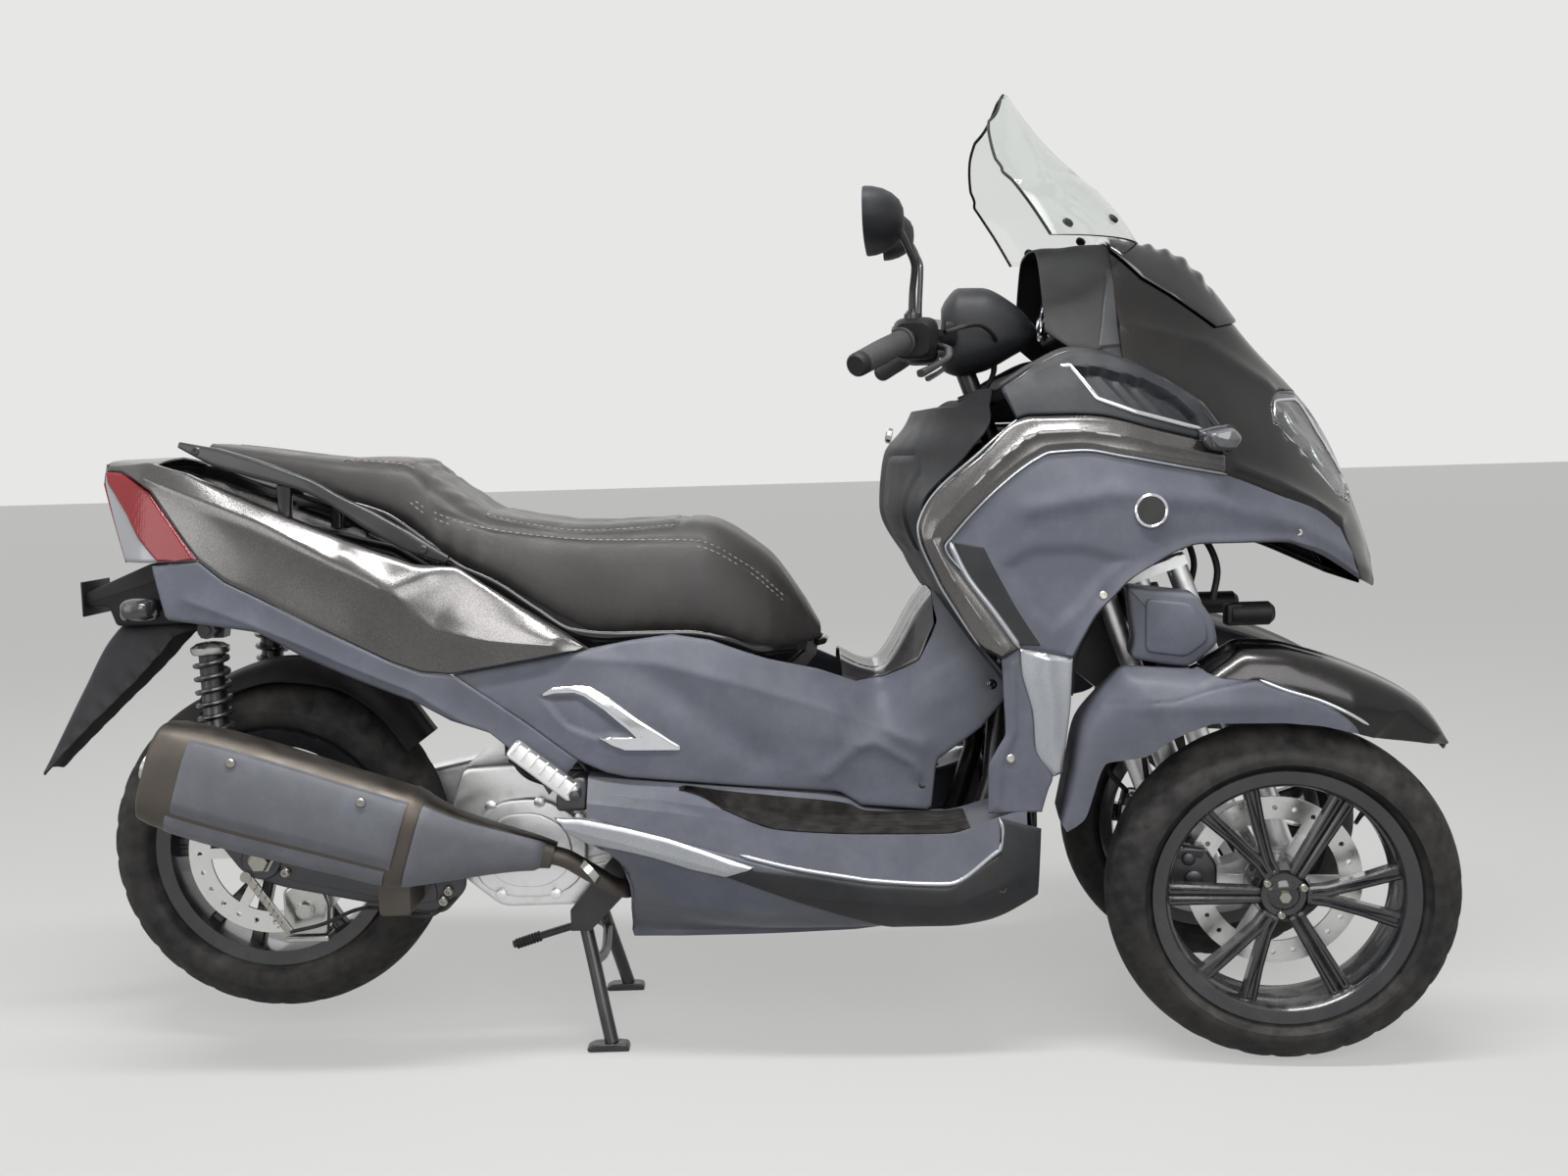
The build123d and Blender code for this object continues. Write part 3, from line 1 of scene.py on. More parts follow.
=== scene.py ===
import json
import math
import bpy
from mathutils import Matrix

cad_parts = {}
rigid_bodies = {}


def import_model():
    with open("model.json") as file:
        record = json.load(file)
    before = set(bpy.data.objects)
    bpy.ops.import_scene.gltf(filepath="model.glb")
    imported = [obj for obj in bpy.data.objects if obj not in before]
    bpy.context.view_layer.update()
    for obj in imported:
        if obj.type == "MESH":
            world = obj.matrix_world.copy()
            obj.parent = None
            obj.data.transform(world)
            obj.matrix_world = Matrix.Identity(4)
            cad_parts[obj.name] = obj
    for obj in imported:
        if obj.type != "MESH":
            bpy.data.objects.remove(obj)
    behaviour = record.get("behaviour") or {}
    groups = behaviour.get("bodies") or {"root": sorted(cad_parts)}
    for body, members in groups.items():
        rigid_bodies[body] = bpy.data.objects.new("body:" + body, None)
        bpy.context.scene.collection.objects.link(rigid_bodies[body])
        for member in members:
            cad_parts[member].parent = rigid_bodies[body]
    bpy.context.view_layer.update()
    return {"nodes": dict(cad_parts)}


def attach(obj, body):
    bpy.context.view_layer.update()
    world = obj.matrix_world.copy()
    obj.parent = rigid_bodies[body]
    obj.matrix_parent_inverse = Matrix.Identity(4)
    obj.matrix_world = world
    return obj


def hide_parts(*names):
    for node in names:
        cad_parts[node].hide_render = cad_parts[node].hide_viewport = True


bl_info = {
    "name": "Motorised trike",
    "version": (1, 0, 0),
    "blender": (4, 5, 0),
    "location": "3D View > Sidebar > Trike",
    "description": "Builds the looks of a leaning three-wheeled scooter around its packed frame",
    "category": "Object",
}

import bmesh
import bpy
import numpy as np
from mathutils import Matrix

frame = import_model()

# Steering geometry, in millimetres and degrees, as in the frame
STEER_REST = -7.2
CASTER = math.radians(20)
LEAN = np.array([-math.sin(CASTER), 0.0, math.cos(CASTER)])
HEAD_FOOT = np.array([415 + 1090 * math.tan(CASTER), 0.0, 0.0])
KINGPIN_FOOT = np.array([936.5, 149.0, 0.0])
FRONT_AXLE = np.array([868.5, 235.0, 262.0])
REAR_AXLE = np.array([-726.5, 0.0, 322.0])
FRONT_RADIUS = 262.0
REAR_RADIUS = 276.0

# Body forms: X of a station, then half-section points (y, z) from the crown to the keel
FRONT_FORM = [
    (255, (50, 1205), (140, 1088), (215, 975), (240, 840), (255, 400), (225, 225)),
    (450, (60, 1235), (165, 1100), (238, 985), (262, 850), (262, 400), (236, 225)),
    (620, (60, 1262), (160, 1102), (232, 982), (262, 830), (258, 400), (230, 225)),
    (740, (48, 1240), (130, 1095), (205, 965), (240, 815), (230, 400), (200, 225)),
    (880, (30, 1095), (92, 1030), (160, 900), (195, 790), (185, 400), (150, 225)),
    (1000, (16, 958), (52, 905), (90, 825), (112, 745), (100, 400), (80, 225)),
    (1060, (10, 818), (30, 795), (45, 765), (58, 722), (50, 400), (40, 225)),
    (1083, (5, 748), (14, 735), (22, 722), (28, 708), (25, 400), (20, 225)),
]
TUNNEL_FORM = [
    (-400, (150, 720), (195, 665), (208, 600), (208, 420)),
    (-200, (150, 700), (190, 662), (216, 540), (215, 420)),
    (0, (120, 700), (178, 665), (206, 520), (200, 390)),
    (170, (90, 632), (132, 606), (178, 500), (178, 365)),
    (260, (80, 592), (106, 576), (160, 480), (165, 355)),
    (340, (80, 700), (108, 668), (162, 540), (165, 355)),
    (420, (80, 790), (125, 730), (170, 590), (170, 355)),
    (480, (80, 830), (140, 750), (175, 620), (170, 355)),
]
TAIL_FORM = [
    (-955, (40, 960), (60, 954), (74, 930), (100, 800), (108, 700)),
    (-860, (60, 960), (108, 950), (125, 905), (146, 800), (158, 690)),
    (-700, (90, 930), (142, 896), (165, 850), (168, 760), (168, 640)),
    (-520, (120, 875), (178, 823), (203, 765), (206, 660), (200, 560)),
    (-376, (140, 850), (196, 787), (221, 706), (214, 610), (208, 470)),
    (-200, (150, 715), (186, 674), (201, 655), (214, 560), (215, 395)),
    (-150, (150, 700), (183, 660), (197, 645), (214, 540), (214, 395)),
]
BELLY_FORM = [
    (-250, (225, 440), (236, 402), (195, 300), (120, 215)),
    (-100, (240, 430), (250, 385), (205, 262), (130, 196)),
    (100, (250, 425), (264, 325), (218, 225), (150, 196)),
    (350, (255, 425), (268, 288), (232, 222), (160, 200)),
    (440, (255, 430), (268, 335), (246, 245), (170, 215)),
    (495, (255, 440), (262, 372), (248, 268), (190, 250)),
]


# Colour, node and curve helpers

def colour(hex_text):
    """Linear colour with alpha 1 from an sRGB hex text such as #3a3d42."""
    parts = np.array([int(hex_text[i:i + 2], 16) for i in (1, 3, 5)]) / 255
    linear = np.where(parts <= 0.04045, parts / 12.92, ((parts + 0.055) / 1.055) ** 2.4)
    return (*linear.tolist(), 1.0)


def add_node(tree, kind, inputs=None, **settings):
    """Adds a node with its properties; inputs map a socket's name or number to a value or an output."""
    made = tree.nodes.new(kind)
    for key, value in settings.items():
        setattr(made, key, value)
    for key, value in (inputs or {}).items():
        if isinstance(value, bpy.types.NodeSocket):
            tree.links.new(value, made.inputs[key])
        else:
            made.inputs[key].default_value = value
    return made


def slopes(step, values):
    """Monotone slopes at the knots: harmonic mean of the two rises, zero where they change sign."""
    step = step.reshape((-1,) + (1,) * (values.ndim - 1))
    rise = np.diff(values, axis=0) / step
    out = np.zeros_like(values)
    out[0] = rise[0]
    out[-1] = rise[-1]
    same = rise[:-1] * rise[1:] > 0
    first = np.where(same, rise[:-1], 1.0)
    second = np.where(same, rise[1:], 1.0)
    weight_a = 2 * step[1:] + step[:-1]
    weight_b = step[1:] + 2 * step[:-1]
    out[1:-1] = np.where(same, (weight_a + weight_b) / (weight_a / first + weight_b / second), 0.0)
    return out


def hermite(low, high, slope_low, slope_high, step, t):
    """Cubic from low to high with the given end slopes, at t from 0 to 1."""
    t2 = t * t
    t3 = t2 * t
    return (
        low * (2 * t3 - 3 * t2 + 1) + high * (3 * t2 - 2 * t3)
        + step * (slope_low * (t3 - 2 * t2 + t) + slope_high * (t3 - t2))
    )


def read(knots, values, at):
    """Smooth monotone curve through values at the knots, read at places; values may be rows of points."""
    knots = np.asarray(knots, float)
    values = np.asarray(values, float)
    at = np.asarray(at, float)
    step = np.diff(knots)
    slope = slopes(step, values)
    index = np.clip(np.searchsorted(knots, at, side="right") - 1, 0, len(knots) - 2)
    shape = at.shape + (1,) * (values.ndim - 1)
    t = np.clip((at - knots[index]) / step[index], 0, 1).reshape(shape)
    return hermite(
        values[index], values[index + 1], slope[index], slope[index + 1], step[index].reshape(shape), t)


def read_each(knots, values, at):
    """As read, but each place has its own values: values are (knots, places, parts) and at is (places)."""
    step = np.diff(knots)
    slope = slopes(step, values)
    index = np.clip(np.searchsorted(knots, at, side="right") - 1, 0, len(knots) - 2)
    own = np.arange(len(at))
    t = np.clip((at - knots[index]) / step[index], 0, 1)[:, None]
    return hermite(
        values[index, own], values[index + 1, own], slope[index, own], slope[index + 1, own],
        step[index][:, None], t)


def along(points, count):
    """Evenly spaced places on the smooth curve through points, by the length of its straight runs."""
    points = np.asarray(points, float)
    lengths = runs_of(points)
    return read(lengths, points, np.linspace(0, lengths[-1], count))


def straight(points, count):
    """Evenly spaced places on the straight runs through points."""
    points = np.asarray(points, float)
    lengths = runs_of(points)
    at = np.linspace(0, lengths[-1], count)
    return np.stack([np.interp(at, lengths, points[:, k]) for k in range(points.shape[1])], -1)


def unit(vectors):
    return vectors / np.maximum(np.linalg.norm(vectors, axis=-1, keepdims=True), 1e-9)


def runs_of(points):
    """Length of the straight runs from the first point to each point."""
    return np.concatenate([[0], np.cumsum(np.linalg.norm(np.diff(points, axis=0), axis=1))])


def circle(count):
    """Evenly spaced angles round a full turn."""
    return np.linspace(0, 2 * np.pi, count, endpoint=False)


def squared(wave, power):
    """Cosine or sine with its size raised to a power: below 1 it bends a circle towards a square."""
    return np.sign(wave) * np.abs(wave) ** power


def bell(value, width):
    """Bell curve: 1 at zero, and 1/e where the value is a width away."""
    return np.exp(-(value / width) ** 2)


def stacked(x, y, z):
    """Points from coordinates that are spread to one shape."""
    return np.stack(np.broadcast_arrays(x, y, z), -1)


def ease(value):
    """Smooth step from 0 to 1."""
    value = np.clip(value, 0, 1)
    return value * value * (3 - 2 * value)


def distance(x, z, line):
    """Distance of side-view places from a line of straight runs."""
    line = np.asarray(line, float)
    start = line[:-1]
    run = np.diff(line, axis=0)
    to = np.stack([x, z], -1)[..., None, :] - start
    share = np.clip((to * run).sum(-1) / (run * run).sum(-1), 0, 1)
    return np.linalg.norm(to - share[..., None] * run, axis=-1).min(-1)


def inside(x, z, outline):
    """True for side-view places inside a closed outline, by the even-odd rule."""
    outline = np.asarray(outline, float)
    a = outline
    b = np.roll(outline, -1, 0)
    above = (a[:, 1] > z[..., None]) != (b[:, 1] > z[..., None])
    rise = np.where(b[:, 1] == a[:, 1], 1e-9, b[:, 1] - a[:, 1])
    cross = x[..., None] < (b[:, 0] - a[:, 0]) * (z[..., None] - a[:, 1]) / rise + a[:, 0]
    return (above & cross).sum(-1) % 2 == 1


def ridge(x, z, line, width, height):
    """Rounded ridge, or groove where height is negative, along a side-view line."""
    return height * bell(distance(x, z, line), width)


def crest(x, z, line, width, height):
    """Sharp fold along a side-view line: the surface falls away evenly on both sides."""
    return height * np.exp(-distance(x, z, line) / width)


def plateau(x, z, outline, height, edge):
    """Raised field, or recess where height is negative, inside an outline, with eased edges."""
    closed = list(outline) + [outline[0]]
    return height * np.where(inside(x, z, outline), ease(distance(x, z, closed) / edge), 0)


# Body form helpers

def make_form(stations):
    """Stations, section places and a table of section points, with a point added on the middle line."""
    table = np.array([[(0, half[0][1] + 0.08 * half[0][0])] + list(half) for x, *half in stations], float)
    chords = np.linalg.norm(np.diff(table, axis=1), axis=2).mean(0)
    places = np.concatenate([[0], np.cumsum(chords)]) / chords.sum()
    return np.array([row[0] for row in stations], float), places, table


def form_point(form, x, s):
    """(y, z) on a form at X places x and section places s, 0 on the middle line and 1 at the keel."""
    stations, places, table = form
    x, s = np.broadcast_arrays(np.asarray(x, float), np.asarray(s, float))
    sections = read(stations, table, x.ravel())
    return read_each(places, np.moveaxis(sections, 1, 0), s.ravel()).reshape(x.shape + (2,))


def form_place(form, x, z):
    """Section place where a form has height z, by halving."""
    x, z = np.broadcast_arrays(np.asarray(x, float), np.asarray(z, float))
    low = np.zeros(x.shape)
    high = np.ones(x.shape)
    for _ in range(26):
        middle = (low + high) / 2
        higher = form_point(form, x, middle)[..., 1] > z
        low = np.where(higher, middle, low)
        high = np.where(higher, high, middle)
    return (low + high) / 2


def form_width(form, x, z):
    return form_point(form, x, form_place(form, x, z))[..., 0]


FRONT = make_form(FRONT_FORM)
TUNNEL = make_form(TUNNEL_FORM)
TAIL = make_form(TAIL_FORM)
BELLY = make_form(BELLY_FORM)


# Mesh helpers. A patch is (points in millimetres, list of face arrays)

def grid(points, wrap_rows=False, wrap_columns=False):
    """Four-sided faces over a grid of points."""
    rows, columns = points.shape[:2]
    i = np.arange(rows if wrap_rows else rows - 1)[:, None]
    j = np.arange(columns if wrap_columns else columns - 1)[None, :]
    near = (i + 1) % rows
    side = (j + 1) % columns
    faces = np.stack([i * columns + j, i * columns + side, near * columns + side, near * columns + j], -1)
    return points.reshape(-1, 3), [faces.reshape(-1, 4)]


def join(*patches):
    points = []
    faces = []
    start = 0
    for patch_points, patch_faces in patches:
        points.append(patch_points)
        faces += [face + start for face in patch_faces]
        start += len(patch_points)
    return np.concatenate(points), faces


def capped(rows):
    """Closed bar from rings of points, each end ring filled by one face."""
    points, faces = grid(rows, False, True)
    ring = np.arange(rows.shape[1])
    return points, faces + [ring[None, ::-1], (ring + len(points) - len(ring))[None]]


def both_sides(patch):
    """A patch and its mirror image across the middle plane."""
    points, faces = patch
    return join(patch, (points * (1, -1, 1), [face[:, ::-1] for face in faces]))


def normals(points, towards):
    """Unit normals of a grid of points, on the side of a direction."""
    down = np.gradient(points, axis=0)
    across = np.gradient(points, axis=1)
    found = unit(np.cross(down, across))
    sign = np.sign((found * np.asarray(towards, float)).sum(-1).mean())
    return found * (sign if sign else 1.0)


def every_second(count):
    return np.unique(np.append(np.arange(0, count, 2), count - 1))


def edge_ring(down, across):
    """Row and column of each edge point of a grid in turn, for the rows and columns that it keeps."""
    i = np.concatenate(
        [np.full(len(across) - 1, down[0]), down[:-1], np.full(len(across) - 1, down[-1]), down[:0:-1]])
    j = np.concatenate(
        [across[:-1], np.full(len(down) - 1, across[-1]), across[:0:-1], np.full(len(down) - 1, across[0])])
    return i, j


def wall(points, towards, thickness):
    """Closed sheet: the grid, a coarser copy moved inwards by the thickness, and the rim between them.

    The copy keeps every second row and column, so a rim face has two steps of the front to one of the back.
    """
    rows, columns = points.shape[:2]
    down, across = every_second(rows), every_second(columns)
    inner = points - normals(points, towards) * thickness
    front_i, front_j = edge_ring(np.arange(rows), np.arange(columns))
    back_i, back_j = edge_ring(down, across)
    place = {pair_of: k for k, pair_of in enumerate(zip(front_i.tolist(), front_j.tolist()))}
    start = np.array([place[pair_of] for pair_of in zip(back_i.tolist(), back_j.tolist())])
    total = len(front_i)
    step = (np.roll(start, -1) - start) % total
    back = total + np.arange(len(start))
    after = np.roll(back, -1)
    double = step == 2
    near = [(start + k) % total for k in range(3)]
    faces = [
        np.stack([near[0], near[1], near[2], after, back], 1)[double],
        np.stack([near[0], near[1], after, back], 1)[~double]]
    rim = np.concatenate([points[front_i, front_j], inner[back_i, back_j]])
    return join(grid(points), grid(inner[down][:, across]), (rim, faces))


def lathe(profile, centre, axis, sides=64, closed=False):
    """Surface of revolution: profile rows are (radius, distance along the axis)."""
    profile = np.asarray(profile, float)
    axis = unit(np.asarray(axis, float))
    helper = np.array([0.0, 0.0, 1.0]) if abs(axis[2]) < 0.9 else np.array([1.0, 0.0, 0.0])
    side = unit(np.cross(axis, helper))
    up = np.cross(side, axis)
    angle = circle(sides)
    ring = np.cos(angle)[:, None] * side + np.sin(angle)[:, None] * up
    points = np.asarray(centre, float) + profile[:, 0, None, None] * ring + profile[:, 1, None, None] * axis
    return grid(points, closed, True)


def tube(points, radius, sides=12, count=None, smooth=True, squash=1.0):
    """Round bar along a path: circles square to the path, closed at both ends."""
    count = count or 12 * len(points)
    path = along(points, count) if smooth else straight(points, count)
    radius = np.broadcast_to(
        np.interp(np.linspace(0, 1, count), np.linspace(0, 1, np.size(radius)), np.ravel(radius)), count)
    tangent = unit(np.gradient(path, axis=0))
    helper = np.linalg.svd(tangent, full_matrices=True)[2][2]
    side = unit(np.cross(tangent, helper))
    up = np.cross(side, tangent)
    angle = circle(sides)
    ring = (
        np.cos(angle)[None, :, None] * side[:, None] + squash * np.sin(angle)[None, :, None] * up[:, None])
    rows = path[:, None] + radius[:, None, None] * ring
    ends = np.broadcast_to(path[[0, -1], None], (2, sides, 3))
    return grid(np.concatenate([ends[:1], rows, ends[1:]]), False, True)


def inset(outline, amount):
    """Closed outline moved inwards by an amount, square to its two runs at each corner."""
    outline = np.asarray(outline, float)
    before = unit(outline - np.roll(outline, 1, 0))
    after = unit(np.roll(outline, -1, 0) - outline)
    middle = unit(before + after + 1e-9)
    cosine = np.clip((middle * before).sum(-1), 0.4, 1)[:, None]
    following = np.roll(outline, -1, 0)
    area = (outline[:, 0] * following[:, 1] - following[:, 0] * outline[:, 1]).sum()
    return outline + np.sign(area) * amount / cosine * np.stack([-middle[:, 1], middle[:, 0]], -1)


def soften(outline, radius, steps=4):
    """Closed outline with each corner replaced by a short curve."""
    outline = np.asarray(outline, float)
    before = np.roll(outline, 1, 0) - outline
    after = np.roll(outline, -1, 0) - outline
    reach_a = np.minimum(radius, np.linalg.norm(before, axis=1) * 0.45)[:, None]
    reach_b = np.minimum(radius, np.linalg.norm(after, axis=1) * 0.45)[:, None]
    a = (outline + unit(before) * reach_a)[:, None]
    b = (outline + unit(after) * reach_b)[:, None]
    t = np.linspace(0, 1, steps)[None, :, None]
    curve = (1 - t) ** 2 * a + 2 * t * (1 - t) * outline[:, None] + t ** 2 * b
    return curve.reshape(-1, 2)


def slab(outline, low, high, bevel=3.0, soft=8.0):
    """Side-view outline (x, z) given a thickness along Y from low to high, with rounded rims."""
    outline = soften(outline, soft) if soft else np.asarray(outline, float)
    depth = abs(high - low)
    bevel = min(bevel, depth / 2.2)
    sign = 1 if high > low else -1
    angle = np.linspace(0, np.pi / 2, 4)
    inward = bevel * (1 - np.sin(angle))
    travel = bevel * (1 - np.cos(angle))
    rows = [(low + sign * t, i) for t, i in zip(travel, inward)]
    rows += [(high - sign * t, i) for t, i in zip(travel[::-1], inward[::-1])]
    return capped(np.stack([np.insert(inset(outline, shift), 1, y, axis=1) for y, shift in rows]))


def rotate(points, foot, degrees):
    """Points turned about the leaned steering axis through a foot point, by Rodrigues' formula."""
    angle = math.radians(degrees)
    offset = points - foot
    turned = (
        offset * math.cos(angle) + np.cross(LEAN, offset) * math.sin(angle)
        + LEAN * (offset @ LEAN)[..., None] * (1 - math.cos(angle))
    )
    return foot + turned


def turn_bar(patch):
    return rotate(patch[0], HEAD_FOOT, STEER_REST), patch[1]


def carrier_slide(side):
    """Travel along the kingpin that sets a turned wheel's tyre on the floor."""
    centre = rotate(FRONT_AXLE * (1, side, 1), KINGPIN_FOOT * (1, side, 1), STEER_REST)
    tilt = math.sin(math.radians(STEER_REST)) * math.sin(CASTER)
    return (FRONT_RADIUS * math.sqrt(1 - tilt ** 2) - centre[2]) / math.cos(CASTER)


def turn_wheel(patch, side):
    """A patch modelled for the left wheel, straight ahead, put in its rest place on either side."""
    points, faces = patch
    if side < 0:
        points = points * (1, -1, 1)
        faces = [face[:, ::-1] for face in faces]
    return rotate(points, KINGPIN_FOOT * (1, side, 1), STEER_REST) + LEAN * carrier_slide(side), faces


def make(name, patch, finish, body, replaces=(), sharp=35):
    """Object from a patch in millimetres, in a named finish, with faces turned outwards, riding on a body."""
    points, faces = patch
    mesh = bpy.data.meshes.new(name)
    mesh.from_pydata((points * 0.001).tolist(), [], [row for face in faces for row in face.tolist()])
    work = bmesh.new()
    work.from_mesh(mesh)
    bmesh.ops.remove_doubles(work, verts=work.verts, dist=2e-6)
    bmesh.ops.recalc_face_normals(work, faces=work.faces)
    work.to_mesh(mesh)
    work.free()
    mesh.shade_smooth()
    mesh.set_sharp_from_angle(angle=math.radians(sharp))
    made = bpy.data.objects.new(name, mesh)
    bpy.context.scene.collection.objects.link(made)
    mesh.materials.append(finish_named(finish))
    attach(made, body)
    if replaces:
        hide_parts(*replaces)
    return made


def panel(
        form, upper, lower, rows=40, columns=120, lift=0.0, roll=4.0, relief=None, thickness=2.6,
        curved=True):
    """Moulded panel on the right side of a form, between two side-view edges.

    A place is shared between the two edges, its half width is read from the form, and it is then moved out
    by the lift and relief; within the roll of an edge it falls away as a quarter circle does.
    """
    upper = np.asarray(upper, float)
    lower = np.asarray(lower, float)
    knots = runs_of((upper + lower) / 2)
    at = np.linspace(0, knots[-1], columns)
    both = np.concatenate([upper, lower], 1)
    if curved:
        both = read(knots, both, at)
    else:
        both = np.stack([np.interp(at, knots, column) for column in both.T], 1)
    top, low = both[:, :2], both[:, 2:]
    across = np.linalg.norm(low - top, axis=1)
    reach = np.minimum(roll, across * 0.3)
    near = reach[None] * np.array([0, 0.12, 0.45, 1.0])[:, None]
    middle = reach[None] + (across - 2 * reach)[None] * np.linspace(0, 1, rows)[1:-1, None]
    from_top = np.concatenate([near, middle, across[None] - near[::-1]])
    share = from_top / np.maximum(across, 1e-6)
    place = top[None] * (1 - share[..., None]) + low[None] * share[..., None]
    x, z = place[..., 0], place[..., 1]
    run = runs_of(place[len(place) // 2])
    edge = np.minimum(np.minimum(from_top, across[None] - from_top), np.minimum(run, run[-1] - run)[None])
    gap = np.clip(1 - edge / roll, 0, 1)
    fall = roll * (1 - np.sqrt(1 - gap ** 2)) * 0.7
    points = stacked(x, -form_width(form, x, z), z)
    outward = normals(points, (0, -1, 0))
    shift = lift - fall
    if relief is not None:
        shift = shift + relief(x, z) * ease(edge / (roll * 1.5))
    return wall(points + outward * shift[..., None], (0, -1, 0), thickness)


# Length of a half section from the crown to the keel, in millimetres
HALF_GIRTH = 420


def crown_panel(form, x_places, low_edge, rows=60, lift=0.0, roll=4.0, relief=None, thickness=2.6):
    """Moulded panel over the middle line of a form: sections from one lower edge over to the other."""
    x_places = np.asarray(x_places, float)
    low_z = np.interp(x_places, [p[0] for p in low_edge], [p[1] for p in low_edge])
    last = form_place(form, x_places, low_z)
    share = np.sin(np.linspace(-1, 1, 2 * rows + 1) * np.pi / 2)
    s = np.abs(share)[:, None] * last[None]
    x = np.broadcast_to(x_places, s.shape)
    found = form_point(form, x, s)
    points = stacked(x, np.sign(share)[:, None] * found[..., 0], found[..., 1])
    outward = normals(points, (0.3, 0, 1))
    edge_v = (last[None] - s) * HALF_GIRTH
    gap = np.clip(1 - edge_v / roll, 0, 1)
    shift = lift - roll * (1 - np.sqrt(1 - gap ** 2)) * 0.7
    if relief is not None:
        shift = shift + relief(points) * ease(edge_v / (roll * 1.5))
    return wall(points + outward * shift[..., None], (0.3, 0, 1), thickness)


def trim_line(form, line, width, height, count=80, curved=True, lift=0.0, side_normal=(0, -1, 0)):
    """Half-round strip laid on the right side of a form along a side-view line."""
    place = (along if curved else straight)(line, count)
    centre = stacked(place[:, 0], -form_width(form, place[:, 0], place[:, 1]), place[:, 1])
    return strip(centre, width, height, lift, side_normal)


def strip(centre, width, height, lift=0.0, side_normal=(0, -1, 0)):
    """Half-round strip along a space path, its flat side inwards."""
    tangent = unit(np.gradient(centre, axis=0))
    out = np.broadcast_to(np.asarray(side_normal, float), tangent.shape)
    across = unit(np.cross(tangent, out))
    out = np.cross(across, tangent)
    angle = np.linspace(0, np.pi, 7)
    taper = (
        np.minimum(1, np.minimum(np.arange(len(centre)), np.arange(len(centre))[::-1]) / 3 + 0.15)[:, None,
            None])
    arc = (
        taper * (width / 2 * np.cos(angle)[None, :, None] * across[:, None] + height
            * np.sin(angle)[None, :, None] * out[:, None]))
    rows = centre[:, None] + arc + out[:, None] * (lift - 0.6)
    base = rows[:, [-1, 0]] - out[:, None] * 1.5
    return closed_rows(np.concatenate([rows, base], axis=1))


def closed_rows(rows):
    """Closed bar from rows of section points, its ends drawn together."""
    ends = rows[[0, -1]].mean(1, keepdims=True) + 0 * rows[[0, -1]]
    return grid(np.concatenate([ends[:1], rows, ends[1:]]), False, True)


def screw(centre, axis, radius=6.0, depth=3.0):
    """Round-headed screw with a six-sided socket."""
    hexagon = 0.45 * radius
    return lathe(
        [(0, depth * 0.35), (hexagon, depth * 0.35), (hexagon, depth), (radius * 0.75, depth),
            (radius, depth * 0.55),
         (radius, -2), (0, -2)], centre, axis, 18)


def bar(points, widths, depths, sides=16, power=0.6, normal=(0, 1, 0), count=40):
    """Bar of rounded four-sided section along a smooth path; its depths lie along a normal."""
    path = along(points, count)
    place = np.linspace(0, 1, count)
    width = np.interp(place, np.linspace(0, 1, np.size(widths)), np.ravel(widths))
    depth = np.interp(place, np.linspace(0, 1, np.size(depths)), np.ravel(depths))
    tangent = unit(np.gradient(path, axis=0))
    out = np.broadcast_to(np.asarray(normal, float), tangent.shape)
    across = unit(np.cross(tangent, out))
    out = np.cross(across, tangent)
    angle = circle(sides) + np.pi / sides
    cosine = squared(np.cos(angle), power)
    sine = squared(np.sin(angle), power)
    rows = (
        path[:, None] + (width[:, None] / 2 * cosine)[..., None] * across[:, None]
        + (depth[:, None] / 2 * sine)[..., None] * out[:, None]
    )
    return closed_rows(rows)


# Materials

def shader_of(name, **sockets):
    """New material with its Principled shader; constants go on the shader's own sockets."""
    material = bpy.data.materials.new(name)
    material.use_nodes = True
    tree = material.node_tree
    shader = tree.nodes["Principled BSDF"]
    for key, value in sockets.items():
        shader.inputs[key.replace("_", " ")].default_value = value
    return material, tree, shader


def place_of(tree):
    return add_node(tree, "ShaderNodeTexCoord").outputs["Object"]


def blend_colours(tree, share, first, second):
    mixed = add_node(tree, "ShaderNodeMix", {0: share}, data_type="RGBA")
    for socket, value in ((mixed.inputs[6], first), (mixed.inputs[7], second)):
        if isinstance(value, bpy.types.NodeSocket):
            tree.links.new(value, socket)
        else:
            socket.default_value = value
    return mixed.outputs[2]


def ranged(tree, value, low, high, to_low=0.0, to_high=1.0):
    return add_node(
        tree, "ShaderNodeMapRange", {"Value": value, 1: low, 2: high, 3: to_low, 4: to_high}).outputs[0]


def dust(tree, place, strength):
    """Share of dust: a cloudy noise, stronger on faces that look up and low down near the floor."""
    cloud = add_node(
        tree, "ShaderNodeTexNoise", {"Vector": place, "Scale": 9.0, "Detail": 8.0, "Roughness": 0.7})
    up = add_node(
        tree, "ShaderNodeSeparateXYZ", {0: add_node(tree, "ShaderNodeNewGeometry").outputs["Normal"]})
    height = add_node(tree, "ShaderNodeSeparateXYZ", {0: place})
    facing = ranged(tree, up.outputs[2], 0.1, 1.0, 0.25, 1.0)
    low = ranged(tree, height.outputs[2], 0.1, 0.9, 1.4, 0.6)
    share = add_node(tree, "ShaderNodeMath", {0: facing, 1: low}, operation="MULTIPLY").outputs[0]
    clouds = ranged(tree, cloud.outputs[0], 0.42, 0.72)
    both = add_node(tree, "ShaderNodeMath", {0: share, 1: clouds}, operation="MULTIPLY").outputs[0]
    return (
        add_node(tree, "ShaderNodeMath", {0: both, 1: strength}, operation="MULTIPLY",
            use_clamp=True).outputs[0])


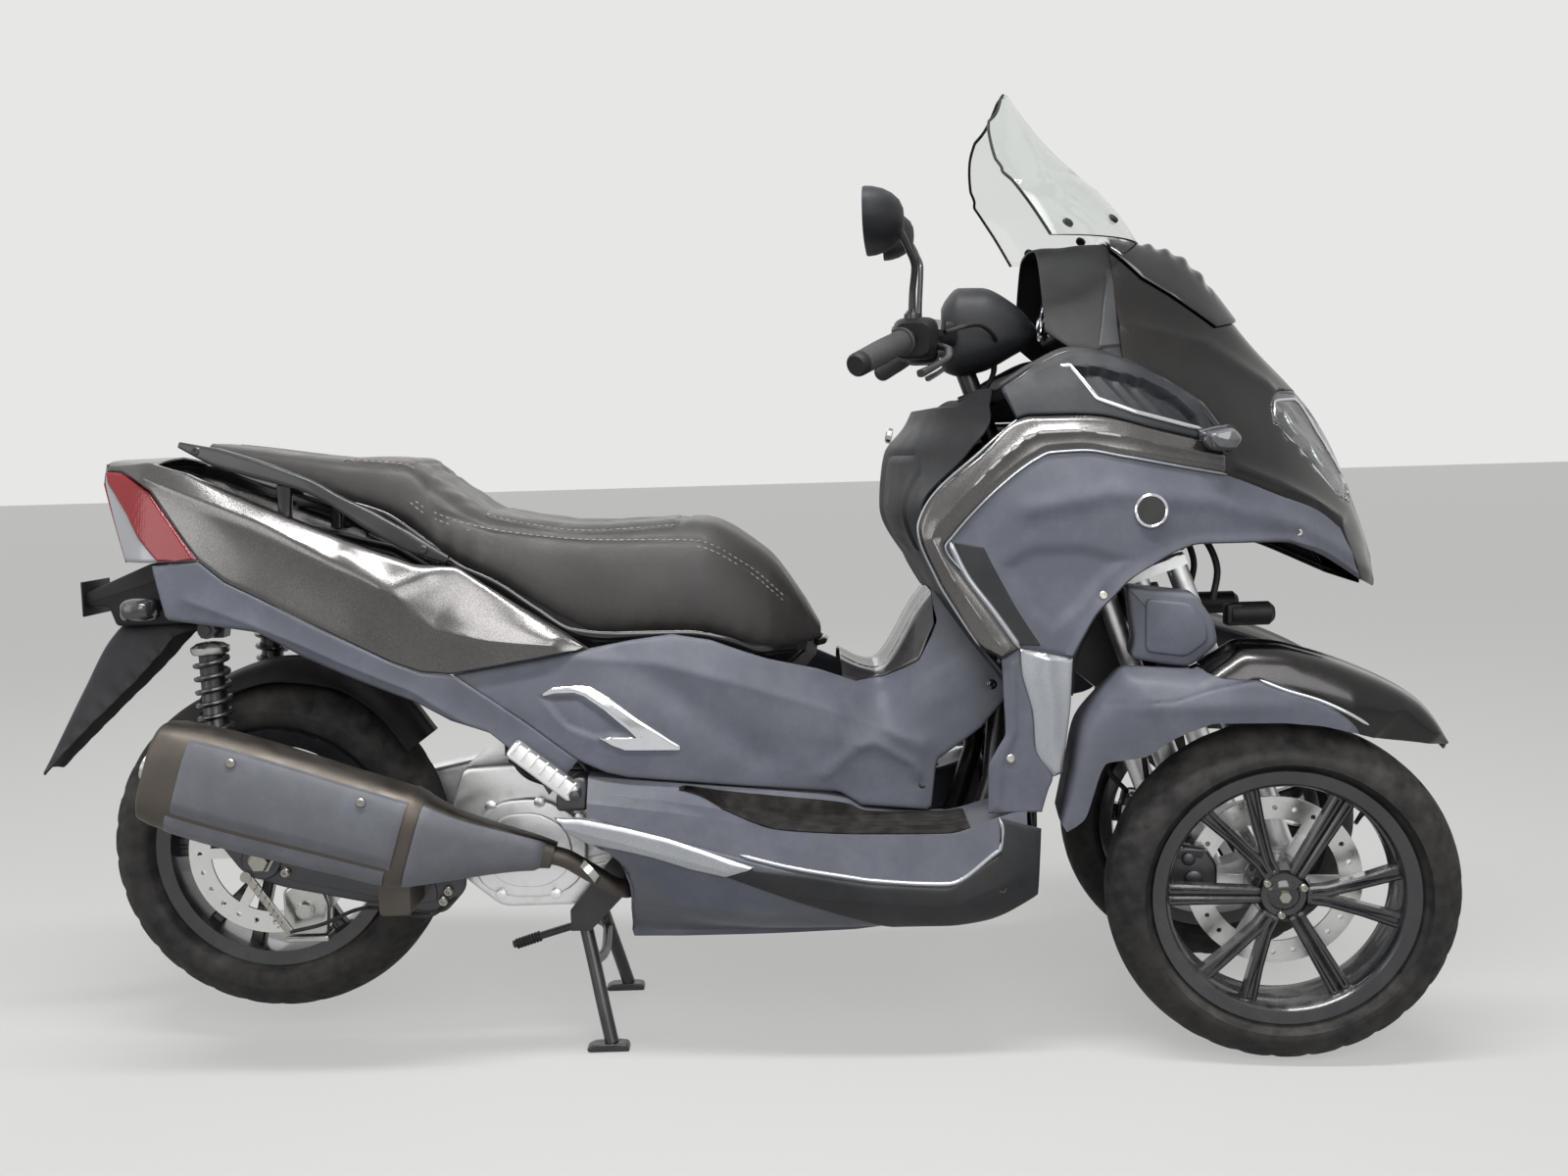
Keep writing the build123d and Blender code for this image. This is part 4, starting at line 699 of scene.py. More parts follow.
def finish_surface(tree, shader, base, roughness, dusty, bumps, spread=0.06, dust_hex="#7d7a74"):
    """Dust over a base colour, roughness that varies with smears, and bumps given as (height, size in mm)."""
    place = place_of(tree)
    share = dust(tree, place, dusty)
    tree.links.new(blend_colours(tree, share, base, colour(dust_hex)), shader.inputs["Base Color"])
    smear = add_node(
        tree, "ShaderNodeTexNoise", {"Vector": place, "Scale": 22.0, "Detail": 5.0, "Distortion": 0.6})
    rough = ranged(tree, smear.outputs[0], 0.3, 0.7, roughness - spread, roughness + spread)
    worn = add_node(
        tree, "ShaderNodeMath", {0: share, 1: 0.5, 2: rough}, operation="MULTIPLY_ADD", use_clamp=True)
    tree.links.new(worn.outputs[0], shader.inputs["Roughness"])
    normal = None
    for height, deep in bumps:
        inputs = {"Height": height, "Distance": deep / 1000, "Strength": 1.0}
        if normal:
            inputs["Normal"] = normal
        normal = add_node(tree, "ShaderNodeBump", inputs).outputs[0]
    if normal:
        tree.links.new(normal, shader.inputs["Normal"])


def paint(name, base_hex, flake_hex, metallic, roughness, coat, dusty=0.3):
    """Sprayed body paint: fine flakes under clear coat, with the slight orange peel of the spray."""
    material, tree, shader = shader_of(
        name, Metallic=metallic, Coat_Weight=coat, Coat_Roughness=0.12, Coat_IOR=1.5)
    place = place_of(tree)
    flakes = add_node(tree, "ShaderNodeTexVoronoi", {"Vector": place, "Scale": 1400.0})
    cloud = add_node(tree, "ShaderNodeTexNoise", {"Vector": place, "Scale": 5.0, "Detail": 3.0})
    flake_share = add_node(
        tree, "ShaderNodeMath", {0: flakes.outputs["Color"], 1: cloud.outputs[0]},
        operation="MULTIPLY").outputs[0]
    base = blend_colours(tree, flake_share, colour(base_hex), colour(flake_hex))
    peel = add_node(tree, "ShaderNodeTexNoise", {"Vector": place, "Scale": 260.0, "Detail": 1.0})
    finish_surface(tree, shader, base, roughness, dusty, [(peel.outputs[0], 0.04)], 0.03)
    return material


def moulded(name, base_hex, roughness, grain_mm, grain_deep, dusty=0.35, light_hex=None):
    """Injection-moulded plastic: a fine leather-like grain, paler where hands and boots have rubbed it."""
    material, tree, shader = shader_of(name, Specular_IOR_Level=0.3)
    place = place_of(tree)
    grain = add_node(
        tree, "ShaderNodeTexVoronoi", {"Vector": place, "Scale": 1000 / grain_mm}, feature="SMOOTH_F1")
    rub = add_node(
        tree, "ShaderNodeTexNoise", {"Vector": place, "Scale": 14.0, "Detail": 9.0, "Roughness": 0.72})
    share = ranged(tree, rub.outputs[0], 0.45, 0.75, 0.0, 0.55)
    base = blend_colours(tree, share, colour(base_hex), colour(light_hex or base_hex))
    finish_surface(tree, shader, base, roughness, dusty, [(grain.outputs["Distance"], grain_deep)])
    return material


def gloss(name, base_hex, roughness=0.14, dusty=0.25, coat=0.5, dust_hex="#75736f"):
    """Polished black plastic or lacquer: smooth, with faint wiping marks and dust."""
    material, tree, shader = shader_of(name, Coat_Weight=coat, Coat_Roughness=0.08)
    place = place_of(tree)
    wiped = add_node(
        tree, "ShaderNodeMapping", {"Vector": place, "Scale": (1.0, 1.0, 6.0), "Rotation": (0.3, 0.2, 0.6)})
    marks = add_node(tree, "ShaderNodeTexNoise", {"Vector": wiped.outputs[0], "Scale": 70.0, "Detail": 4.0})
    finish_surface(
        tree, shader, colour(base_hex), roughness, dusty, [(marks.outputs[0], 0.01)], 0.05, dust_hex)
    return material


def metal(
        name, base_hex, roughness, pattern="cast", dusty=0.2, stain_hex="#5a4a3c", stain=0.3, centre=None):
    """Bare metal: cast skin, ring-turned or drawn lines, with brown staining in patches."""
    material, tree, shader = shader_of(name, Metallic=1.0)
    place = place_of(tree)
    if pattern == "turned":
        reach = add_node(tree, "ShaderNodeVectorMath", {0: place, 1: centre}, operation="DISTANCE")
        lines = add_node(
            tree, "ShaderNodeTexNoise", {"W": reach.outputs["Value"], "Scale": 700.0, "Detail": 3.0},
            noise_dimensions="1D")
        depth = 0.06
    elif pattern == "drawn":
        stretched = add_node(tree, "ShaderNodeMapping", {"Vector": place, "Scale": (0.03, 1.0, 1.0)})
        lines = add_node(
            tree, "ShaderNodeTexNoise", {"Vector": stretched.outputs[0], "Scale": 900.0, "Detail": 3.0})
        depth = 0.04
    else:
        lines = add_node(
            tree, "ShaderNodeTexNoise", {"Vector": place, "Scale": 420.0, "Detail": 6.0, "Roughness": 0.65})
        depth = 0.25
    patches = add_node(
        tree, "ShaderNodeTexNoise", {"Vector": place, "Scale": 26.0, "Detail": 8.0, "Roughness": 0.7})
    share = ranged(tree, patches.outputs[0], 0.52, 0.8, 0.0, stain)
    base = blend_colours(tree, share, colour(base_hex), colour(stain_hex))
    finish_surface(tree, shader, base, roughness, dusty, [(lines.outputs[0], depth)], 0.08)
    return material


def lens(name, base_hex, transmission, roughness=0.03, facet_mm=0.0, facet_deep=0.0, coat=0.0):
    """Moulded lamp lens or clear sheet: light passes through, over a pattern of small prisms."""
    material, tree, shader = shader_of(
        name, Base_Color=colour(base_hex), Transmission_Weight=transmission, IOR=1.46, Coat_Weight=coat)
    place = place_of(tree)
    haze = add_node(
        tree, "ShaderNodeTexNoise", {"Vector": place, "Scale": 12.0, "Detail": 8.0, "Roughness": 0.7})
    tree.links.new(
        ranged(tree, haze.outputs[0], 0.4, 0.8, roughness, roughness + 0.07), shader.inputs["Roughness"])
    if facet_mm:
        prisms = add_node(
            tree, "ShaderNodeTexVoronoi", {"Vector": place, "Scale": 1000 / facet_mm, "Randomness": 0.0},
            distance="MINKOWSKI")
        bump = add_node(
            tree, "ShaderNodeBump",
            {"Height": prisms.outputs["Distance"], "Distance": facet_deep / 1000, "Strength": 0.6})
        tree.links.new(bump.outputs[0], shader.inputs["Normal"])
    return material


def rubber(name, base_hex, roughness=0.72, dusty=0.45, ribs_mm=0.0, rib_axis="X"):
    """Black rubber: fine pitted skin, grey with road dust in the low places, ribbed where it is trodden."""
    material, tree, shader = shader_of(name, Specular_IOR_Level=0.25)
    place = place_of(tree)
    pits = add_node(
        tree, "ShaderNodeTexNoise", {"Vector": place, "Scale": 520.0, "Detail": 5.0, "Roughness": 0.7})
    bumps = [(pits.outputs[0], 0.18)]
    if ribs_mm:
        ribs = add_node(
            tree, "ShaderNodeTexWave", {"Vector": place, "Scale": 1000 / ribs_mm / 3.14, "Detail": 0.0},
            wave_type="BANDS", bands_direction=rib_axis)
        bumps.append((ribs.outputs[1], 0.8))
    mottle = add_node(tree, "ShaderNodeTexNoise", {"Vector": place, "Scale": 40.0, "Detail": 6.0})
    base = blend_colours(
        tree, ranged(tree, mottle.outputs[0], 0.35, 0.75, 0.0, 0.35), colour(base_hex), colour("#4a4846"))
    finish_surface(tree, shader, base, roughness, dusty, bumps, 0.08, "#6f6b64")
    return material


def vinyl(name, base_hex, light_hex):
    """Seat vinyl: pressed leather grain in small cells, soft creases and a dull shine where it is sat on."""
    material, tree, shader = shader_of(name, Sheen_Weight=0.08)
    place = place_of(tree)
    warp = add_node(tree, "ShaderNodeTexNoise", {"Vector": place, "Scale": 120.0, "Detail": 2.0})
    moved = add_node(
        tree, "ShaderNodeVectorMath", {0: warp.outputs["Color"], 1: (0.004, 0.004, 0.004), 2: place},
        operation="MULTIPLY_ADD")
    cells = add_node(
        tree, "ShaderNodeTexVoronoi", {"Vector": moved.outputs[0], "Scale": 560.0},
        feature="DISTANCE_TO_EDGE")
    grain = ranged(tree, cells.outputs[0], 0.0, 0.18)
    creases = add_node(
        tree, "ShaderNodeTexNoise", {"Vector": place, "Scale": 26.0, "Detail": 4.0, "Distortion": 1.2})
    worn = add_node(tree, "ShaderNodeTexNoise", {"Vector": place, "Scale": 7.0, "Detail": 4.0})
    base = blend_colours(
        tree, ranged(tree, worn.outputs[0], 0.35, 0.7), colour(base_hex), colour(light_hex))
    finish_surface(tree, shader, base, 0.46, 0.12, [(grain, 0.12), (creases.outputs[0], 0.5)], 0.08)
    return material


FRONT_DISC_CENTRE = (0.868, 0.0, 0.262)
FINISHES = {
    # Body shells that give the machine its warm grey shine
    "gunmetal_paint": (paint, "#464546", "#979491", 1.0, 0.25, 0.4, 0.08),
    # Darker copy of the gunmetal paint: painted shade, standing in for the dark surroundings that the nose
    # and fender caps mirror
    "black_gunmetal_paint": (paint, "#232223", "#4b4947", 1.0, 0.25, 0.4, 0.08),
    # Blue-grey panels of moulded plastic that stay dull beside the paint
    "grained_plastic": (moulded, "#50535c", 0.46, 1.3, 0.10, {"light_hex": "#666a74"}),
    "mid_grained_plastic": (moulded, "#1e2024", 0.5, 1.3, 0.10, {"light_hex": "#2d3035"}),
    "dark_grained_plastic": (moulded, "#1c1d20", 0.55, 1.4, 0.12, 0.2, "#2b2d31"),
    "satin_silver_paint": (paint, "#8d9096", "#c3c6cb", 0.8, 0.32, 0.4),
    "bright_chrome": (metal, "#d6d8dc", 0.09, "drawn", 0.15, {"stain": 0.1}),
    "gloss_black_plastic": (gloss, "#121214", 0.14, 0.12),
    "piano_black_panel": (gloss, "#2a282a", 0.2, 0.35),
    "black_inner_plastic": (moulded, "#101012", 0.55, 1.0, 0.06, 0.12),
    # Clear and coloured lamp parts
    "clear_screen_sheet": (lens, "#f3f6f4", 1.0, 0.01),
    "clear_lamp_lens": (lens, "#f6f8f8", 1.0, 0.0),
    "smoked_lamp_lens": (gloss, "#4d4e52", 0.16, 0.2, 0.6),
    "red_lamp_lens": (lens, "#78050d", 0.05, 0.10, 5.0, 0.12, 0.25),
    "dark_lamp_lens": (gloss, "#2c2c2f", 0.16, 0.2, 0.6),
    "pale_lamp_lens": (gloss, "#8b8c90", 0.18, 0.35, 0.5),
    "lamp_reflector": (metal, "#a9abad", 0.07, "turned", 0.0, {"stain": 0.0, "centre": (0.9, 0.0, 0.93)}),
    # Soft parts
    "seat_vinyl": (vinyl, "#1b1817", "#2a2624"),
    "seat_insert_vinyl": (vinyl, "#2c2827", "#3b3634"),
    "pale_thread": (moulded, "#a39a90", 0.8, 0.6, 0.2, 0.1),
    "floor_mat_rubber": (rubber, "#0f0d0b", 0.85, 0.05, 9.0, "Y"),
    "grip_rubber": (rubber, "#161617", 0.68, 0.1),
    "tyre_rubber": (rubber, "#171617", 0.72, 0.4),
    "hose_rubber": (rubber, "#17171a", 0.5, 0.3),
    # Metal parts
    "gloss_black_rim": (gloss, "#1b1c20", 0.2, 0.4),
    "brake_disc_steel": (metal, "#cfcfcd", 0.3, "turned", 0.1, {"stain": 0.2, "centre": FRONT_DISC_CENTRE}),
    "satin_black_frame_paint": (gloss, "#141417", 0.34, 0.4, 0.2),
    "cast_aluminium": (metal, "#e2e3e3", 0.42, "cast", 0.15),
    "dark_cast_aluminium": (metal, "#4b4c4f", 0.45, "cast", 0.4),
    "turned_aluminium": (metal, "#b3b3b0", 0.26, "drawn", 0.25),
    "coated_spring_steel": (gloss, "#131316", 0.3, 0.35),
    "exhaust_steel": (metal, "#55504b", 0.5, "cast", 0.3, {"stain": 0.3}),
    "heat_shield_black": (moulded, "#585a60", 0.40, 1.0, 0.05, 0.2, "#70737b"),
    "zinc_bolt_steel": (metal, "#a09d97", 0.35, "drawn", 0.25, {"stain": 0.4}),
    "mirror_glass": (metal, "#cfd4d8", 0.03, "drawn", 0.05, {"stain": 0.0}),
    "meter_glass": (gloss, "#0c0d10", 0.06, 0.05),
}


def finish_named(name):
    """A material by name, made the first time it is asked for."""
    made = bpy.data.materials.get(name)
    if made:
        return made
    kind, *values = FINISHES[name]
    options = values.pop() if isinstance(values[-1], dict) else {}
    return kind(name, *values, **options)


# Settings

class TrikeSettings(bpy.types.PropertyGroup):
    """Sizes and looks that can be changed in the sidebar before the pieces are built."""

    panel_wall: bpy.props.FloatProperty(
        name="Panel wall", description="Thickness of the moulded panels", default=0.0026, min=0.001,
        unit="LENGTH", subtype="DISTANCE")
    panel_roll: bpy.props.FloatProperty(
        name="Panel edge", description="How far a panel's edge is rounded", default=0.004, min=0.001,
        unit="LENGTH", subtype="DISTANCE")
    tread_depth: bpy.props.FloatProperty(
        name="Tread depth", description="Depth of the tyre grooves", default=0.0035, min=0.0, unit="LENGTH",
        subtype="DISTANCE")
    seat_softness: bpy.props.FloatProperty(
        name="Seat softness", description="Depth of the hollows where riders sit", default=0.011, min=0.0,
        unit="LENGTH", subtype="DISTANCE")
    stitch_length: bpy.props.FloatProperty(
        name="Stitch length", description="Length of one stitch", default=0.007, min=0.003, unit="LENGTH",
        subtype="DISTANCE")
    lens_mm: bpy.props.FloatProperty(
        name="Camera lens", description="Focal length on a 36 mm sensor", default=33.68, min=10.0,
        unit="CAMERA")
    floor_colour: bpy.props.FloatVectorProperty(
        name="Floor colour", description="Colour of the plain floor", default=(0.22, 0.22, 0.216),
        subtype="COLOR", min=0, max=1)
    key_power: bpy.props.FloatProperty(
        name="Key light", description="Power of the large soft light", default=125.0, min=0.0, unit="POWER")


def settings():
    return bpy.context.scene.trike


def wall_of():
    return settings().panel_wall * 1000


def roll_of():
    return settings().panel_roll * 1000


class Piece(bpy.types.Operator):
    """Shared form of the operators that build a group of pieces."""

    bl_options = {"REGISTER", "UNDO"}

    def execute(self, context):
        self.build(context.scene.trike)
        return {"FINISHED"}


def pair(form, edges, **options):
    """Panel and its mirror image from edges given as (upper x, upper z, lower x, lower z)."""
    edges = np.asarray(edges, float)
    options.setdefault("thickness", wall_of())
    options.setdefault("roll", roll_of())
    return both_sides(panel(form, edges[:, :2], edges[:, 2:], **options))


class TRIKE_OT_front_shell(Piece):
    """Nose, shoulder bands, vent panels, side cowls and leg strips.

    Each panel is a sheet on the front form: its half width at a side-view place is read from the form's
    cross-sections, and the sheet is moved out along its own normal by a lift, a crown and the grooves or
    recesses of that panel.
    """

    bl_idname = "trike.front_shell"
    bl_label = "Front shell"

    def build(self, values):
        lamp = [
            (884, 997), (905, 1020), (962, 1018), (1050, 900), (1034, 842), (1003, 854), (926, 935),
            (884, 972)]

        def nose_relief(points):
            x, z = points[..., 0], points[..., 2]
            away = np.abs(points[..., 1])
            pit = plateau(x, z, lamp, -20, 5) * ease((away - 12) / 4)
            keel = 3.5 * bell(away, 16) * ease((x - 700) / 120)
            upper = (
                crest(x, z, [(640, 1123), (777, 1093), (885, 1031), (960, 954)], 16, 6.0)
                * ease((away - 40) / 20))
            lower = (
                crest(x, z, [(800, 905), (874, 878), (939, 850), (1004, 816)], 12, 5.0)
                * ease((away - 30) / 20))
            return pit + keel + upper + lower

        nose_low = [
            (613, 1083), (700, 1040), (757, 1003), (784, 965), (783.5, 892), (953, 832), (1003, 800),
            (1043, 716), (1083, 700)]
        nose = join(*[
            crown_panel(
                FRONT, np.linspace(first, last, count), nose_low[part], rows=48, roll=roll_of(),
                relief=nose_relief,
                thickness=wall_of())
            for first, last, count,
            part in ((640, 784, 32, slice(0, 4)), (783.5, 1082, 78, slice(4, None)))])
        # Painted shade: the nose takes the darker copy of the gunmetal paint
        make("nose_shell", nose, "black_gunmetal_paint", "chassis", ["nose_cowl"])

        band = [
            (436, 628, 463, 645), (404, 649, 450, 664), (370, 702, 420, 708), (342, 752, 386, 755),
            (317, 825, 356, 798), (326, 853, 366, 812), (413, 938, 449, 894), (467, 982, 494, 924),
            (488, 987, 513, 932), (540, 987, 563, 934), (582, 985, 620, 924), (682, 961, 700, 908),
            (785, 937, 785, 892)]

        def band_crown(x, z):
            middle = [((a + c) / 2, (b + d) / 2) for a, b, c, d in band]
            edge = [(c, d) for a, b, c, d in band]
            return crest(x, z, middle, 20, 10.0) - ridge(x, z, edge, 3, 1.4)

        bands = pair(FRONT, band, rows=18, columns=140, lift=3.0, roll=6.0, relief=band_crown)
        make("shoulder_band_shells", bands, "gunmetal_paint", "chassis", ["shoulder_bands"])
        inner_line = trim_line(FRONT, [(c, d) for a, b, c, d in band][2:], 4.5, 3.0, 150, lift=3.0)
        outer_line = trim_line(FRONT, [(a, b) for a, b, c, d in band][1:8], 4.0, 2.5, 120, lift=1.0)
        low_line = trim_line(
            FRONT, [(362, 806), (386, 755), (424, 702), (463, 645)], 10.0, 4.5, 60, lift=2.0)
        trims = both_sides(join(inner_line, outer_line, low_line))
        make("shoulder_band_trims", trims, "satin_silver_paint", "chassis")

        vent = [
            (445, 1038, 467, 984), (495, 1068, 488, 989), (563, 1093, 540, 989), (613, 1083, 582, 987),
            (700, 1040, 680, 963), (757, 1003, 740, 949), (783, 967, 783, 939)]
        recess = [
            (556, 1062), (606, 1058), (667, 1038), (715, 1012), (746, 982), (754, 962), (728, 967),
            (647, 988), (592, 1009)]

        top_fold = [(500, 1052), (563, 1078), (620, 1072), (700, 1034), (752, 996)]

        def vent_relief(x, z):
            folds = sum(
                ridge(x, z, [(600 + 30 * k, 1052 - 12 * k), (640 + 30 * k, 1000 - 9 * k)], 5, 2.4)
                for k in range(3))
            return (
                plateau(x, z, recess, -15, 7) + folds * inside(x, z, recess)
                + crest(x, z, top_fold, 14, 4.0))

        vents = pair(FRONT, vent, rows=32, columns=120, relief=vent_relief)
        make("vent_shells", vents, "mid_grained_plastic", "chassis", ["vent_panels"])
        outline = [(470, 1040), (500, 1060), (563, 1084), (613, 1074), (700, 1031), (752, 993), (776, 962)]
        top_trim = trim_line(FRONT, outline, 4.0, 2.5, 120, lift=0.6)
        make("vent_trims", both_sides(top_trim), "gloss_black_plastic", "chassis")
        hook = trim_line(
            FRONT, [(538, 1061), (556, 1062), (590, 1010), (647, 988), (752, 960)], 8.0, 4.0, 110, False,
            0.6)
        make("vent_hooks", both_sides(hook), "bright_chrome", "chassis")

        cowl = [
            (463, 645, 542, 627), (424, 702, 560, 660), (386, 755, 581, 694), (356, 798, 604, 717),
            (366, 812, 627, 740), (449, 894, 664, 762), (513, 932, 700, 780), (563, 934, 739, 790),
            (660, 917, 800, 789), (760, 899, 876, 787), (880, 857, 920, 775), (953, 832, 950, 764),
            (1003, 800, 1043, 716)]
        hollow = [
            (470, 700), (512, 660), (560, 700), (600, 745), (640, 775), (560, 800), (480, 800), (430, 770)]

        def cowl_relief(x, z):
            sweep = ridge(x, z, [(480, 850), (600, 872), (760, 852), (900, 812), (1010, 756)], 16, 4.5)
            lip = ridge(x, z, [(c, d) for a, b, c, d in cowl], 10, 4.0)
            screws = sum(
                -3 * np.exp(-(((x - cx) ** 2 + (z - cz) ** 2) / 64)) for cx, cz in ((588, 720), (905, 800)))
            return sweep + lip + plateau(x, z, hollow, -3.5, 22) + screws

        cowls = pair(FRONT, cowl, rows=42, columns=120, relief=cowl_relief)
        make("side_cowl_shells", cowls, "grained_plastic", "chassis", ["side_cowls"])
        wedge = [
            (368, 806, 412, 798), (374, 785, 424, 772), (390, 752, 443, 735), (412, 716, 462, 700),
            (438, 678, 482, 668), (462, 648, 496, 646)]
        wedges = pair(FRONT, wedge, rows=14, columns=50, lift=1.8, roll=5.0)
        make("cowl_wedges", wedges, "dark_grained_plastic", "chassis")
        badge_at = (659, -form_width(FRONT, 659.0, 843.0) - 3.0, 843)
        disc = lathe([(0.02, 3.2), (21, 3.2), (21, -3), (0.02, -3)], badge_at, (0.05, -1, 0.03), 48)
        ring = lathe(
            [(21, -2), (25, -2), (25, 3), (23, 4.5), (21, 3)], badge_at, (0.05, -1, 0.03), 64, True)
        make("blank_badges", both_sides(disc), "gloss_black_plastic", "chassis")
        make("badge_rings", both_sides(ring), "bright_chrome", "chassis")
        arch = along([(c, d) for a, b, c, d in cowl], 120)
        rim = []
        for shift, sink in ((0.0, 2.0), (-4.0, 5.0), (-10.0, 6.0), (-26.0, 5.0)):
            x, z = arch[:, 0], arch[:, 1] + sink
            rim.append(stacked(x, -(form_width(FRONT, x, z) + shift - 1.0), z))
        liner = wall(np.stack(rim), (0, 0, -1), 2.0)
        make("wheel_arch_lips", both_sides(liner), "black_inner_plastic", "chassis")

        strip_rows = [
            (542, 627, 463, 645), (540, 592, 465, 611), (538, 560, 481, 544), (531, 505, 484, 494),
            (524, 455, 510, 450)]
        strips = pair(
            FRONT, strip_rows, rows=24, columns=60, lift=1.5, roll=5.0,
            relief=lambda x,
            z: ridge(x, z, [(503, 640), (502, 600), (509, 552), (508, 500), (517, 452)], 14, 4.0))
        make("leg_strip_shells", strips, "satin_silver_paint", "chassis", ["leg_strips"])

        leg = [
            (436, 628, 463, 645), (438, 575, 465, 611), (440, 520, 481, 544), (426, 492, 484, 494),
            (414, 465, 510, 450), (413, 430, 503, 430), (412, 397, 493, 397)]
        legs = pair(
            FRONT, leg, rows=24, columns=80,
            relief=lambda x, z: ridge(x, z, [(425, 410), (430, 470), (452, 520), (452, 620)], 7, 2.5))
        make("leg_cowl_shells", legs, "grained_plastic", "chassis", ["leg_cowls"])
        bolts = [
            screw((x, -form_width(FRONT, x, z) + depth, z), (0, -1, 0.1), 6.5, 3.0)
            for x, z, depth in ((588, 720, 1.5), (905, 800, 1.5), (447, 480, 0.0), (500, 630, -1.0))]
        make("front_shell_screws", both_sides(join(*bolts)), "zinc_bolt_steel", "chassis")


class TRIKE_OT_lamps(Piece):
    """Headlamps and turn signals.

    A lamp is a clear lens flush with the nose over a black housing; two bowls, each a paraboloid turned
    about its axis, and a turned ring sit in the housing. A signal is a pointed pod: sections of its
    outline shrink outwards.
    """

    bl_idname = "trike.lamps"
    bl_label = "Lamps and signals"

    def build(self, values):
        rows = [
            (884, 995, 884, 973), (905, 1022, 905, 953), (945, 1021, 935, 923), (970, 1006, 965, 892),
            (1010, 955, 985, 871), (1040, 910, 1003, 853), (1052, 893, 1034, 841)]
        rows = self.clear_of_middle(rows)
        lens_sheet = pair(FRONT, rows, rows=22, columns=56, lift=0.5, roll=4.0, thickness=2.4)
        make("headlamp_lenses", lens_sheet, "clear_lamp_lens", "chassis", ["headlamps"], 60)
        housing = pair(
            FRONT, rows, rows=30, columns=70, lift=-15.0, roll=3.0, thickness=2.0,
            relief=lambda x,
            z: 5 * np.sin((x + z) / 5.5) * 0.3
            + ridge(x, z, [(900, 985), (985, 935), (1040, 860)], 10, 5.0))
        make("headlamp_housings", housing, "gloss_black_plastic", "chassis")
        frame_line = [(890, 978), (896, 1002), (940, 1006), (985, 950), (1030, 880)]
        make(
            "headlamp_frames", both_sides(trim_line(FRONT, frame_line, 5, 3, 80, lift=1.0)),
            "bright_chrome", "chassis")
        bowls = []
        rings = []
        bulbs = []
        for x, z, radius in ((935, 975, 21), (985, 920, 19)):
            y = -form_width(FRONT, x, z)
            centre = np.array([x, y, z]) + np.array([-0.75, 0.28, -0.6]) * 13
            aim = (0.80, -0.38, 0.46)
            depth = np.linspace(0, 1, 14)
            bowls.append(
                lathe([(radius * np.sqrt(t) * 0.94 + 0.05, 10 * t - 9) for t in depth], centre, aim, 48))
            ring = circle(12)
            rings.append(lathe(
                [(radius + 2.4 * np.cos(t), 1.5 + 2.4 * np.sin(t)) for t in ring], centre, aim, 48,
                closed=True))
            bulbs.append(
                lathe([(8 * np.sin(t) + 0.02, 7 * (1 - t / 1.6) - 4) for t in np.linspace(0, 1.57, 9)],
                    centre, aim, 28))
        make("headlamp_bowls", both_sides(join(*bowls)), "lamp_reflector", "chassis")
        make("headlamp_rings", both_sides(join(*rings)), "bright_chrome", "chassis")
        make("headlamp_bulbs", both_sides(join(*bulbs)), "clear_lamp_lens", "chassis")
        signal = soften([(743, 957), (791, 965), (808, 945), (792, 923), (754, 928)], 10, 6)
        middle = signal.mean(0)
        layers = []
        for out, size in (
                (188, 1.0), (215, 0.98), (235, 0.92), (248, 0.8), (254, 0.6), (256, 0.3), (256.5, 0.02)):
            ring = middle + (signal - middle) * size + np.array([-0.05, 0]) * (out - 188)
            layers.append(np.insert(ring, 1, -out, axis=1))
        pods = both_sides(grid(np.stack(layers), False, True))
        make("front_signal_pods", pods, "smoked_lamp_lens", "chassis", ["front_signals"])
        collar = tube(np.insert(np.concatenate([signal, signal[:1]]), 1, -212, axis=1), 3.2, 8, 90)
        make("front_signal_collars", both_sides(collar), "gloss_black_plastic", "chassis")

    def clear_of_middle(self, rows, least=16):
        """Edges whose upper point goes down its row to the first place where the nose is wide enough."""
        rows = np.asarray(rows, float)
        share = np.linspace(0, 1, 81)[None, :, None]
        line = rows[:, None, :2] * (1 - share) + rows[:, None, 2:] * share
        wide = form_width(FRONT, line[..., 0], line[..., 1]) >= least
        return np.concatenate([line[np.arange(len(rows)), wide.argmax(1)], rows[:, 2:]], 1)


def wrapped(rows, heights, shares, wide=None):
    """Sheet of arcs: at each height, the circle through its middle and both edges, at shares across."""
    table = np.asarray(rows, float)
    z = np.asarray(heights, float)
    middle, edge, half = (read(table[:, 0], table[:, k], z) for k in (1, 2, 3))
    rise = np.where(np.abs(middle - edge) < 0.5, 0.5, middle - edge)
    radius = (half ** 2 + rise ** 2) / (2 * np.abs(rise))
    y = shares[None] * half[:, None]
    if wide is not None:
        y = shares[None] * np.minimum(half, wide(edge, z))[:, None]
    bow = radius[:, None] - np.sqrt(np.maximum(radius[:, None] ** 2 - y ** 2, 0))
    x = middle[:, None] - np.sign(rise)[:, None] * bow
    return stacked(x, y, z[:, None])


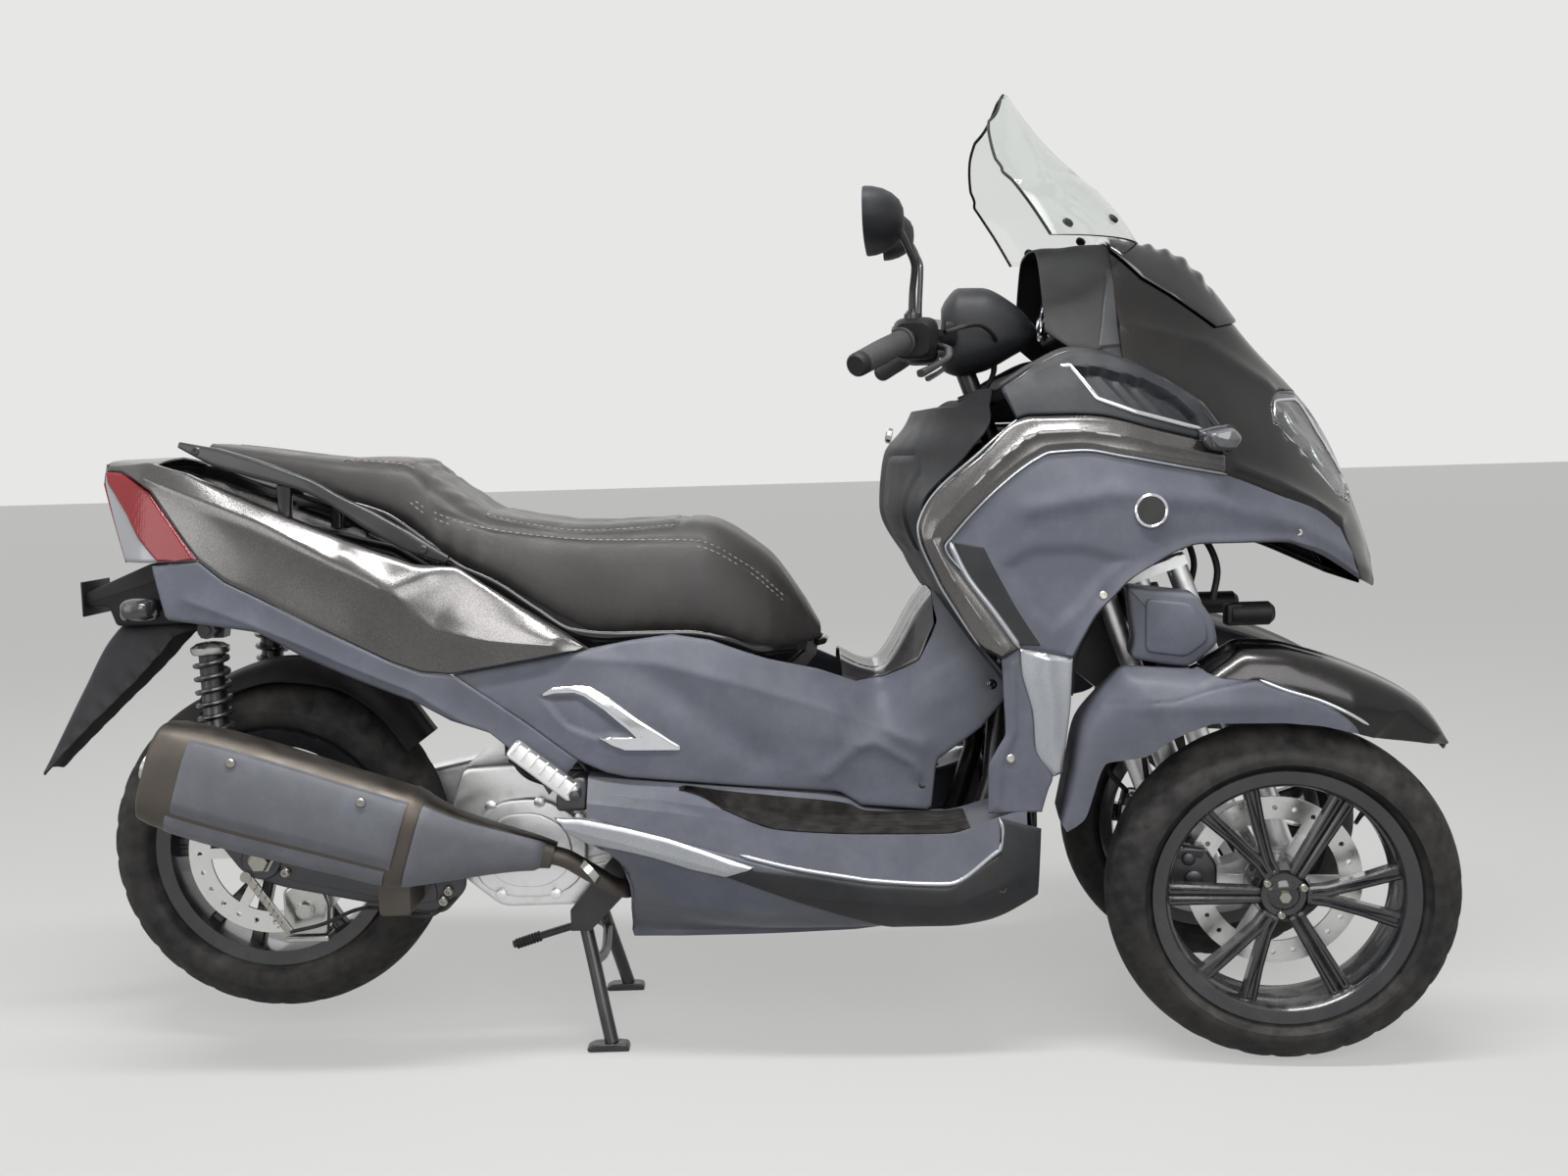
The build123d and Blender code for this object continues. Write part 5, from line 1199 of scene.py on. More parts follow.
class TRIKE_OT_screen(Piece):
    """Windscreen, its dark louvred strip and the meter hood.

    The screen is rows of arcs, one for each height, through a middle and two edges read from a smooth
    curve; a thin dark strip follows its rear edge. The louvres are a sine wave on the strip under it.
    """

    bl_idname = "trike.screen"
    bl_label = "Screen and meter"

    def build(self, values):
        rows = [
            (1257.5, 703, 531, 185), (1302, 674, 504, 178), (1340, 640, 478, 170), (1365, 612, 460, 150),
            (1422, 556, 452, 112), (1461, 527, 461, 62), (1503, 501, 490, 12)]
        shares = np.sin(np.linspace(-1, 1, 61) * np.pi / 2)
        heights = 1257.5 + (1503 - 1257.5) * np.linspace(0, 1, 70) ** 0.9
        sheet = wrapped(rows, heights, shares)
        make(
            "screen_sheet", wall(sheet, (1, 0, 0.3), 3.6), "clear_screen_sheet", "chassis", ["windscreen"])
        edge = np.concatenate([sheet[:, 0], sheet[::-1, -1]])
        make("screen_edge", tube(edge, 2.3, 8, 200), "black_inner_plastic", "chassis")

        low = [(640, 1245), (686, 1198), (731, 1171), (805, 1120), (846, 1128)]

        def louvres(points):
            x, away = points[..., 0], np.abs(points[..., 1])
            wave = 2.6 * np.cos((x + 0.35 * away) * 2 * np.pi / 26)
            return wave * ease((70 - away) / 12) * ease((x - 655) / 12) * ease((812 - x) / 12)

        strip_sheet = crown_panel(
            FRONT, np.linspace(642, 846, 110), low, rows=30, lift=7.0, roll=5.0, relief=louvres,
            thickness=6.5)
        make(
            "screen_louvre_strip", strip_sheet, "gloss_black_plastic", "chassis", ["screen_mount"])
        grommets = [screw((x, y, z), (0.55, y / 260, 0.8), 8.5, 4.0) for x, y, z in (
            (640, -118, 1288), (640, 118, 1288), (560, -166, 1276), (560, 166, 1276))]
        make("screen_screws", join(*grommets), "black_inner_plastic", "chassis")

        brow = [(528, 1120), (560, 1096), (613, 1086), (655, 1066)]
        hood = crown_panel(
            FRONT, np.linspace(528, 655, 60), brow, rows=40, lift=-4.5, roll=5.0, thickness=3.0,
            relief=lambda p: 6.0 * ease((575 - p[..., 0]) / 40) * np.exp(-(np.abs(p[..., 1]) / 95) ** 4))
        make("hood_shell", hood, "black_inner_plastic", "chassis", ["meter_hood"])
        flange = [
            (658, 1212, 627, 1214), (654, 1197, 628, 1196), (644, 1161, 620, 1160), (643, 1130, 614, 1128),
            (642, 1092, 604, 1090)]
        flanges = pair(FRONT, flange, rows=16, columns=40, lift=-1.5, roll=4.0, curved=False)
        make("screen_brackets", flanges, "mid_grained_plastic", "chassis")
        box = slab([(560, 1110), (628, 1105), (622, 1196), (566, 1188)], -84, 84, 8, 10)
        make("meter_case", box, "black_inner_plastic", "chassis")
        face_direction = unit(np.array([-0.99, 0, 0.16]))
        dials = []
        glass = []
        for y, radius in ((-46, 31), (46, 31), (0, 12)):
            centre = np.array([561 + 1.5, y, 1150.0])
            dials.append(
                lathe([(radius, -2), (radius + 4, -2), (radius + 4, 4), (radius + 1, 7), (radius, 4)],
                    centre, face_direction, 48, True))
            glass.append(
                lathe([(0.02, 2.8), (radius * 0.6, 2.4), (radius, 1.2), (radius, -2), (0.02, -2)], centre,
                    face_direction, 48))
        make("meter_bezels", join(*dials), "bright_chrome", "chassis")
        make("meter_faces", join(*glass), "meter_glass", "chassis")


class TRIKE_OT_cockpit(Piece):
    """Leg shield and the deck round the steering stem.

    The shield is rows of arcs that bulge towards the rider; its width follows the front form. The deck is
    a sheet of straight rows from the shield's top edge to the hood, hollowed in the middle where its sides
    climb higher; it rises round the steering stem and is cut open round it.
    """

    bl_idname = "trike.cockpit"
    bl_label = "Rider's side"

    def build(self, values):
        rows = [
            (372, 470, 478, 262), (560, 455, 462, 262), (650, 398, 404, 262), (752, 335, 347, 262),
            (853, 283, 328, 262), (938, 292, 415, 262), (985, 325, 468, 262), (1005, 335, 472, 262)]
        shares = np.linspace(-1, 1, 73)
        heights = np.linspace(372, 1005, 91)
        sheet = wrapped(rows, heights, shares, lambda x, z: form_width(FRONT, x, z) - 5.5)
        y, z = sheet[..., 1], sheet[..., 2]
        lid = [(-185, 790), (-185, 905), (-150, 935), (-45, 935), (-45, 790)]
        other = [(-v, h) for v, h in lid]
        groove = plateau(y, z, lid, 1, 2) + plateau(y, z, other, 1, 2)
        edge_of = lambda line: bell(distance(y, z, line + [line[0]]), 2.6)
        shift = 2.2 * groove - 2.6 * (edge_of(lid) + edge_of(other))
        shift += 4.5 * bell(y, 26) * ease((z - 560) / 60) * ease((980 - z) / 60)
        shift -= 5.0 * np.exp(-(((y + 115) / 40) ** 2 + ((z - 800) / 16) ** 2) ** 2)
        sheet = sheet + normals(sheet, (-1, 0, 0)) * shift[..., None]
        make(
            "leg_shield_shell", wall(sheet, (-1, 0, 0), wall_of()), "dark_grained_plastic", "chassis",
            ["leg_shield"])

        count = 60
        across = np.linspace(-1, 1, 81)
        back = wrapped(rows, [1004.0], across, lambda x, z: form_width(FRONT, x, z) - 5.5)[0]
        front = stacked(604.0, across * 152, 1083.0)
        share = np.linspace(0, 1, count)[:, None, None]
        deck = back[None] * (1 - share) + front[None] * share
        climb = np.interp(deck[..., 0], [330, 450, 520, 560, 604], [1004, 1016, 1032, 1060, 1083])
        side_climb = np.interp(deck[..., 0], [440, 495, 563, 604], [1030, 1062, 1086, 1083])
        outward = ease((np.abs(across) - 0.72) / 0.28)[None]
        deck[..., 2] = climb * (1 - outward) + np.maximum(side_climb, climb) * outward
        deck[0, :, 2] = 1004
        head_x = HEAD_FOOT[0] - deck[..., 2] * math.tan(CASTER)
        reach = np.hypot(deck[..., 0] - head_x, deck[..., 1])
        deck[..., 2] += 7 * bell(reach, 42)
        points, faces = wall(deck, (0, 0, 1), wall_of())
        keep = []
        for face in faces:
            middle = points[face].mean(1)
            keep.append(
                face[
                    np.hypot(middle[:, 0] - (HEAD_FOOT[0] - middle[:, 2] * math.tan(CASTER)),
                        middle[:, 1]) > 25])
        make("cockpit_deck", (points, keep), "dark_grained_plastic", "chassis")
        foot = HEAD_FOOT + LEAN * (1008 / math.cos(CASTER))
        fold = [(27.5 + 2.2 * math.cos(t * 2.1), t * 3.0 - 4) for t in range(12)]
        back_fold = [(radius - 3.0, rise) for radius, rise in fold[::-1]]
        make("stem_collar", lathe(fold + back_fold, foot, LEAN, 48, closed=True), "grip_rubber", "chassis")
        lock = lathe(
            [(0.02, 6), (10, 6), (13, 3), (13, -4), (0.02, -4)], (305.0, 96.0, 968.0), (-0.92, 0.15, 0.2),
            32)
        make("shield_lock", lock, "turned_aluminium", "chassis")


class TRIKE_OT_middle(Piece):
    """Side panels, tunnel cover, step boards with mats, sill lines and the belly pan."""

    bl_idname = "trike.middle"
    bl_label = "Floor and side panels"

    def build(self, values):
        side = [
            (-389, 623, -388, 621), (-275, 641, -275, 543), (-180, 656, -203, 487), (-120, 666, -161, 466),
            (-57, 673, -130, 458), (2, 662, -41, 447), (87, 629, 78, 432), (169, 606, 195, 417),
            (228, 582, 229, 393), (271, 586, 337, 382), (300, 600, 347, 459), (325, 614, 417, 511),
            (345, 650, 463, 565), (356, 674, 455, 589), (344, 741, 402, 683), (350, 745, 352, 744)]
        accent = [(-256, 586), (-198, 586), (-118, 524), (-172, 519), (-220, 538)]

        screw_places = ((434, 578), (325, 424))

        def side_relief(x, z):
            upper = crest(x, z, [(-200, 640), (-88, 630), (30, 598), (154, 554), (324, 485)], 26, 9.0)
            valley = ridge(x, z, [(-140, 640), (-70, 600), (10, 530), (70, 480)], 26, 5.0)
            hump = crest(x, z, [(172, 445), (221, 484), (250, 491), (313, 455), (330, 424)], 9, 5.0)
            front = ridge(x, z, [(178, 590), (258, 580), (327, 598), (400, 640)], 16, 4.0)
            wells = sum(-3.5 * np.exp(-((x - a) ** 2 + (z - b) ** 2) / 90) for a, b in screw_places)
            return upper + hump + wells - valley - front - plateau(x, z, accent, 4.0, 4)

        panels = pair(TUNNEL, side, rows=42, columns=130, relief=side_relief, curved=False)
        make("side_panel_shells", panels, "grained_plastic", "chassis", ["side_panels"])
        blade = [
            (-256, 590, -254, 585), (-240, 600, -236, 589), (-205, 602, -205, 589), (-181, 600, -190, 583),
            (-150, 580, -160, 561), (-110, 549, -124, 528), (-76, 525, -114, 517), (-60, 513, -172, 520),
            (-46, 504, -152, 508), (-47, 496, -130, 499)]
        blades = pair(TUNNEL, blade, rows=18, columns=90, lift=3.5, roll=6.0, curved=False)
        make("side_accents", blades, "bright_chrome", "chassis")
        bolts = [
            screw((x, -form_width(TUNNEL, x, z) + 2.0, z), (0, -1, 0.15), 8, 3) for x, z in screw_places]
        bolts.append(screw((431, -form_width(BELLY, 431.0, 284.0) - 2.5, 284), (0, -1, 0), 7, 3))
        make("side_panel_screws", both_sides(join(*bolts)), "gloss_black_plastic", "chassis")

        low = [(206, 590.9), (228, 582), (271, 586), (325, 614), (352, 668)]
        cover = crown_panel(
            TUNNEL, np.linspace(206, 352, 50), low, rows=44, lift=0.5, roll=5.0, thickness=wall_of(),
            relief=lambda p: 3.0 * bell(p[..., 1], 34) - 1.8 * bell(np.abs(p[..., 1]) - 62, 2.5))
        make("tunnel_shell", cover, "piano_black_panel", "chassis", ["tunnel_cover"])

        floor_table = [
            (-190, (177, 462), (206, 460), (222, 440), (236, 425), (240, 405)),
            (-44, (150, 444), (200, 443), (214, 415), (246, 406), (252, 364)),
            (120, (150, 423), (186, 422), (200, 384), (252, 375), (262, 318)),
            (205, (150, 407), (178, 406), (188, 376), (255, 369), (265, 302)),
            (235, (150, 388), (172, 387), (182, 375), (256, 368), (266, 297)),
            (350, (150, 378), (168, 377), (175, 374), (258, 366), (268, 289)),
            (428, (150, 395), (170, 394), (178, 393), (261, 391), (268, 338)),
            (470, (150, 410), (172, 408), (182, 407), (261, 404), (266, 360))]
        x_places = np.linspace(-190, 470, 101)
        table = np.array([row[1:] for row in floor_table], float)
        sections = read([row[0] for row in floor_table], table, x_places)
        share = np.linspace(0, 4, 37)
        index = np.minimum(share.astype(int), 3)
        part = (share - index)[:, None]
        part = np.where(part < 0.5, 0.5 * (2 * part) ** 1.6, 1 - 0.5 * (2 - 2 * part) ** 1.6)
        lines = np.swapaxes(sections[:, index] * (1 - part) + sections[:, index + 1] * part, 0, 1)
        floor = np.concatenate([np.broadcast_to(x_places, lines.shape[:2])[..., None], lines * (-1, 1)], -1)
        boards = both_sides(wall(floor, (0, -0.2, 1), 4.0))
        make("step_board_shells", boards, "grained_plastic", "chassis", ["step_boards"])

        mat_x = np.linspace(-52, 386, 80)
        centre = read([row[0] for row in floor_table], table, mat_x)
        across = np.linspace(0, 1, 29)[:, None]
        reach = 0.12 + 0.86 * ease((mat_x + 52) / 150)
        place = 0.25 + across * (1.75 * reach[None] - 0.02)
        index = np.minimum(place.astype(int), 1)
        part = (place - index)[..., None]
        own = np.broadcast_to(np.arange(len(mat_x)), place.shape)
        line = centre[own, index + 1] * (1 - part) + centre[own, index + 2] * part
        rim = (
            ease(np.minimum(across, 1 - across) / 0.08)
            * ease(np.minimum(mat_x + 52, 386 - mat_x)[None] / 8))
        ribs = 1.3 * np.sign(np.sin(across * 44)) * rim
        sheet = np.concatenate([np.broadcast_to(mat_x, line.shape[:2])[..., None], line * (-1, 1)], -1)
        sheet[..., 2] += 2.2 + 3.0 * rim + ribs
        mat = both_sides(wall(sheet, (0, -0.2, 1), 2.5))
        make("floor_mats", mat, "floor_mat_rubber", "chassis", ())

        sill_x = np.linspace(40, 428, 120)
        sill = read([row[0] for row in floor_table], table, sill_x)[:, 4]
        sill_path = stacked(sill_x, -sill[:, 0] - 0.5, sill[:, 1] + 5)
        sill_path = np.concatenate(
            [sill_path, along([(432, -267, 356), (433, -266, 374), (428, -265, 392)], 12)])
        make("sill_lines", both_sides(strip(sill_path, 7, 3.5)), "satin_silver_paint", "chassis")
        silver = [
            (-240, 405, -222, 382), (-200, 403, -190, 362), (-130, 388, -140, 351), (-66, 371, -90, 338),
            (0, 348, -39, 322), (40, 333, 14, 310), (60, 326, 54, 322)]
        spears = pair(
            BELLY, silver, rows=18, columns=80, lift=3.5, roll=5.0, curved=False,
            relief=lambda x, z: crest(x, z, [(-240, 396), (-140, 368), (20, 322)], 14, 5.0))
        make("sill_spears", spears, "satin_silver_paint", "chassis", ())
        dark = [
            (58, 323, 14, 312), (80, 321, 80, 286), (140, 313, 140, 262), (205, 301, 212, 234),
            (235, 296, 270, 212), (350, 288, 350, 215), (428, 337, 415, 223), (430, 391, 450, 245),
            (491, 372, 487, 269)]
        sills = pair(
            BELLY, dark, rows=22, columns=90, lift=2.6, roll=4.0, curved=False,
            relief=lambda x, z: crest(x, z, [(120, 280), (350, 258), (452, 300)], 16, 4.0))
        make("sill_shells", sills, "dark_grained_plastic", "chassis", ())

        belly = [
            (-236, 402, -188, 372), (-190, 404, -136, 323), (-150, 393, -126, 286), (-100, 379, -139, 182),
            (-44, 363, -60, 182), (120, 317, 100, 187), (205, 301, 216, 191), (235, 296, 260, 196),
            (350, 288, 350, 208), (428, 337, 415, 216), (430, 391, 450, 240), (492, 372, 488, 266)]
        hull = pair(
            BELLY, belly, rows=26, columns=100, roll=4.0, curved=False,
            relief=lambda x, z: crest(x, z, [(-120, 262), (0, 250), (140, 236)], 14, 4.0))
        keel_x = np.linspace(-136, 486, 90)
        keel_z = np.interp(keel_x, [-139, 216, 415, 488], [185, 193, 218, 268])
        width = form_width(BELLY, keel_x, keel_z + 4) - 2
        shares = np.linspace(-1, 1, 31)[:, None]
        keel = stacked(keel_x, shares * width, keel_z + 3)
        keel[..., 2] -= 2.0 * np.cos(shares * 12) ** 8
        make(
            "belly_shell", join(hull, wall(keel, (0, 0, -1), 3.0)), "grained_plastic", "chassis",
            ["belly_pan"])


class TRIKE_OT_tail(Piece):
    """Tail cowls, rear side panels, tail lamp, grab rails, mudguard, plate bracket and rear signals."""

    bl_idname = "trike.tail"
    bl_label = "Tail"

    def build(self, values):
        tail = [
            (-956, 958, -956, 945), (-905, 956, -921, 941), (-860, 955, -890, 925), (-800, 938, -863, 909),
            (-740, 912, -783, 802), (-665, 880, -743, 769), (-590, 850, -597, 699), (-518, 821, -540, 673),
            (-441, 793, -479, 643), (-376, 787, -436, 627), (-280, 722, -390, 623), (-180, 656, -200, 652)]
        crease = [
            (-870, 930), (-848, 921), (-679, 855), (-566, 797), (-470, 748), (-409, 694), (-340, 676),
            (-240, 662)]
        spur = [(-545, 806), (-473, 751), (-420, 773)]
        cowls = pair(
            TAIL, tail, rows=32, columns=130, curved=False, roll=5.0,
            relief=lambda x, z: crest(x, z, crease, 34, 13.0) + ridge(x, z, spur, 12, 2.5))
        back_x = np.linspace(-955, -856, 40)
        deck = crown_panel(TAIL, back_x, [(-956, 952), (-856, 950)], rows=40, roll=3.0, thickness=wall_of())
        heights = np.linspace(925, 956, 14)
        half = form_width(TAIL, -955.0, np.minimum(heights, 952))
        shares = np.linspace(-1, 1, 41)
        back = stacked(-955 - 6 * (1 - shares[None] ** 2), shares[None] * half[:, None], heights[:, None])
        make(
            "tail_shell", join(cowls, deck, wall(back, (-1, 0, 0), 2.5)), "gunmetal_paint", "chassis",
            ["tail_cowls"])
        flank = [
            (-831, 799, -860, 797), (-783, 802, -838, 714), (-743, 769, -695, 691), (-597, 699, -623, 653),
            (-520, 664, -518, 610), (-479, 643, -447, 582), (-436, 627, -394, 552), (-390, 623, -336, 532),
            (-275, 543, -275, 479), (-203, 487, -250, 434)]
        flanks = pair(
            TAIL, flank, rows=26, columns=130, curved=False,
            relief=lambda x, z: crest(x, z, [(-800, 742), (-620, 672), (-450, 600), (-300, 500)], 16, 5.0))
        make("rear_side_shells", flanks, "grained_plastic", "chassis", ["rear_side_panels"])
        lamp = [
            (-955, 943, -954, 928), (-921, 940, -931, 864), (-890, 924, -908, 803), (-863, 908, -880, 802),
            (-820, 852, -832, 802), (-785, 804, -787, 803)]
        side_lens = pair(TAIL, lamp, rows=24, columns=60, lift=0.6, roll=5.0, curved=False, thickness=3.0)
        red = [
            (-954, 944, -946, 926), (-921, 941, -928, 905), (-890, 925, -906, 878), (-863, 909, -882, 840),
            (-820, 853, -848, 803), (-785, 804, -820, 803)]
        red_lens = pair(TAIL, red, rows=18, columns=60, lift=3.4, roll=4.0, curved=False, thickness=3.0)
        heights = np.linspace(802, 925, 30)
        x_back = np.interp(heights, [800, 925], [-907, -956])
        half = form_width(TAIL, x_back, heights) - 1.0
        back = stacked(
            x_back[:, None] - 7 * (1 - shares[None] ** 2), shares[None] * half[:, None], heights[:, None])
        make("tail_lamp_case", side_lens, "pale_lamp_lens", "chassis")
        red_parts = join(red_lens, wall(back, (-1, 0, 0), 3.0))
        make("tail_lens", red_parts, "red_lamp_lens", "chassis", ["tail_lamps"])

        rail = [
            (-819, 103, 982), (-770, 117, 965), (-717, 131, 949), (-650, 144, 928), (-603, 152, 911),
            (-548, 159, 879), (-443, 174, 819), (-395, 177, 795)]
        grab = bar(
            [(x, -y, z) for x, y, z in rail], [10, 30, 30, 24, 20, 30, 30, 14],
            [13, 17, 18, 18, 17, 17, 16, 12], 24, 0.55, (0, -1, 0), 90)
        post = bar(
            [(-652, -137, 838), (-650, -138, 880), (-648, -142, 915)], [22, 20, 24], [20, 16, 14], 20, 0.55,
            (0, -1, 0), 20)
        caps = [
            screw((x, -y - 9, z), (0, -1, 0.1), 7, 3) for x, y, z in ((-790, 110, 972), (-430, 175, 812))]
        make(
            "grab_rail_bars", both_sides(join(grab, post, *caps)), "satin_black_frame_paint", "chassis",
            ["grab_rails"])

        outer = along(
            [(-838, 698), (-903, 704), (-960, 697), (-990, 672), (-1041, 588), (-1084, 510), (-1112, 458)],
            70)
        inner = along(
            [(-838, 690), (-868, 678), (-900, 646), (-934, 612), (-1000, 552), (-1056, 500), (-1106, 452)],
            70)
        shares = np.linspace(-1, 1, 33)
        lean = np.abs(shares)[None, :, None] ** 2.6
        flat = outer[:, None] * (1 - lean) + inner[:, None] * lean
        width = np.interp(np.linspace(0, 1, 70), [0, 0.7, 1], [46, 44, 34])
        sheet = stacked(flat[..., 0], shares * width[:, None], flat[..., 1])
        sheet[..., 2] += 3.0 * bell(shares, 0.18)
        slots = (
            np.sign(np.sin(np.linspace(0, 1, 70) * 60))[:, None]
            * ease((np.abs(shares) - 0.86) / 0.06)[None])
        sheet[..., 1] += 1.8 * slots * np.sign(shares)[None]
        make(
            "mudguard_flap", wall(sheet, (-0.5, 0, 0.6), 3.4), "dark_grained_plastic", "chassis",
            ["rear_mudguard"])
        arm = slab(
            [(-1016, 749), (-1016, 727), (-978, 724), (-968, 694), (-838, 694), (-830, 714), (-830, 790),
                (-905, 795)], -40, 40, 6, 6)
        plate = slab([(-1016, 712), (-1013, 712), (-1013, 768), (-1016, 768)], -50, 50, 1.2, 0)
        ridges = [
            slab(
                [(-990 + 22 * k, 745 + 6 * k), (-984 + 22 * k, 747 + 6 * k), (-984 + 22 * k, 755 + 6 * k),
                    (-990 + 22 * k, 753 + 6 * k)], -34, 34, 1.2, 0) for k in range(4)]
        make("plate_carrier", join(arm, plate, *ridges), "black_inner_plastic", "chassis")
        stem = lathe([(0.02, 0), (9, 0), (8, 30), (8, 58), (0.02, 58)], (-892, -42, 727), (0, -1, 0), 24)
        make("signal_stems", both_sides(stem), "hose_rubber", "chassis")
        outline = soften(
            [(-919, 712), (-919, 742), (-900, 747), (-868, 744), (-865, 727), (-868, 710), (-900, 707)], 12,
            6)
        middle = outline.mean(0)
        layers = [np.insert(middle + (outline - middle) * size, 1, -out, axis=1) for out, size in (
            (97, 0.02), (97.5, 0.6), (100, 0.9), (106, 1.0), (128, 0.97), (141, 0.85), (148, 0.6),
            (150, 0.3), (150.2, 0.02))]
        make(
            "rear_signal_pods", both_sides(grid(np.stack(layers), False, True)), "dark_lamp_lens",
            "chassis", ["rear_signals"])


SEAT_ROWS = [
    (-785, 75, 985, 80, 965), (-700, 100, 975, 108, 930), (-560, 125, 956, 132, 890),
    (-470, 128, 950, 140, 855), (-410, 135, 908, 148, 800), (-330, 140, 860, 156, 760),
    (-180, 146, 844, 160, 675), (-20, 136, 846, 152, 672), (90, 95, 790, 118, 640), (150, 60, 710, 70, 642),
    (178, 35, 660, 38, 644),
]


def seat_point(x, turn):
    """(y, z) on the cushion: a rounded section between the read top and bottom; turn 0 is the top."""
    table = np.array(SEAT_ROWS, float)
    half_top, top, half_low, low = (read(table[:, 0], table[:, k], x) for k in (1, 2, 3, 4))
    side = np.cos(turn)
    up = np.abs(side) ** 0.42 * np.sign(side)
    across = np.abs(np.sin(turn)) ** 0.62 * np.sign(np.sin(turn))
    mid = low + (top - low) * 0.42
    z = np.where(side >= 0, mid + (top - mid) * up, mid + (mid - low) * np.maximum(up * 1.4, -1))
    half = np.interp((z - low) / np.maximum(top - low, 1), [0, 0.35, 0.9, 1], [0, 0, 1, 1])
    half = half_low + (half_top - half_low) * half
    return across * half, z


class TRIKE_OT_seat(Piece):
    """Two-level seat: cushion, paler insert, seams, stitches and the hard rim under it.

    Each cross-section is a rounded box between the read widths and heights of the cushion. Hollows where
    riders sit are broad dips, seams are narrow grooves with the cover swelling on each side, and creases
    are slanted sine waves.
    """

    bl_idname = "trike.seat"
    bl_label = "Seat"

    def build(self, values):
        soft = values.seat_softness * 1000
        x_places = np.concatenate(
            [np.linspace(-783, 120, 180), 120 + 56 * np.sin(np.linspace(0.03, 1, 22) * np.pi / 2)])
        turn = np.linspace(-np.pi, np.pi, 105)[:-1]
        y, z = seat_point(x_places[:, None], turn[None])
        points = stacked(x_places[:, None], y, z)
        outward = normals(points, (0, 0, 0.001))
        centre = stacked(x_places, 0.0, (z.max(1) + z.min(1)) / 2)[:, None]
        outward = outward * np.sign(((points - centre) * outward).sum(-1, keepdims=True) + 1e-9)
        top = np.clip(np.cos(turn), 0, 1)[None] ** 0.5
        x = points[..., 0]
        away = np.abs(points[..., 1])

        def sat_on(x, away):
            saddle = bell(x + 165, 120) * np.exp(-(away / 95) ** 4)
            pillion = 0.55 * bell(x + 640, 90) * np.exp(-(away / 80) ** 4)
            swell = 4 * bell(away - 92, 26) * bell(x + 180, 210)
            return swell - soft * (saddle + pillion)

        seam_line = [(-470, 905), (-430, 872), (-330, 838), (-180, 818), (-20, 812), (60, 770), (120, 715)]
        seam = bell(distance(x, points[..., 2], seam_line), 3.2) * (away > 60)
        cross = bell(x + 442 - 0.10 * away, 4.5) + bell(x + 22 + 0.2 * away, 3.2) * (away < 110)
        puff = 2.6 * (1 - bell(distance(x, points[..., 2], seam_line), 26)) * (away > 60)
        folds = (
            np.sin((x + 0.8 * away + 14 * np.sin(x / 60)) / 7.5) * bell(x + 400, 46)
            * ease((away - 40) / 60))
        pull = (
            np.sin((x - 0.4 * points[..., 2]) / 6.0) * bell(points[..., 2] - seat_low(x), 26) * (away > 70))
        shift = (
            sat_on(x, away) * top - 3.4 * seam - 3.2 * cross * top + puff * 0.6 + 0.9 * folds + 0.55 * pull)
        cushion = grid(points + outward * shift[..., None], False, True)
        ends = []
        for row in (0, len(x_places) - 1):
            ring = np.arange(len(turn)) + row * len(turn)
            ends.append(ring[None, ::-1] if row else ring[None])
        cushion = (cushion[0], cushion[1] + ends)
        made = make("seat_cover", cushion, "seat_vinyl", "seat", ["seat_cushion"], 60)

        edges = []
        for name, first, last, reach, finish in (
                ("saddle_pad", -352, -44, 0.92, "seat_vinyl"),
                ("pillion_pad", -572, -449, 0.98, "seat_insert_vinyl")):
            pad_x = np.linspace(first, last, 90)
            shares = np.linspace(-1, 1, 51)
            y, z = seat_point(
                pad_x[None], shares[:, None]
                * (reach - 0.10 * ((pad_x + 190) / 160) ** 2 * (reach < 0.95))[None])
            pad = stacked(pad_x[None], y, z)
            edge = np.minimum(
                (1 - np.abs(shares))[:, None] * 110, np.minimum(pad_x - first, last - pad_x)[None])
            quilts = 1.1 * np.abs(np.sin(pad[..., 0] / 34 * np.pi / 2 + np.abs(y) / 90)) * ease(edge / 20)
            lift = 4.5 * ease(edge / 12) - 1.8 + sat_on(pad[..., 0], np.abs(y)) + quilts
            pad = pad + normals(pad, (0, 0, 1)) * lift[..., None]
            edges.append(pad[[2, -3]])
            cover = make(name, wall(pad, (0, 0, 1), 5.0), finish, "seat", (), 60)

        seams = []
        line = along([(a, b) for a, b in seam_line], 300)
        low = seat_side(line)
        seams.append(dashes(low, values.stitch_length * 1000, 0.75))
        lower = along([(a, b - 9) for a, b in seam_line], 300)
        seams.append(dashes(seat_side(lower), values.stitch_length * 1000, 0.75))
        stitches = join(both_sides(join(*seams)), *[
            dashes(row + (0, 0, 1.0), values.stitch_length * 1000, 0.7) for pair_of in edges
            for row in pair_of])
        make("seat_stitches", stitches, "pale_thread", "seat")
        rim_x = np.linspace(-786, 168, 200)
        table = np.array(SEAT_ROWS, float)
        low = read(table[:, 0], table[:, 4], rim_x)
        half = read(table[:, 0], table[:, 3], rim_x)
        path = stacked(rim_x, -half - 0.5, low - 5)
        rim = bar(path[::12], [13, 13], [5, 5], 12, 0.7, (0, -1, 0), 140)
        nose = tube(
            [(168, -44, 636), (180, -30, 637), (184, 0, 638), (180, 30, 637), (168, 44, 636)], 6, 10, 40)
        make("seat_rim_strip", join(both_sides(rim), nose), "gloss_black_plastic", "seat")


def seat_low(x):
    table = np.array(SEAT_ROWS, float)
    return read(table[:, 0], table[:, 4], np.clip(x, -785, 178))


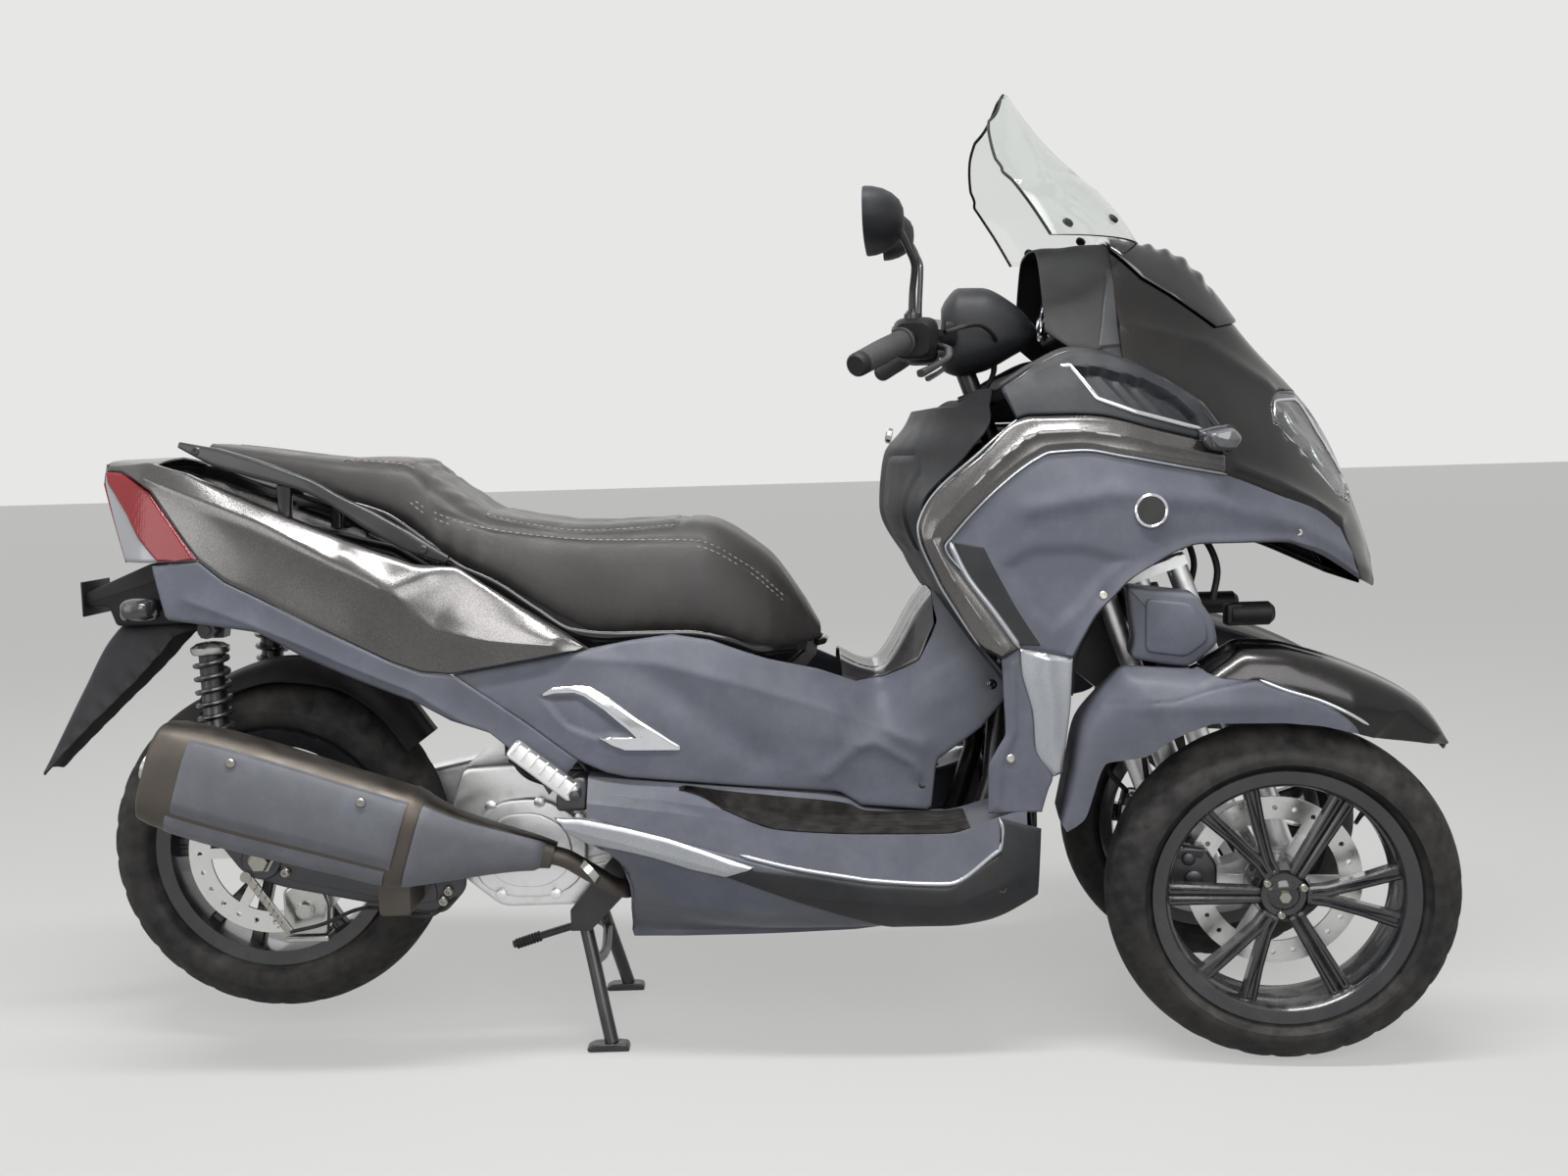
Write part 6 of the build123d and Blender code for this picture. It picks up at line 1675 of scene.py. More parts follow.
def seat_side(line):
    """Places on the cushion's right side at side-view places, by halving the section angle."""
    low = np.full(len(line), 0.05)
    high = np.full(len(line), np.pi * 0.75)
    for _ in range(24):
        middle = (low + high) / 2
        z = seat_point(line[:, 0], middle)[1]
        low = np.where(z > line[:, 1], middle, low)
        high = np.where(z > line[:, 1], high, middle)
    y, z = seat_point(line[:, 0], low)
    return stacked(line[:, 0], -np.abs(y) + 0.8, z)


def dashes(path, length, radius):
    """Row of stitches: short closed bars laid along a path with gaps between them."""
    runs = runs_of(path)
    starts = np.arange(length, runs[-1] - length, length * 1.55)
    at = starts[:, None] + np.array([0, 0.25, 0.5, 0.75, 1.0])[None] * length
    points = np.stack([np.interp(at, runs, path[:, k]) for k in range(3)], -1)
    width = radius * np.array([0.25, 1, 1, 1, 0.25])
    angle = circle(6)
    tangent = unit(points[:, -1] - points[:, 0])
    helper = np.broadcast_to(np.array([0.0, 1.0, 0.3]), tangent.shape)
    side = unit(np.cross(tangent, helper))
    up = np.cross(side, tangent)
    rings = points[:, :, None] + width[None, :, None, None] * (
        np.cos(angle)[None, None, :, None] * side[:, None, None] + np.sin(angle)[None, None, :, None]
        * up[:, None, None])
    count = len(starts)
    index = np.arange(count * 30).reshape(count, 5, 6)
    following = np.roll(index, -1, 2)
    quads = np.stack([index[:, :-1], following[:, :-1], following[:, 1:], index[:, 1:]], -1).reshape(-1, 4)
    return rings.reshape(-1, 3), [quads, index[:, 0, ::-1], index[:, -1]]


def tyre_patch(radius, width, rim_width, tread_deep, centre):
    """Tyre: its profile turned about Y, its grooves sunk by a pattern of place and angle."""
    half = width / 2
    curve_top = (half ** 2 + 46 ** 2) / (2 * 46)
    span = math.asin(half / curve_top)
    crown = np.linspace(-span, span, 42)
    crown_line = np.stack([radius - curve_top * (1 - np.cos(crown)), curve_top * np.sin(crown)], -1)
    side = (
        along(
            [(radius - 46, half), (radius - 54, half - 0.5), (207, half - 6), (199, rim_width / 2 - 5),
                (194, rim_width / 2 - 8), (180, rim_width / 2 - 8)], 20)[1:])
    other = side[::-1] * (1, -1)
    profile = np.concatenate([other, crown_line, side])
    sides = 180
    angle = circle(sides)
    place = profile[:, 1] / half
    turn = angle[None] * 30 / 2
    away = np.abs(place)[:, None]
    sweep = turn + 2.4 * away ** 1.3
    slant = (
        bell(np.mod(sweep, np.pi) - np.pi / 2, 0.34) * ease((away - 0.16) / 0.08)
        * ease((0.93 - away) / 0.08))
    short = (
        bell(np.mod(sweep + 1.57, np.pi) - np.pi / 2, 0.26) * ease((away - 0.5) / 0.06)
        * ease((0.84 - away) / 0.06))
    ring = bell(away - 0.07, 0.035)
    on_crown = (profile[:, 0] > radius - 50)[:, None]
    sunk = tread_deep * np.maximum(np.maximum(slant, short), ring * 0.9) * on_crown
    band = (profile[:, 0][:, None] < radius - 52)
    ribs = 0.9 * bell(profile[:, 0][:, None] - 214, 1.6) + 0.7 * bell(profile[:, 0][:, None] - 202, 1.4)
    ribs = (ribs + 0.5 * bell(profile[:, 0][:, None] - radius + 56, 2.0)) * band
    tangent = unit(np.gradient(profile, axis=0))
    out = np.stack([tangent[:, 1], -tangent[:, 0]], -1)
    shift = ribs - sunk
    r = profile[:, 0][:, None] + out[:, 0][:, None] * shift
    y = profile[:, 1][:, None] + out[:, 1][:, None] * shift
    points = stacked(r * np.cos(angle), y, r * np.sin(angle)) + np.asarray(centre, float)
    return grid(points, True, True)


def spoke(outline, y, thick, ridge_deep, turn, centre):
    """Cast spoke in the wheel's plane: an outline lofted between two faces, the outer one sunk."""
    outline = soften(outline, 5, 4)
    half = thick / 2
    cosine = math.cos(math.radians(turn))
    sine = math.sin(math.radians(turn))
    rows = []
    for shrink_by, height in (
            (3, -half), (0, -half + 3), (0, half - 3), (3, half), (6, half), (8, half - ridge_deep)):
        ring = inset(outline, shrink_by)
        x = ring[:, 0] * cosine - ring[:, 1] * sine
        z = ring[:, 0] * sine + ring[:, 1] * cosine
        rows.append(stacked(x, y + height, z))
    return capped(np.stack(rows) + np.asarray(centre, float))


def rim_patch(rim_width, hub_low, hub_high, spoke_y, centre):
    """Cast wheel: barrel and hub turned about Y, three forked spokes and three plain ones."""
    h = rim_width / 2
    barrel = [
        (172, -h + 1), (186, -h), (195, -h), (196, -h + 3), (194, -h + 6), (183, -h + 8), (177.5, -h + 14),
        (177.5, h - 14),
        (183, h - 8), (194, h - 6), (196, h - 3), (195, h), (186, h), (176, h - 1), (171, h - 6),
        (168, h - 18), (168, -h + 18)]
    hub = [
        (13, hub_low), (42, hub_low), (45, hub_low + 4), (45, spoke_y - 14), (40, spoke_y + 8),
        (38, hub_high - 6), (33, hub_high),
        (13, hub_high)]
    pieces = [lathe(barrel, centre, (0, 1, 0), 120, True), lathe(hub, centre, (0, 1, 0), 72, True)]
    for index in range(3):
        turn = index * 120
        arm = [(34, -3), (62, -2), (118, 13), (173, 28), (171, 52), (112, 31), (60, 16), (34, 14)]
        pieces.append(spoke(arm, spoke_y, 22, 3.5, -turn, centre))
        pieces.append(spoke([(x, -z) for x, z in arm], spoke_y, 22, 3.5, -turn, centre))
        for side in (-1, 1):
            plain = [(34, side * 1.2), (173, side * 1.2), (173, side * 17), (34, side * 12)]
            pieces.append(spoke(plain, spoke_y, 22, 3.0, -turn - 60, centre))
        web = [(34, -5), (172, -5), (172, 5), (34, 5)]
        pieces.append(spoke(web, spoke_y - 4, 12, 1.0, -turn - 60, centre))
    return join(*pieces)


class TRIKE_OT_wheels(Piece):
    """Three wheels: tyres with tread, cast rims, hub caps, wheel nuts and valves.

    Tyres and rims are profiles turned about the axle. Grooves sink the crown where a wave of angle and
    place peaks.
    """

    bl_idname = "trike.wheels"
    bl_label = "Wheels"

    def build(self, values):
        tread = values.tread_depth * 1000
        front = FRONT_AXLE
        tyre = tyre_patch(FRONT_RADIUS, 120, 92, tread, front)
        rim = rim_patch(92, -41, 27, 23, front)
        cap = lathe([(0.02, 33), (9, 33), (21, 30), (25, 26), (25, 20), (0.02, 20)], front, (0, 1, 0), 40)
        nut = lathe([(0.02, 40), (9, 40), (10, 38), (10, 30), (0.02, 30)], front, (0, 1, 0), 6)
        nuts = [
            screw(front + np.array([31 * math.cos(t), 28.5, 31 * math.sin(t)]), (0, 1, 0), 6.5, 5)
            for t in (0.4, 2.5, 4.6)]
        valve = tube(
            [front + np.array([120, 8, 125]), front + np.array([112, 12, 117]),
                front + np.array([104, 18, 108])], [4.5, 3.6, 3.2], 10)
        for side, name in ((-1, "right"), (1, "left")):
            body = "wheel_front_" + name
            make(
                "front_tyre_tread_" + name, turn_wheel(tyre, side), "tyre_rubber", body,
                ["front_tyre_" + name])
            make(
                "front_cast_rim_" + name, turn_wheel(rim, side), "gloss_black_rim", body,
                ["front_rim_" + name])
            make("front_hub_cap_" + name, turn_wheel(join(cap, valve), side), "gloss_black_plastic", body)
            make("front_wheel_nuts_" + name, turn_wheel(join(nut, *nuts), side), "zinc_bolt_steel", body)
        rear = REAR_AXLE
        make(
            "rear_tyre_tread", tyre_patch(REAR_RADIUS, 140, 104, tread, rear), "tyre_rubber", "wheel_rear",
            ["rear_tyre"])
        rim = rim_patch(104, -70, 60, -11, rear)
        make("rear_cast_rim", rim, "gloss_black_rim", "wheel_rear", ["rear_rim"])


class TRIKE_OT_front_end(Piece):
    """Front fenders, fork covers, fork legs, calipers, brake hoses and the suspension between the kingpins.

    A fender is lofted between its crown line and its lower edge by a rounded quarter section; the paint
    line divides it.
    """

    bl_idname = "trike.front_end"
    bl_label = "Front suspension"

    def build(self, values):
        crown = [
            (536, 381), (550, 450), (564, 518), (588, 560), (612, 588), (637, 608), (690, 606), (732, 603),
            (770, 624), (806, 643), (850, 641), (892, 631), (973, 602), (1055, 556), (1082, 527),
            (1105, 490)]
        edge = [
            (547, 365), (572, 384), (606, 472), (630, 477), (660, 483), (703, 512), (740, 528), (762, 535),
            (800, 535), (852, 535), (880, 533), (904, 531), (956, 519), (993, 508), (1050, 499),
            (1104, 489)]
        columns = 130
        top = along(crown, columns)
        place = np.linspace(0, 1, columns)
        low_line = np.asarray(edge, float)
        top_runs = runs_of(np.asarray(crown, float))
        low = read(top_runs / top_runs[-1], low_line, place)
        outer = np.interp(
            top[:, 0], [525, 580, 640, 700, 960, 1040, 1090, 1106],
            [282, 291, 302, 304, 304, 292, 268, 238])
        inner = np.interp(top[:, 0], [525, 620, 960, 1040, 1085, 1106], [180, 179, 179, 182, 196, 222])
        inner_rise = 14 * ease((top[:, 0] - 540) / 80)
        theta = np.linspace(0, np.pi / 2, 44)[:, None]
        shoulder = 238 + (outer - 238)[None] * np.sin(theta) ** 0.75
        share = np.cos(theta) ** 0.62
        x = low[None, :, 0] + (top[:, 0] - low[:, 0])[None] * share
        z = low[None, :, 1] + (top[:, 1] - low[:, 1])[None] * share
        flat = np.linspace(0, 1, 18)[:-1, None]
        y_flat = inner[None] + (238 - inner)[None] * flat
        drop = inner_rise[None] * (1 - flat) ** 2
        over = stacked(top[:, 0], y_flat, np.broadcast_to(top[:, 1], y_flat.shape) - drop)
        down = stacked(x, shoulder, z)
        shell = np.concatenate([over, down])
        line = [(606, 560), (700, 566), (762, 585), (819, 597), (904, 569), (978, 526), (1000, 500)]
        sx, sz = shell[..., 0], shell[..., 2]
        groove = -1.6 * bell(distance(sx, sz, line), 2.2) * (shell[..., 1] > 225)
        swell = 4 * bell(distance(sx, sz, [(640, 560), (740, 560), (860, 560)]), 14) * (shell[..., 1] > 260)
        fin = 3.5 * bell(shell[..., 1] - 226, 9) * ease((sx - 700) / 60)
        shell = shell + normals(shell, (0, 0.6, 1)) * (groove + swell * 0.6 + fin)[..., None]
        dividing = np.interp(
            top[:, 0], [606, 732, 762, 819, 904, 978, 1000, 1106], [640, 612, 600, 597, 569, 526, 508, 470])
        base = shell + normals(shell, (0, 0.6, 1)) * 1.4
        kept = np.arange(np.searchsorted(top[:, 0], 728), columns)
        last = np.array([np.interp(-dividing[c], -sz[17:, c], np.arange(17, len(sz))) for c in kept])
        at = np.linspace(0, 1, 50)[:, None] * np.minimum(last, len(sz) - 1.001)
        row = at.astype(int)
        share = (at - row)[..., None]
        cap = base[row, kept] * (1 - share) + base[row + 1, kept] * share
        for side, name in ((-1, "right"), (1, "left")):
            body = "carrier_" + name
            under = turn_wheel(wall(shell, (0, 0.6, 1), 3.0), side)
            make(
                "fender_shell_" + name, under, "grained_plastic", body, ["fender_" + name])
            # Painted shade: the fender cap takes the darker copy of the gunmetal paint
            make(
                "fender_cap_" + name, turn_wheel(wall(cap, (0, 0.6, 1), 1.2), side), "black_gunmetal_paint",
                body, ())
            slash_line = np.array([(819, 597), (860, 584), (904, 569), (944, 548), (978, 526)], float)
            slash = self.on_shell(shell, slash_line)
            slash = strip(slash, 5.0, 2.4, 1.6, (0, 0.8, 0.6))
            make("fender_line_" + name, turn_wheel(slash, side), "bright_chrome", body)
            cover = slab(
                [(640, 729), (742, 716), (769, 675), (775, 640), (735, 606), (703, 609), (645, 619),
                    (651, 649)], 178, 236, 7, 10)
            bevel = slab(
                [(668, 712), (734, 703), (756, 672), (760, 646), (728, 622), (668, 630)], 230, 241, 4, 10)
            make(
                "fork_box_" + name, turn_wheel(join(cover, bevel), side), "grained_plastic", body,
                ["fork_cover_" + name])
            self.running_gear(side, name, body)
        bellows = []
        for z in (575, 690):
            x = KINGPIN_FOOT[0] - z * math.tan(CASTER)
            rings = [(22 + 2.5 * math.cos(t * 1.6), -34 + t * 2.2) for t in range(31)]
            inner_rings = [(17, rings[-1][1]), (17, rings[0][1])]
            for side in (-1, 1):
                bellows.append(lathe(rings + inner_rings, (x, side * 60, z), (0, 1, 0), 24, True))
        make("linkage_boots", join(*bellows), "hose_rubber", "chassis")
        brace = join(
            lathe([(0.02, -52), (17, -52), (19, -48), (19, 44), (14, 50), (0.02, 50)], (668, -64, 742),
                LEAN, 36),
            lathe([(0.02, -18), (13, -18), (15, -14), (15, 20), (0.02, 24)], (712, -62, 752), LEAN, 32))
        make("tilt_lock_cylinders", both_sides(brace), "turned_aluminium", "chassis")
        hoses = join(
            tube([(700, -66, 775), (735, -62, 800), (790, -62, 790), (815, -66, 735), (806, -70, 690)], 5.5,
                12, 60),
            tube([(664, -64, 792), (690, -60, 818), (738, -40, 812), (772, -20, 770)], 5.0, 12, 40),
            tube([(640, -70, 700), (600, -66, 640), (580, -64, 585), (575, -62, 540)], 6.5, 12, 40))
        make("brake_pipes", both_sides(hoses), "hose_rubber", "chassis")
        actuator = join(
            lathe([(0.02, -36), (17, -36), (19, -32), (19, 26), (12, 34), (0.02, 34)], (862, -92, 668),
                (1, 0, 0), 32),
            slab([(818, 650), (842, 650), (846, 686), (818, 684)], -80, -106, 4, 5))
        make("lock_actuators", both_sides(actuator), "black_inner_plastic", "chassis")

    def on_shell(self, shell, line):
        """Places on the outer side of the fender sheet nearest to side-view places."""
        found = []
        outer = shell[..., 1] > 232
        for x, z in line:
            reach = np.hypot(shell[..., 0] - x, shell[..., 2] - z) + np.where(outer, 0, 1e3)
            found.append(shell.reshape(-1, 3)[np.argmin(reach)])
        return along(found, 40)

    def running_gear(self, side, name, body):
        """Fork legs with dust seals, axle clamp, two-piston caliper and its hose."""
        foot = KINGPIN_FOOT
        pieces = []
        seals = []
        for offset in (-58, 58):
            base = foot + np.array([math.cos(CASTER), 0, math.sin(CASTER)]) * offset
            at = lambda z: base + LEAN * ((z - base[2]) / math.cos(CASTER))
            pieces.append(
                lathe(
                    [(0.02, 0), (20.3, 0), (20.3, 205), (18.6, 215), (18.6, 238), (20.3, 244), (20.3, 260),
                        (0.02, 262)], at(248), LEAN, 48))
            pieces.append(lathe([(0.02, 0), (16.3, 0), (16.3, 282), (0.02, 283)], at(482), LEAN, 40))
            seals.append(
                lathe([(16.4, 0), (19.8, 0), (20.5, 4), (20.5, 10), (18.6, 14), (16.4, 14)], at(496), LEAN,
                    40, True))
        make("fork_tubes_" + name, turn_wheel(join(*pieces), side), "turned_aluminium", body)
        half = [
            (714, 236), (706, 262), (710, 298), (725, 322), (762, 318), (780, 292), (780, 240), (752, 228)]
        caliper = join(
            slab(half, 199, 214, 5, 8),
            slab(half, 160, 186, 5, 8),
            slab([(716, 318), (712, 300), (760, 300), (762, 318)], 158, 214, 3, 3),
            lathe([(0.02, 0), (14, 0), (14, 7), (10, 9), (0.02, 9)], (744, 212, 270), (0, 1, 0), 32),
            lathe([(0.02, 0), (10, 0), (10, 6), (7, 8), (0.02, 8)], (736, 212, 302), (0, 1, 0), 32))
        make("front_caliper_" + name, turn_wheel(caliper, side), "dark_cast_aluminium", body)
        seals.append(
            tube([(724, 190, 318), (690, 182, 360), (676, 172, 440), (668, 168, 520), (672, 165, 592)], 4.6,
                10, 70))
        make("front_brake_hose_" + name, turn_wheel(join(*seals), side), "hose_rubber", body)


class TRIKE_OT_drive(Piece):
    """Engine, belt case, swing arm, rear shocks with wound springs, muffler, pegs and stand.

    A spring is a round bar along a helix. The muffler is lofted from rounded sections square to its own
    axis.
    """

    bl_idname = "trike.drive"
    bl_label = "Engine, exhaust and stand"

    def build(self, values):
        block = slab([
            (-430, 380), (-430, 290), (-353, 225), (-180, 225), (-120, 270), (-100, 330), (-110, 440),
            (-300, 462), (-406, 458)], -94, 94, 9, 16)
        crank = lathe(
            [(0.02, 0), (62, 0), (66, -4), (66, -14), (60, -14)][::-1] + [(0.02, 0.1)], (-300, -98, 330),
            (0, -1, 0), 64)
        cover = slab(
            [(-395, 300), (-380, 262), (-335, 244), (-262, 244), (-222, 268), (-205, 320), (-222, 376),
                (-280, 408), (-350, 404), (-388, 368)], -92, -108, 6, 22)
        inner = slab(
            [(-372, 306), (-356, 276), (-326, 262), (-276, 262), (-242, 284), (-230, 322), (-244, 360),
                (-286, 384), (-340, 382), (-366, 352)], -104, -111, 3, 18)
        fins = [
            slab([(-212, 262 + 13 * k), (-116, 276 + 13 * k), (-116, 280 + 13 * k), (-212, 266 + 13 * k)],
                -98, 98, 1.2, 0) for k in range(11)]
        head = slab([(-112, 286), (-84, 292), (-78, 340), (-84, 400), (-110, 424)], -72, 72, 6, 8)
        bosses = [
            lathe([(0.02, 0), (9, 0), (9, 5), (6, 7), (0.02, 7)], (x, -106, z), (0, -1, 0), 24)
            for x, z in ((-388, 300), (-350, 252), (-262, 250), (-214, 296), (-218, 372), (-282, 400),
                (-360, 396))]
        case = slab([
            (-230, 300), (-240, 255), (-290, 232), (-350, 230), (-620, 262), (-640, 300), (-640, 370),
            (-600, 400), (-340, 450), (-270, 440), (-232, 390)], 84, 148, 10, 20)
        case_ribs = [
            slab(
                [(-560 + 62 * k, 290 - 4 * k), (-552 + 62 * k, 290 - 4 * k), (-538 + 62 * k, 388 + 7 * k),
                    (-546 + 62 * k, 388 + 7 * k)], 145, 153, 2, 2) for k in range(5)]
        gear = slab([
            (-600, 270), (-640, 255), (-700, 250), (-760, 262), (-795, 300), (-800, 345), (-770, 388),
            (-720, 400), (-640, 395), (-600, 390)], 84, 106, 7, 14)
        gear_cap = lathe(
            [(0.02, 12), (40, 12), (52, 6), (56, 0), (56, -6), (0.02, -6)], (-700, 106, 325), (0, 1, 0), 56)
        stud = lathe([(0.02, 0), (7, 0), (7, 44), (0.02, 44)], (-772, 104, 372), (0, 1, 0), 20)
        engine = join(
            block, crank, cover, inner, *fins, head, *bosses, case, *case_ribs, gear, gear_cap, stud)
        make("engine_castings", engine, "cast_aluminium", "chassis", ["engine"])
        hoses = [
            tube(
                [(-150, -60, 470), (-120, -96, 442), (-104, -104, 400), (-120, -108, 352),
                    (-150, -110, 322)], 9, 14, 60),
            tube([(-86, -50, 380), (-60, -70, 372), (-20, -96, 340), (60, -104, 300), (200, -100, 282)], 8,
                14, 60),
            tube([(-330, -84, 466), (-300, -98, 440), (-260, -104, 424), (-226, -108, 392)], 5, 12, 50)]
        make("engine_hoses", join(*hoses), "hose_rubber", "chassis")
        plates = join(
            slab([(-196, 342), (-150, 346), (-146, 366), (-192, 364)], -104, -112, 2, 4),
            slab([(-260, 426), (-190, 424), (-186, 448), (-256, 452)], -98, -108, 3, 5))
        make("engine_brackets", plates, "satin_black_frame_paint", "chassis")

        arm = slab([
            (-405, 300), (-405, 262), (-440, 224), (-480, 226), (-700, 275), (-760, 300), (-800, 355),
            (-792, 388), (-765, 392), (-735, 370), (-680, 352), (-640, 325), (-500, 290),
            (-450, 300)], -98.3, -114, 5, 12)
        pocket = slab(
            [(-450, 244), (-490, 242), (-690, 288), (-706, 322), (-676, 328), (-640, 306), (-510, 272),
                (-452, 276)], -112, -117, 2, 10)
        axle = lathe([(0.02, 4), (12, 4), (12, -190), (0.02, -190)], (-726.5, -114, 322), (0, -1, 0), 28)
        hub = lathe(
            [(12, 8), (30, 8), (33, 4), (33, -6), (12, -6)], (-726.5, -112, 322), (0, -1, 0), 48, True)
        stud = lathe([(0.02, 0), (7, 0), (7, 44), (0.02, 44)], (-772, -104, 372), (0, -1, 0), 20)
        make(
            "swing_arm_casting", join(arm, pocket, axle, hub, stud), "dark_cast_aluminium", "chassis",
            ["swing_arm"])
        half = [(-704, 190), (-636, 190), (-632, 242), (-650, 294), (-704, 264)]
        caliper = join(
            slab(half, -80, -97, 5, 8),
            slab(half, -56, -67, 4, 8),
            slab([(-706, 188), (-634, 188), (-634, 178), (-702, 178)], -56, -97, 3, 3),
            lathe([(0.02, 0), (15, 0), (15, 6), (11, 9), (0.02, 9)], (-668, -96, 232), (0, -1, 0), 32))
        make("rear_caliper", caliper, "turned_aluminium", "chassis")
        nut = lathe(
            [(0.02, 17), (15, 17), (17, 14), (17, 3), (21, 2), (21, 0), (0.02, 0)], (-726.5, -120, 322),
            (0, -1, 0), 6)
        bolts = [
            screw((x, -117, z), (0, -1, 0), 8, 6) for x,
            z in ((-432, 262), (-780, 372), (-690, 300), (-441, 246))]
        make("rear_axle_nuts", join(nut, *bolts), "zinc_bolt_steel", "chassis")
        lever = join(
            slab([(-758, 296), (-744, 300), (-680, 206), (-690, 196)], -118, -123, 1.5, 4),
            lathe([(0.02, 0), (9, 0), (9, 12), (0.02, 12)], (-751, -114, 296), (0, -1, 0), 24))
        cable = tube(
            [(-686, -121, 204), (-640, -124, 214), (-560, -122, 240), (-470, -118, 222), (-420, -112, 250)],
            3.2, 10, 70)
        spring = helix((-700, -121, 214), (-738, -121, 282), 5.5, 1.1, 12)
        make("parking_brake_lever", join(lever, spring), "zinc_bolt_steel", "chassis")
        make("parking_brake_cable", cable, "hose_rubber", "chassis")
        hugger_path = along(
            [(-470, 0, 500), (-520, 0, 566), (-600, 0, 618), (-700, 0, 632), (-800, 0, 606),
                (-838, 0, 580)], 60)
        shares = np.linspace(-1, 1, 41)
        radial = unit(hugger_path - REAR_AXLE)
        sheet = (
            hugger_path[:, None] + shares[None, :, None] * np.array([0, 80.0, 0])
            - (30 * np.abs(shares) ** 3)[None, :, None] * radial[:, None])
        sheet += (2.5 * bell(shares, 0.12))[None, :, None] * radial[:, None]
        make("tyre_hugger", wall(sheet, (0, 0, 1), 3.0), "black_inner_plastic", "chassis")

        foot = np.array([-772.0, -138.0, 372.0])
        head_at = np.array([-780.0, -138.0, 695.0])
        line = unit(head_at - foot)
        at = lambda d: foot + line * d
        tubes = lathe(
            [(0.02, 0), (8, 0), (8, 66), (14, 66), (14, 60), (20, 60), (21, 64), (21, 130), (18, 136),
                (18, 284), (0.02, 284)], foot, line, 36)
        eyes = join(
            *[lathe([(7.5, -10), (14, -10), (14, 10), (7.5, 10)], p, (0, 1, 0), 32, True)
                for p in (foot, head_at)])
        caps = join(
            lathe([(9, 0), (27, 0), (29, 4), (29, 10), (20, 16), (9, 18)], at(286), line, 44, True),
            lathe([(9, 0), (26, 0), (28, 3), (28, 8), (9, 8)], at(50), line, 44, True))
        make(
            "shock_bodies", both_sides(join(tubes, eyes)), "satin_black_frame_paint", "chassis",
            ["rear_shocks"])
        make("shock_caps", both_sides(caps), "turned_aluminium", "chassis")
        make(
            "shock_springs", both_sides(helix(at(58), at(287), 24, 4.2, 20.8)), "coated_spring_steel",
            "chassis")

        self.exhaust()
        self.supports()

    def exhaust(self):
        axis = unit(np.array([375.0, 0.0, -117.0]))
        up = np.array([117.0, 0.0, 375.0]) / np.hypot(375, 117)
        rows = [
            (0, 88, 138), (3, 98, 148), (8, 102, 152), (60, 108, 165), (120, 110, 168), (300, 107, 156),
            (392, 105, 150), (400, 104, 148), (408, 98, 142), (470, 76, 100), (560, 52, 54), (610, 36, 36)]
        start = np.array([-838.0, -232.0, 497.0])
        end = np.array([-250.0, -190.0, 335.0])
        place = np.concatenate([np.linspace(0, 10, 8), np.linspace(14, 600, 84)])
        table = np.array(rows, float)
        width, height = read(table[:, 0], table[:, 1:], place).T
        shift = ease((place - 400) / 210)[:, None] * (end - (start + axis * 600))
        centre = start + axis * place[:, None] + shift
        angle = circle(72)
        cosine = squared(np.cos(angle), 0.62)
        sine = squared(np.sin(angle), 0.62)
        section = (
            (width[:, None] / 2 * cosine)[..., None] * np.array([0, 1, 0])
            + (height[:, None] / 2 * sine)[..., None] * up)
        bands = 1.2 * bell(place - 24, 3) + 1.2 * bell(place - 388, 3)
        section = section * (1 + bands / 60)[:, None, None]
        can = centre[:, None] + section
        back = [centre[0] + section[0] * s - axis * t for s, t in ((0.94, 1.5), (0.45, 0), (0.32, 0))]
        can = np.concatenate([np.stack(back[::-1]), can])
        pipe = tube(
            [(-262, -191, 337), (-240, -190, 332), (-196, -176, 302), (-160, -160, 274), (-142, -146, 266),
                (-142, -108, 266)], 14.5, 24, 80)
        bracket = slab([(-520, 250), (-470, 250), (-470, 370), (-520, 380)], -114.5, -205, 3, 8)
        make(
            "muffler_can", join(grid(can, False, True), pipe, bracket), "exhaust_steel", "chassis",
            ["muffler"])
        tip = lathe(
            [(17, -3), (20, -3), (21, 4), (20, 12), (17, 12), (15, -30), (0.02, -30)], start - axis * 2,
            -axis, 40)
        ring = lathe(
            [(14.5, -6), (24, -6), (24, 6), (14.5, 6)], (-200, -178, 305), (-0.6, -0.3, -0.5), 36, True)
        make("muffler_tip", join(tip, ring), "turned_aluminium", "chassis")
        for name, low, high, raised, first, last in (
                ("muffler_shield", 50, 392, 7.0, 0.71, 1.12),
                ("muffler_under_strip", 44, 386, 4.0, 1.13, 1.38),
                ("cone_shield", 404, 588, 6.0, 0.66, 1.34)):
            part = np.where((angle > np.pi * first) & (angle < np.pi * last))[0]
            span = np.where((place > low) & (place < high))[0]
            sheet = can[3:][span][:, part]
            out = unit(sheet - centre[span][:, None])
            edge = np.minimum(np.arange(len(part)), np.arange(len(part))[::-1])[None] / 2.5
            ends = np.minimum(place[span] - low, high - place[span])[:, None] / 9
            sheet = sheet + out * (raised * ease(np.minimum(edge, ends)))[..., None]
            make(name, wall(sheet, (0, -1, 0), 1.8), "heat_shield_black", "chassis")
        screws = [screw((x, -232 - width_at - 5, z), (0, -1, 0), 7, 4) for x, z, width_at in (
            (-701, 513, 53), (-514, 449, 53))]
        make("muffler_screws", join(*screws), "zinc_bolt_steel", "chassis")

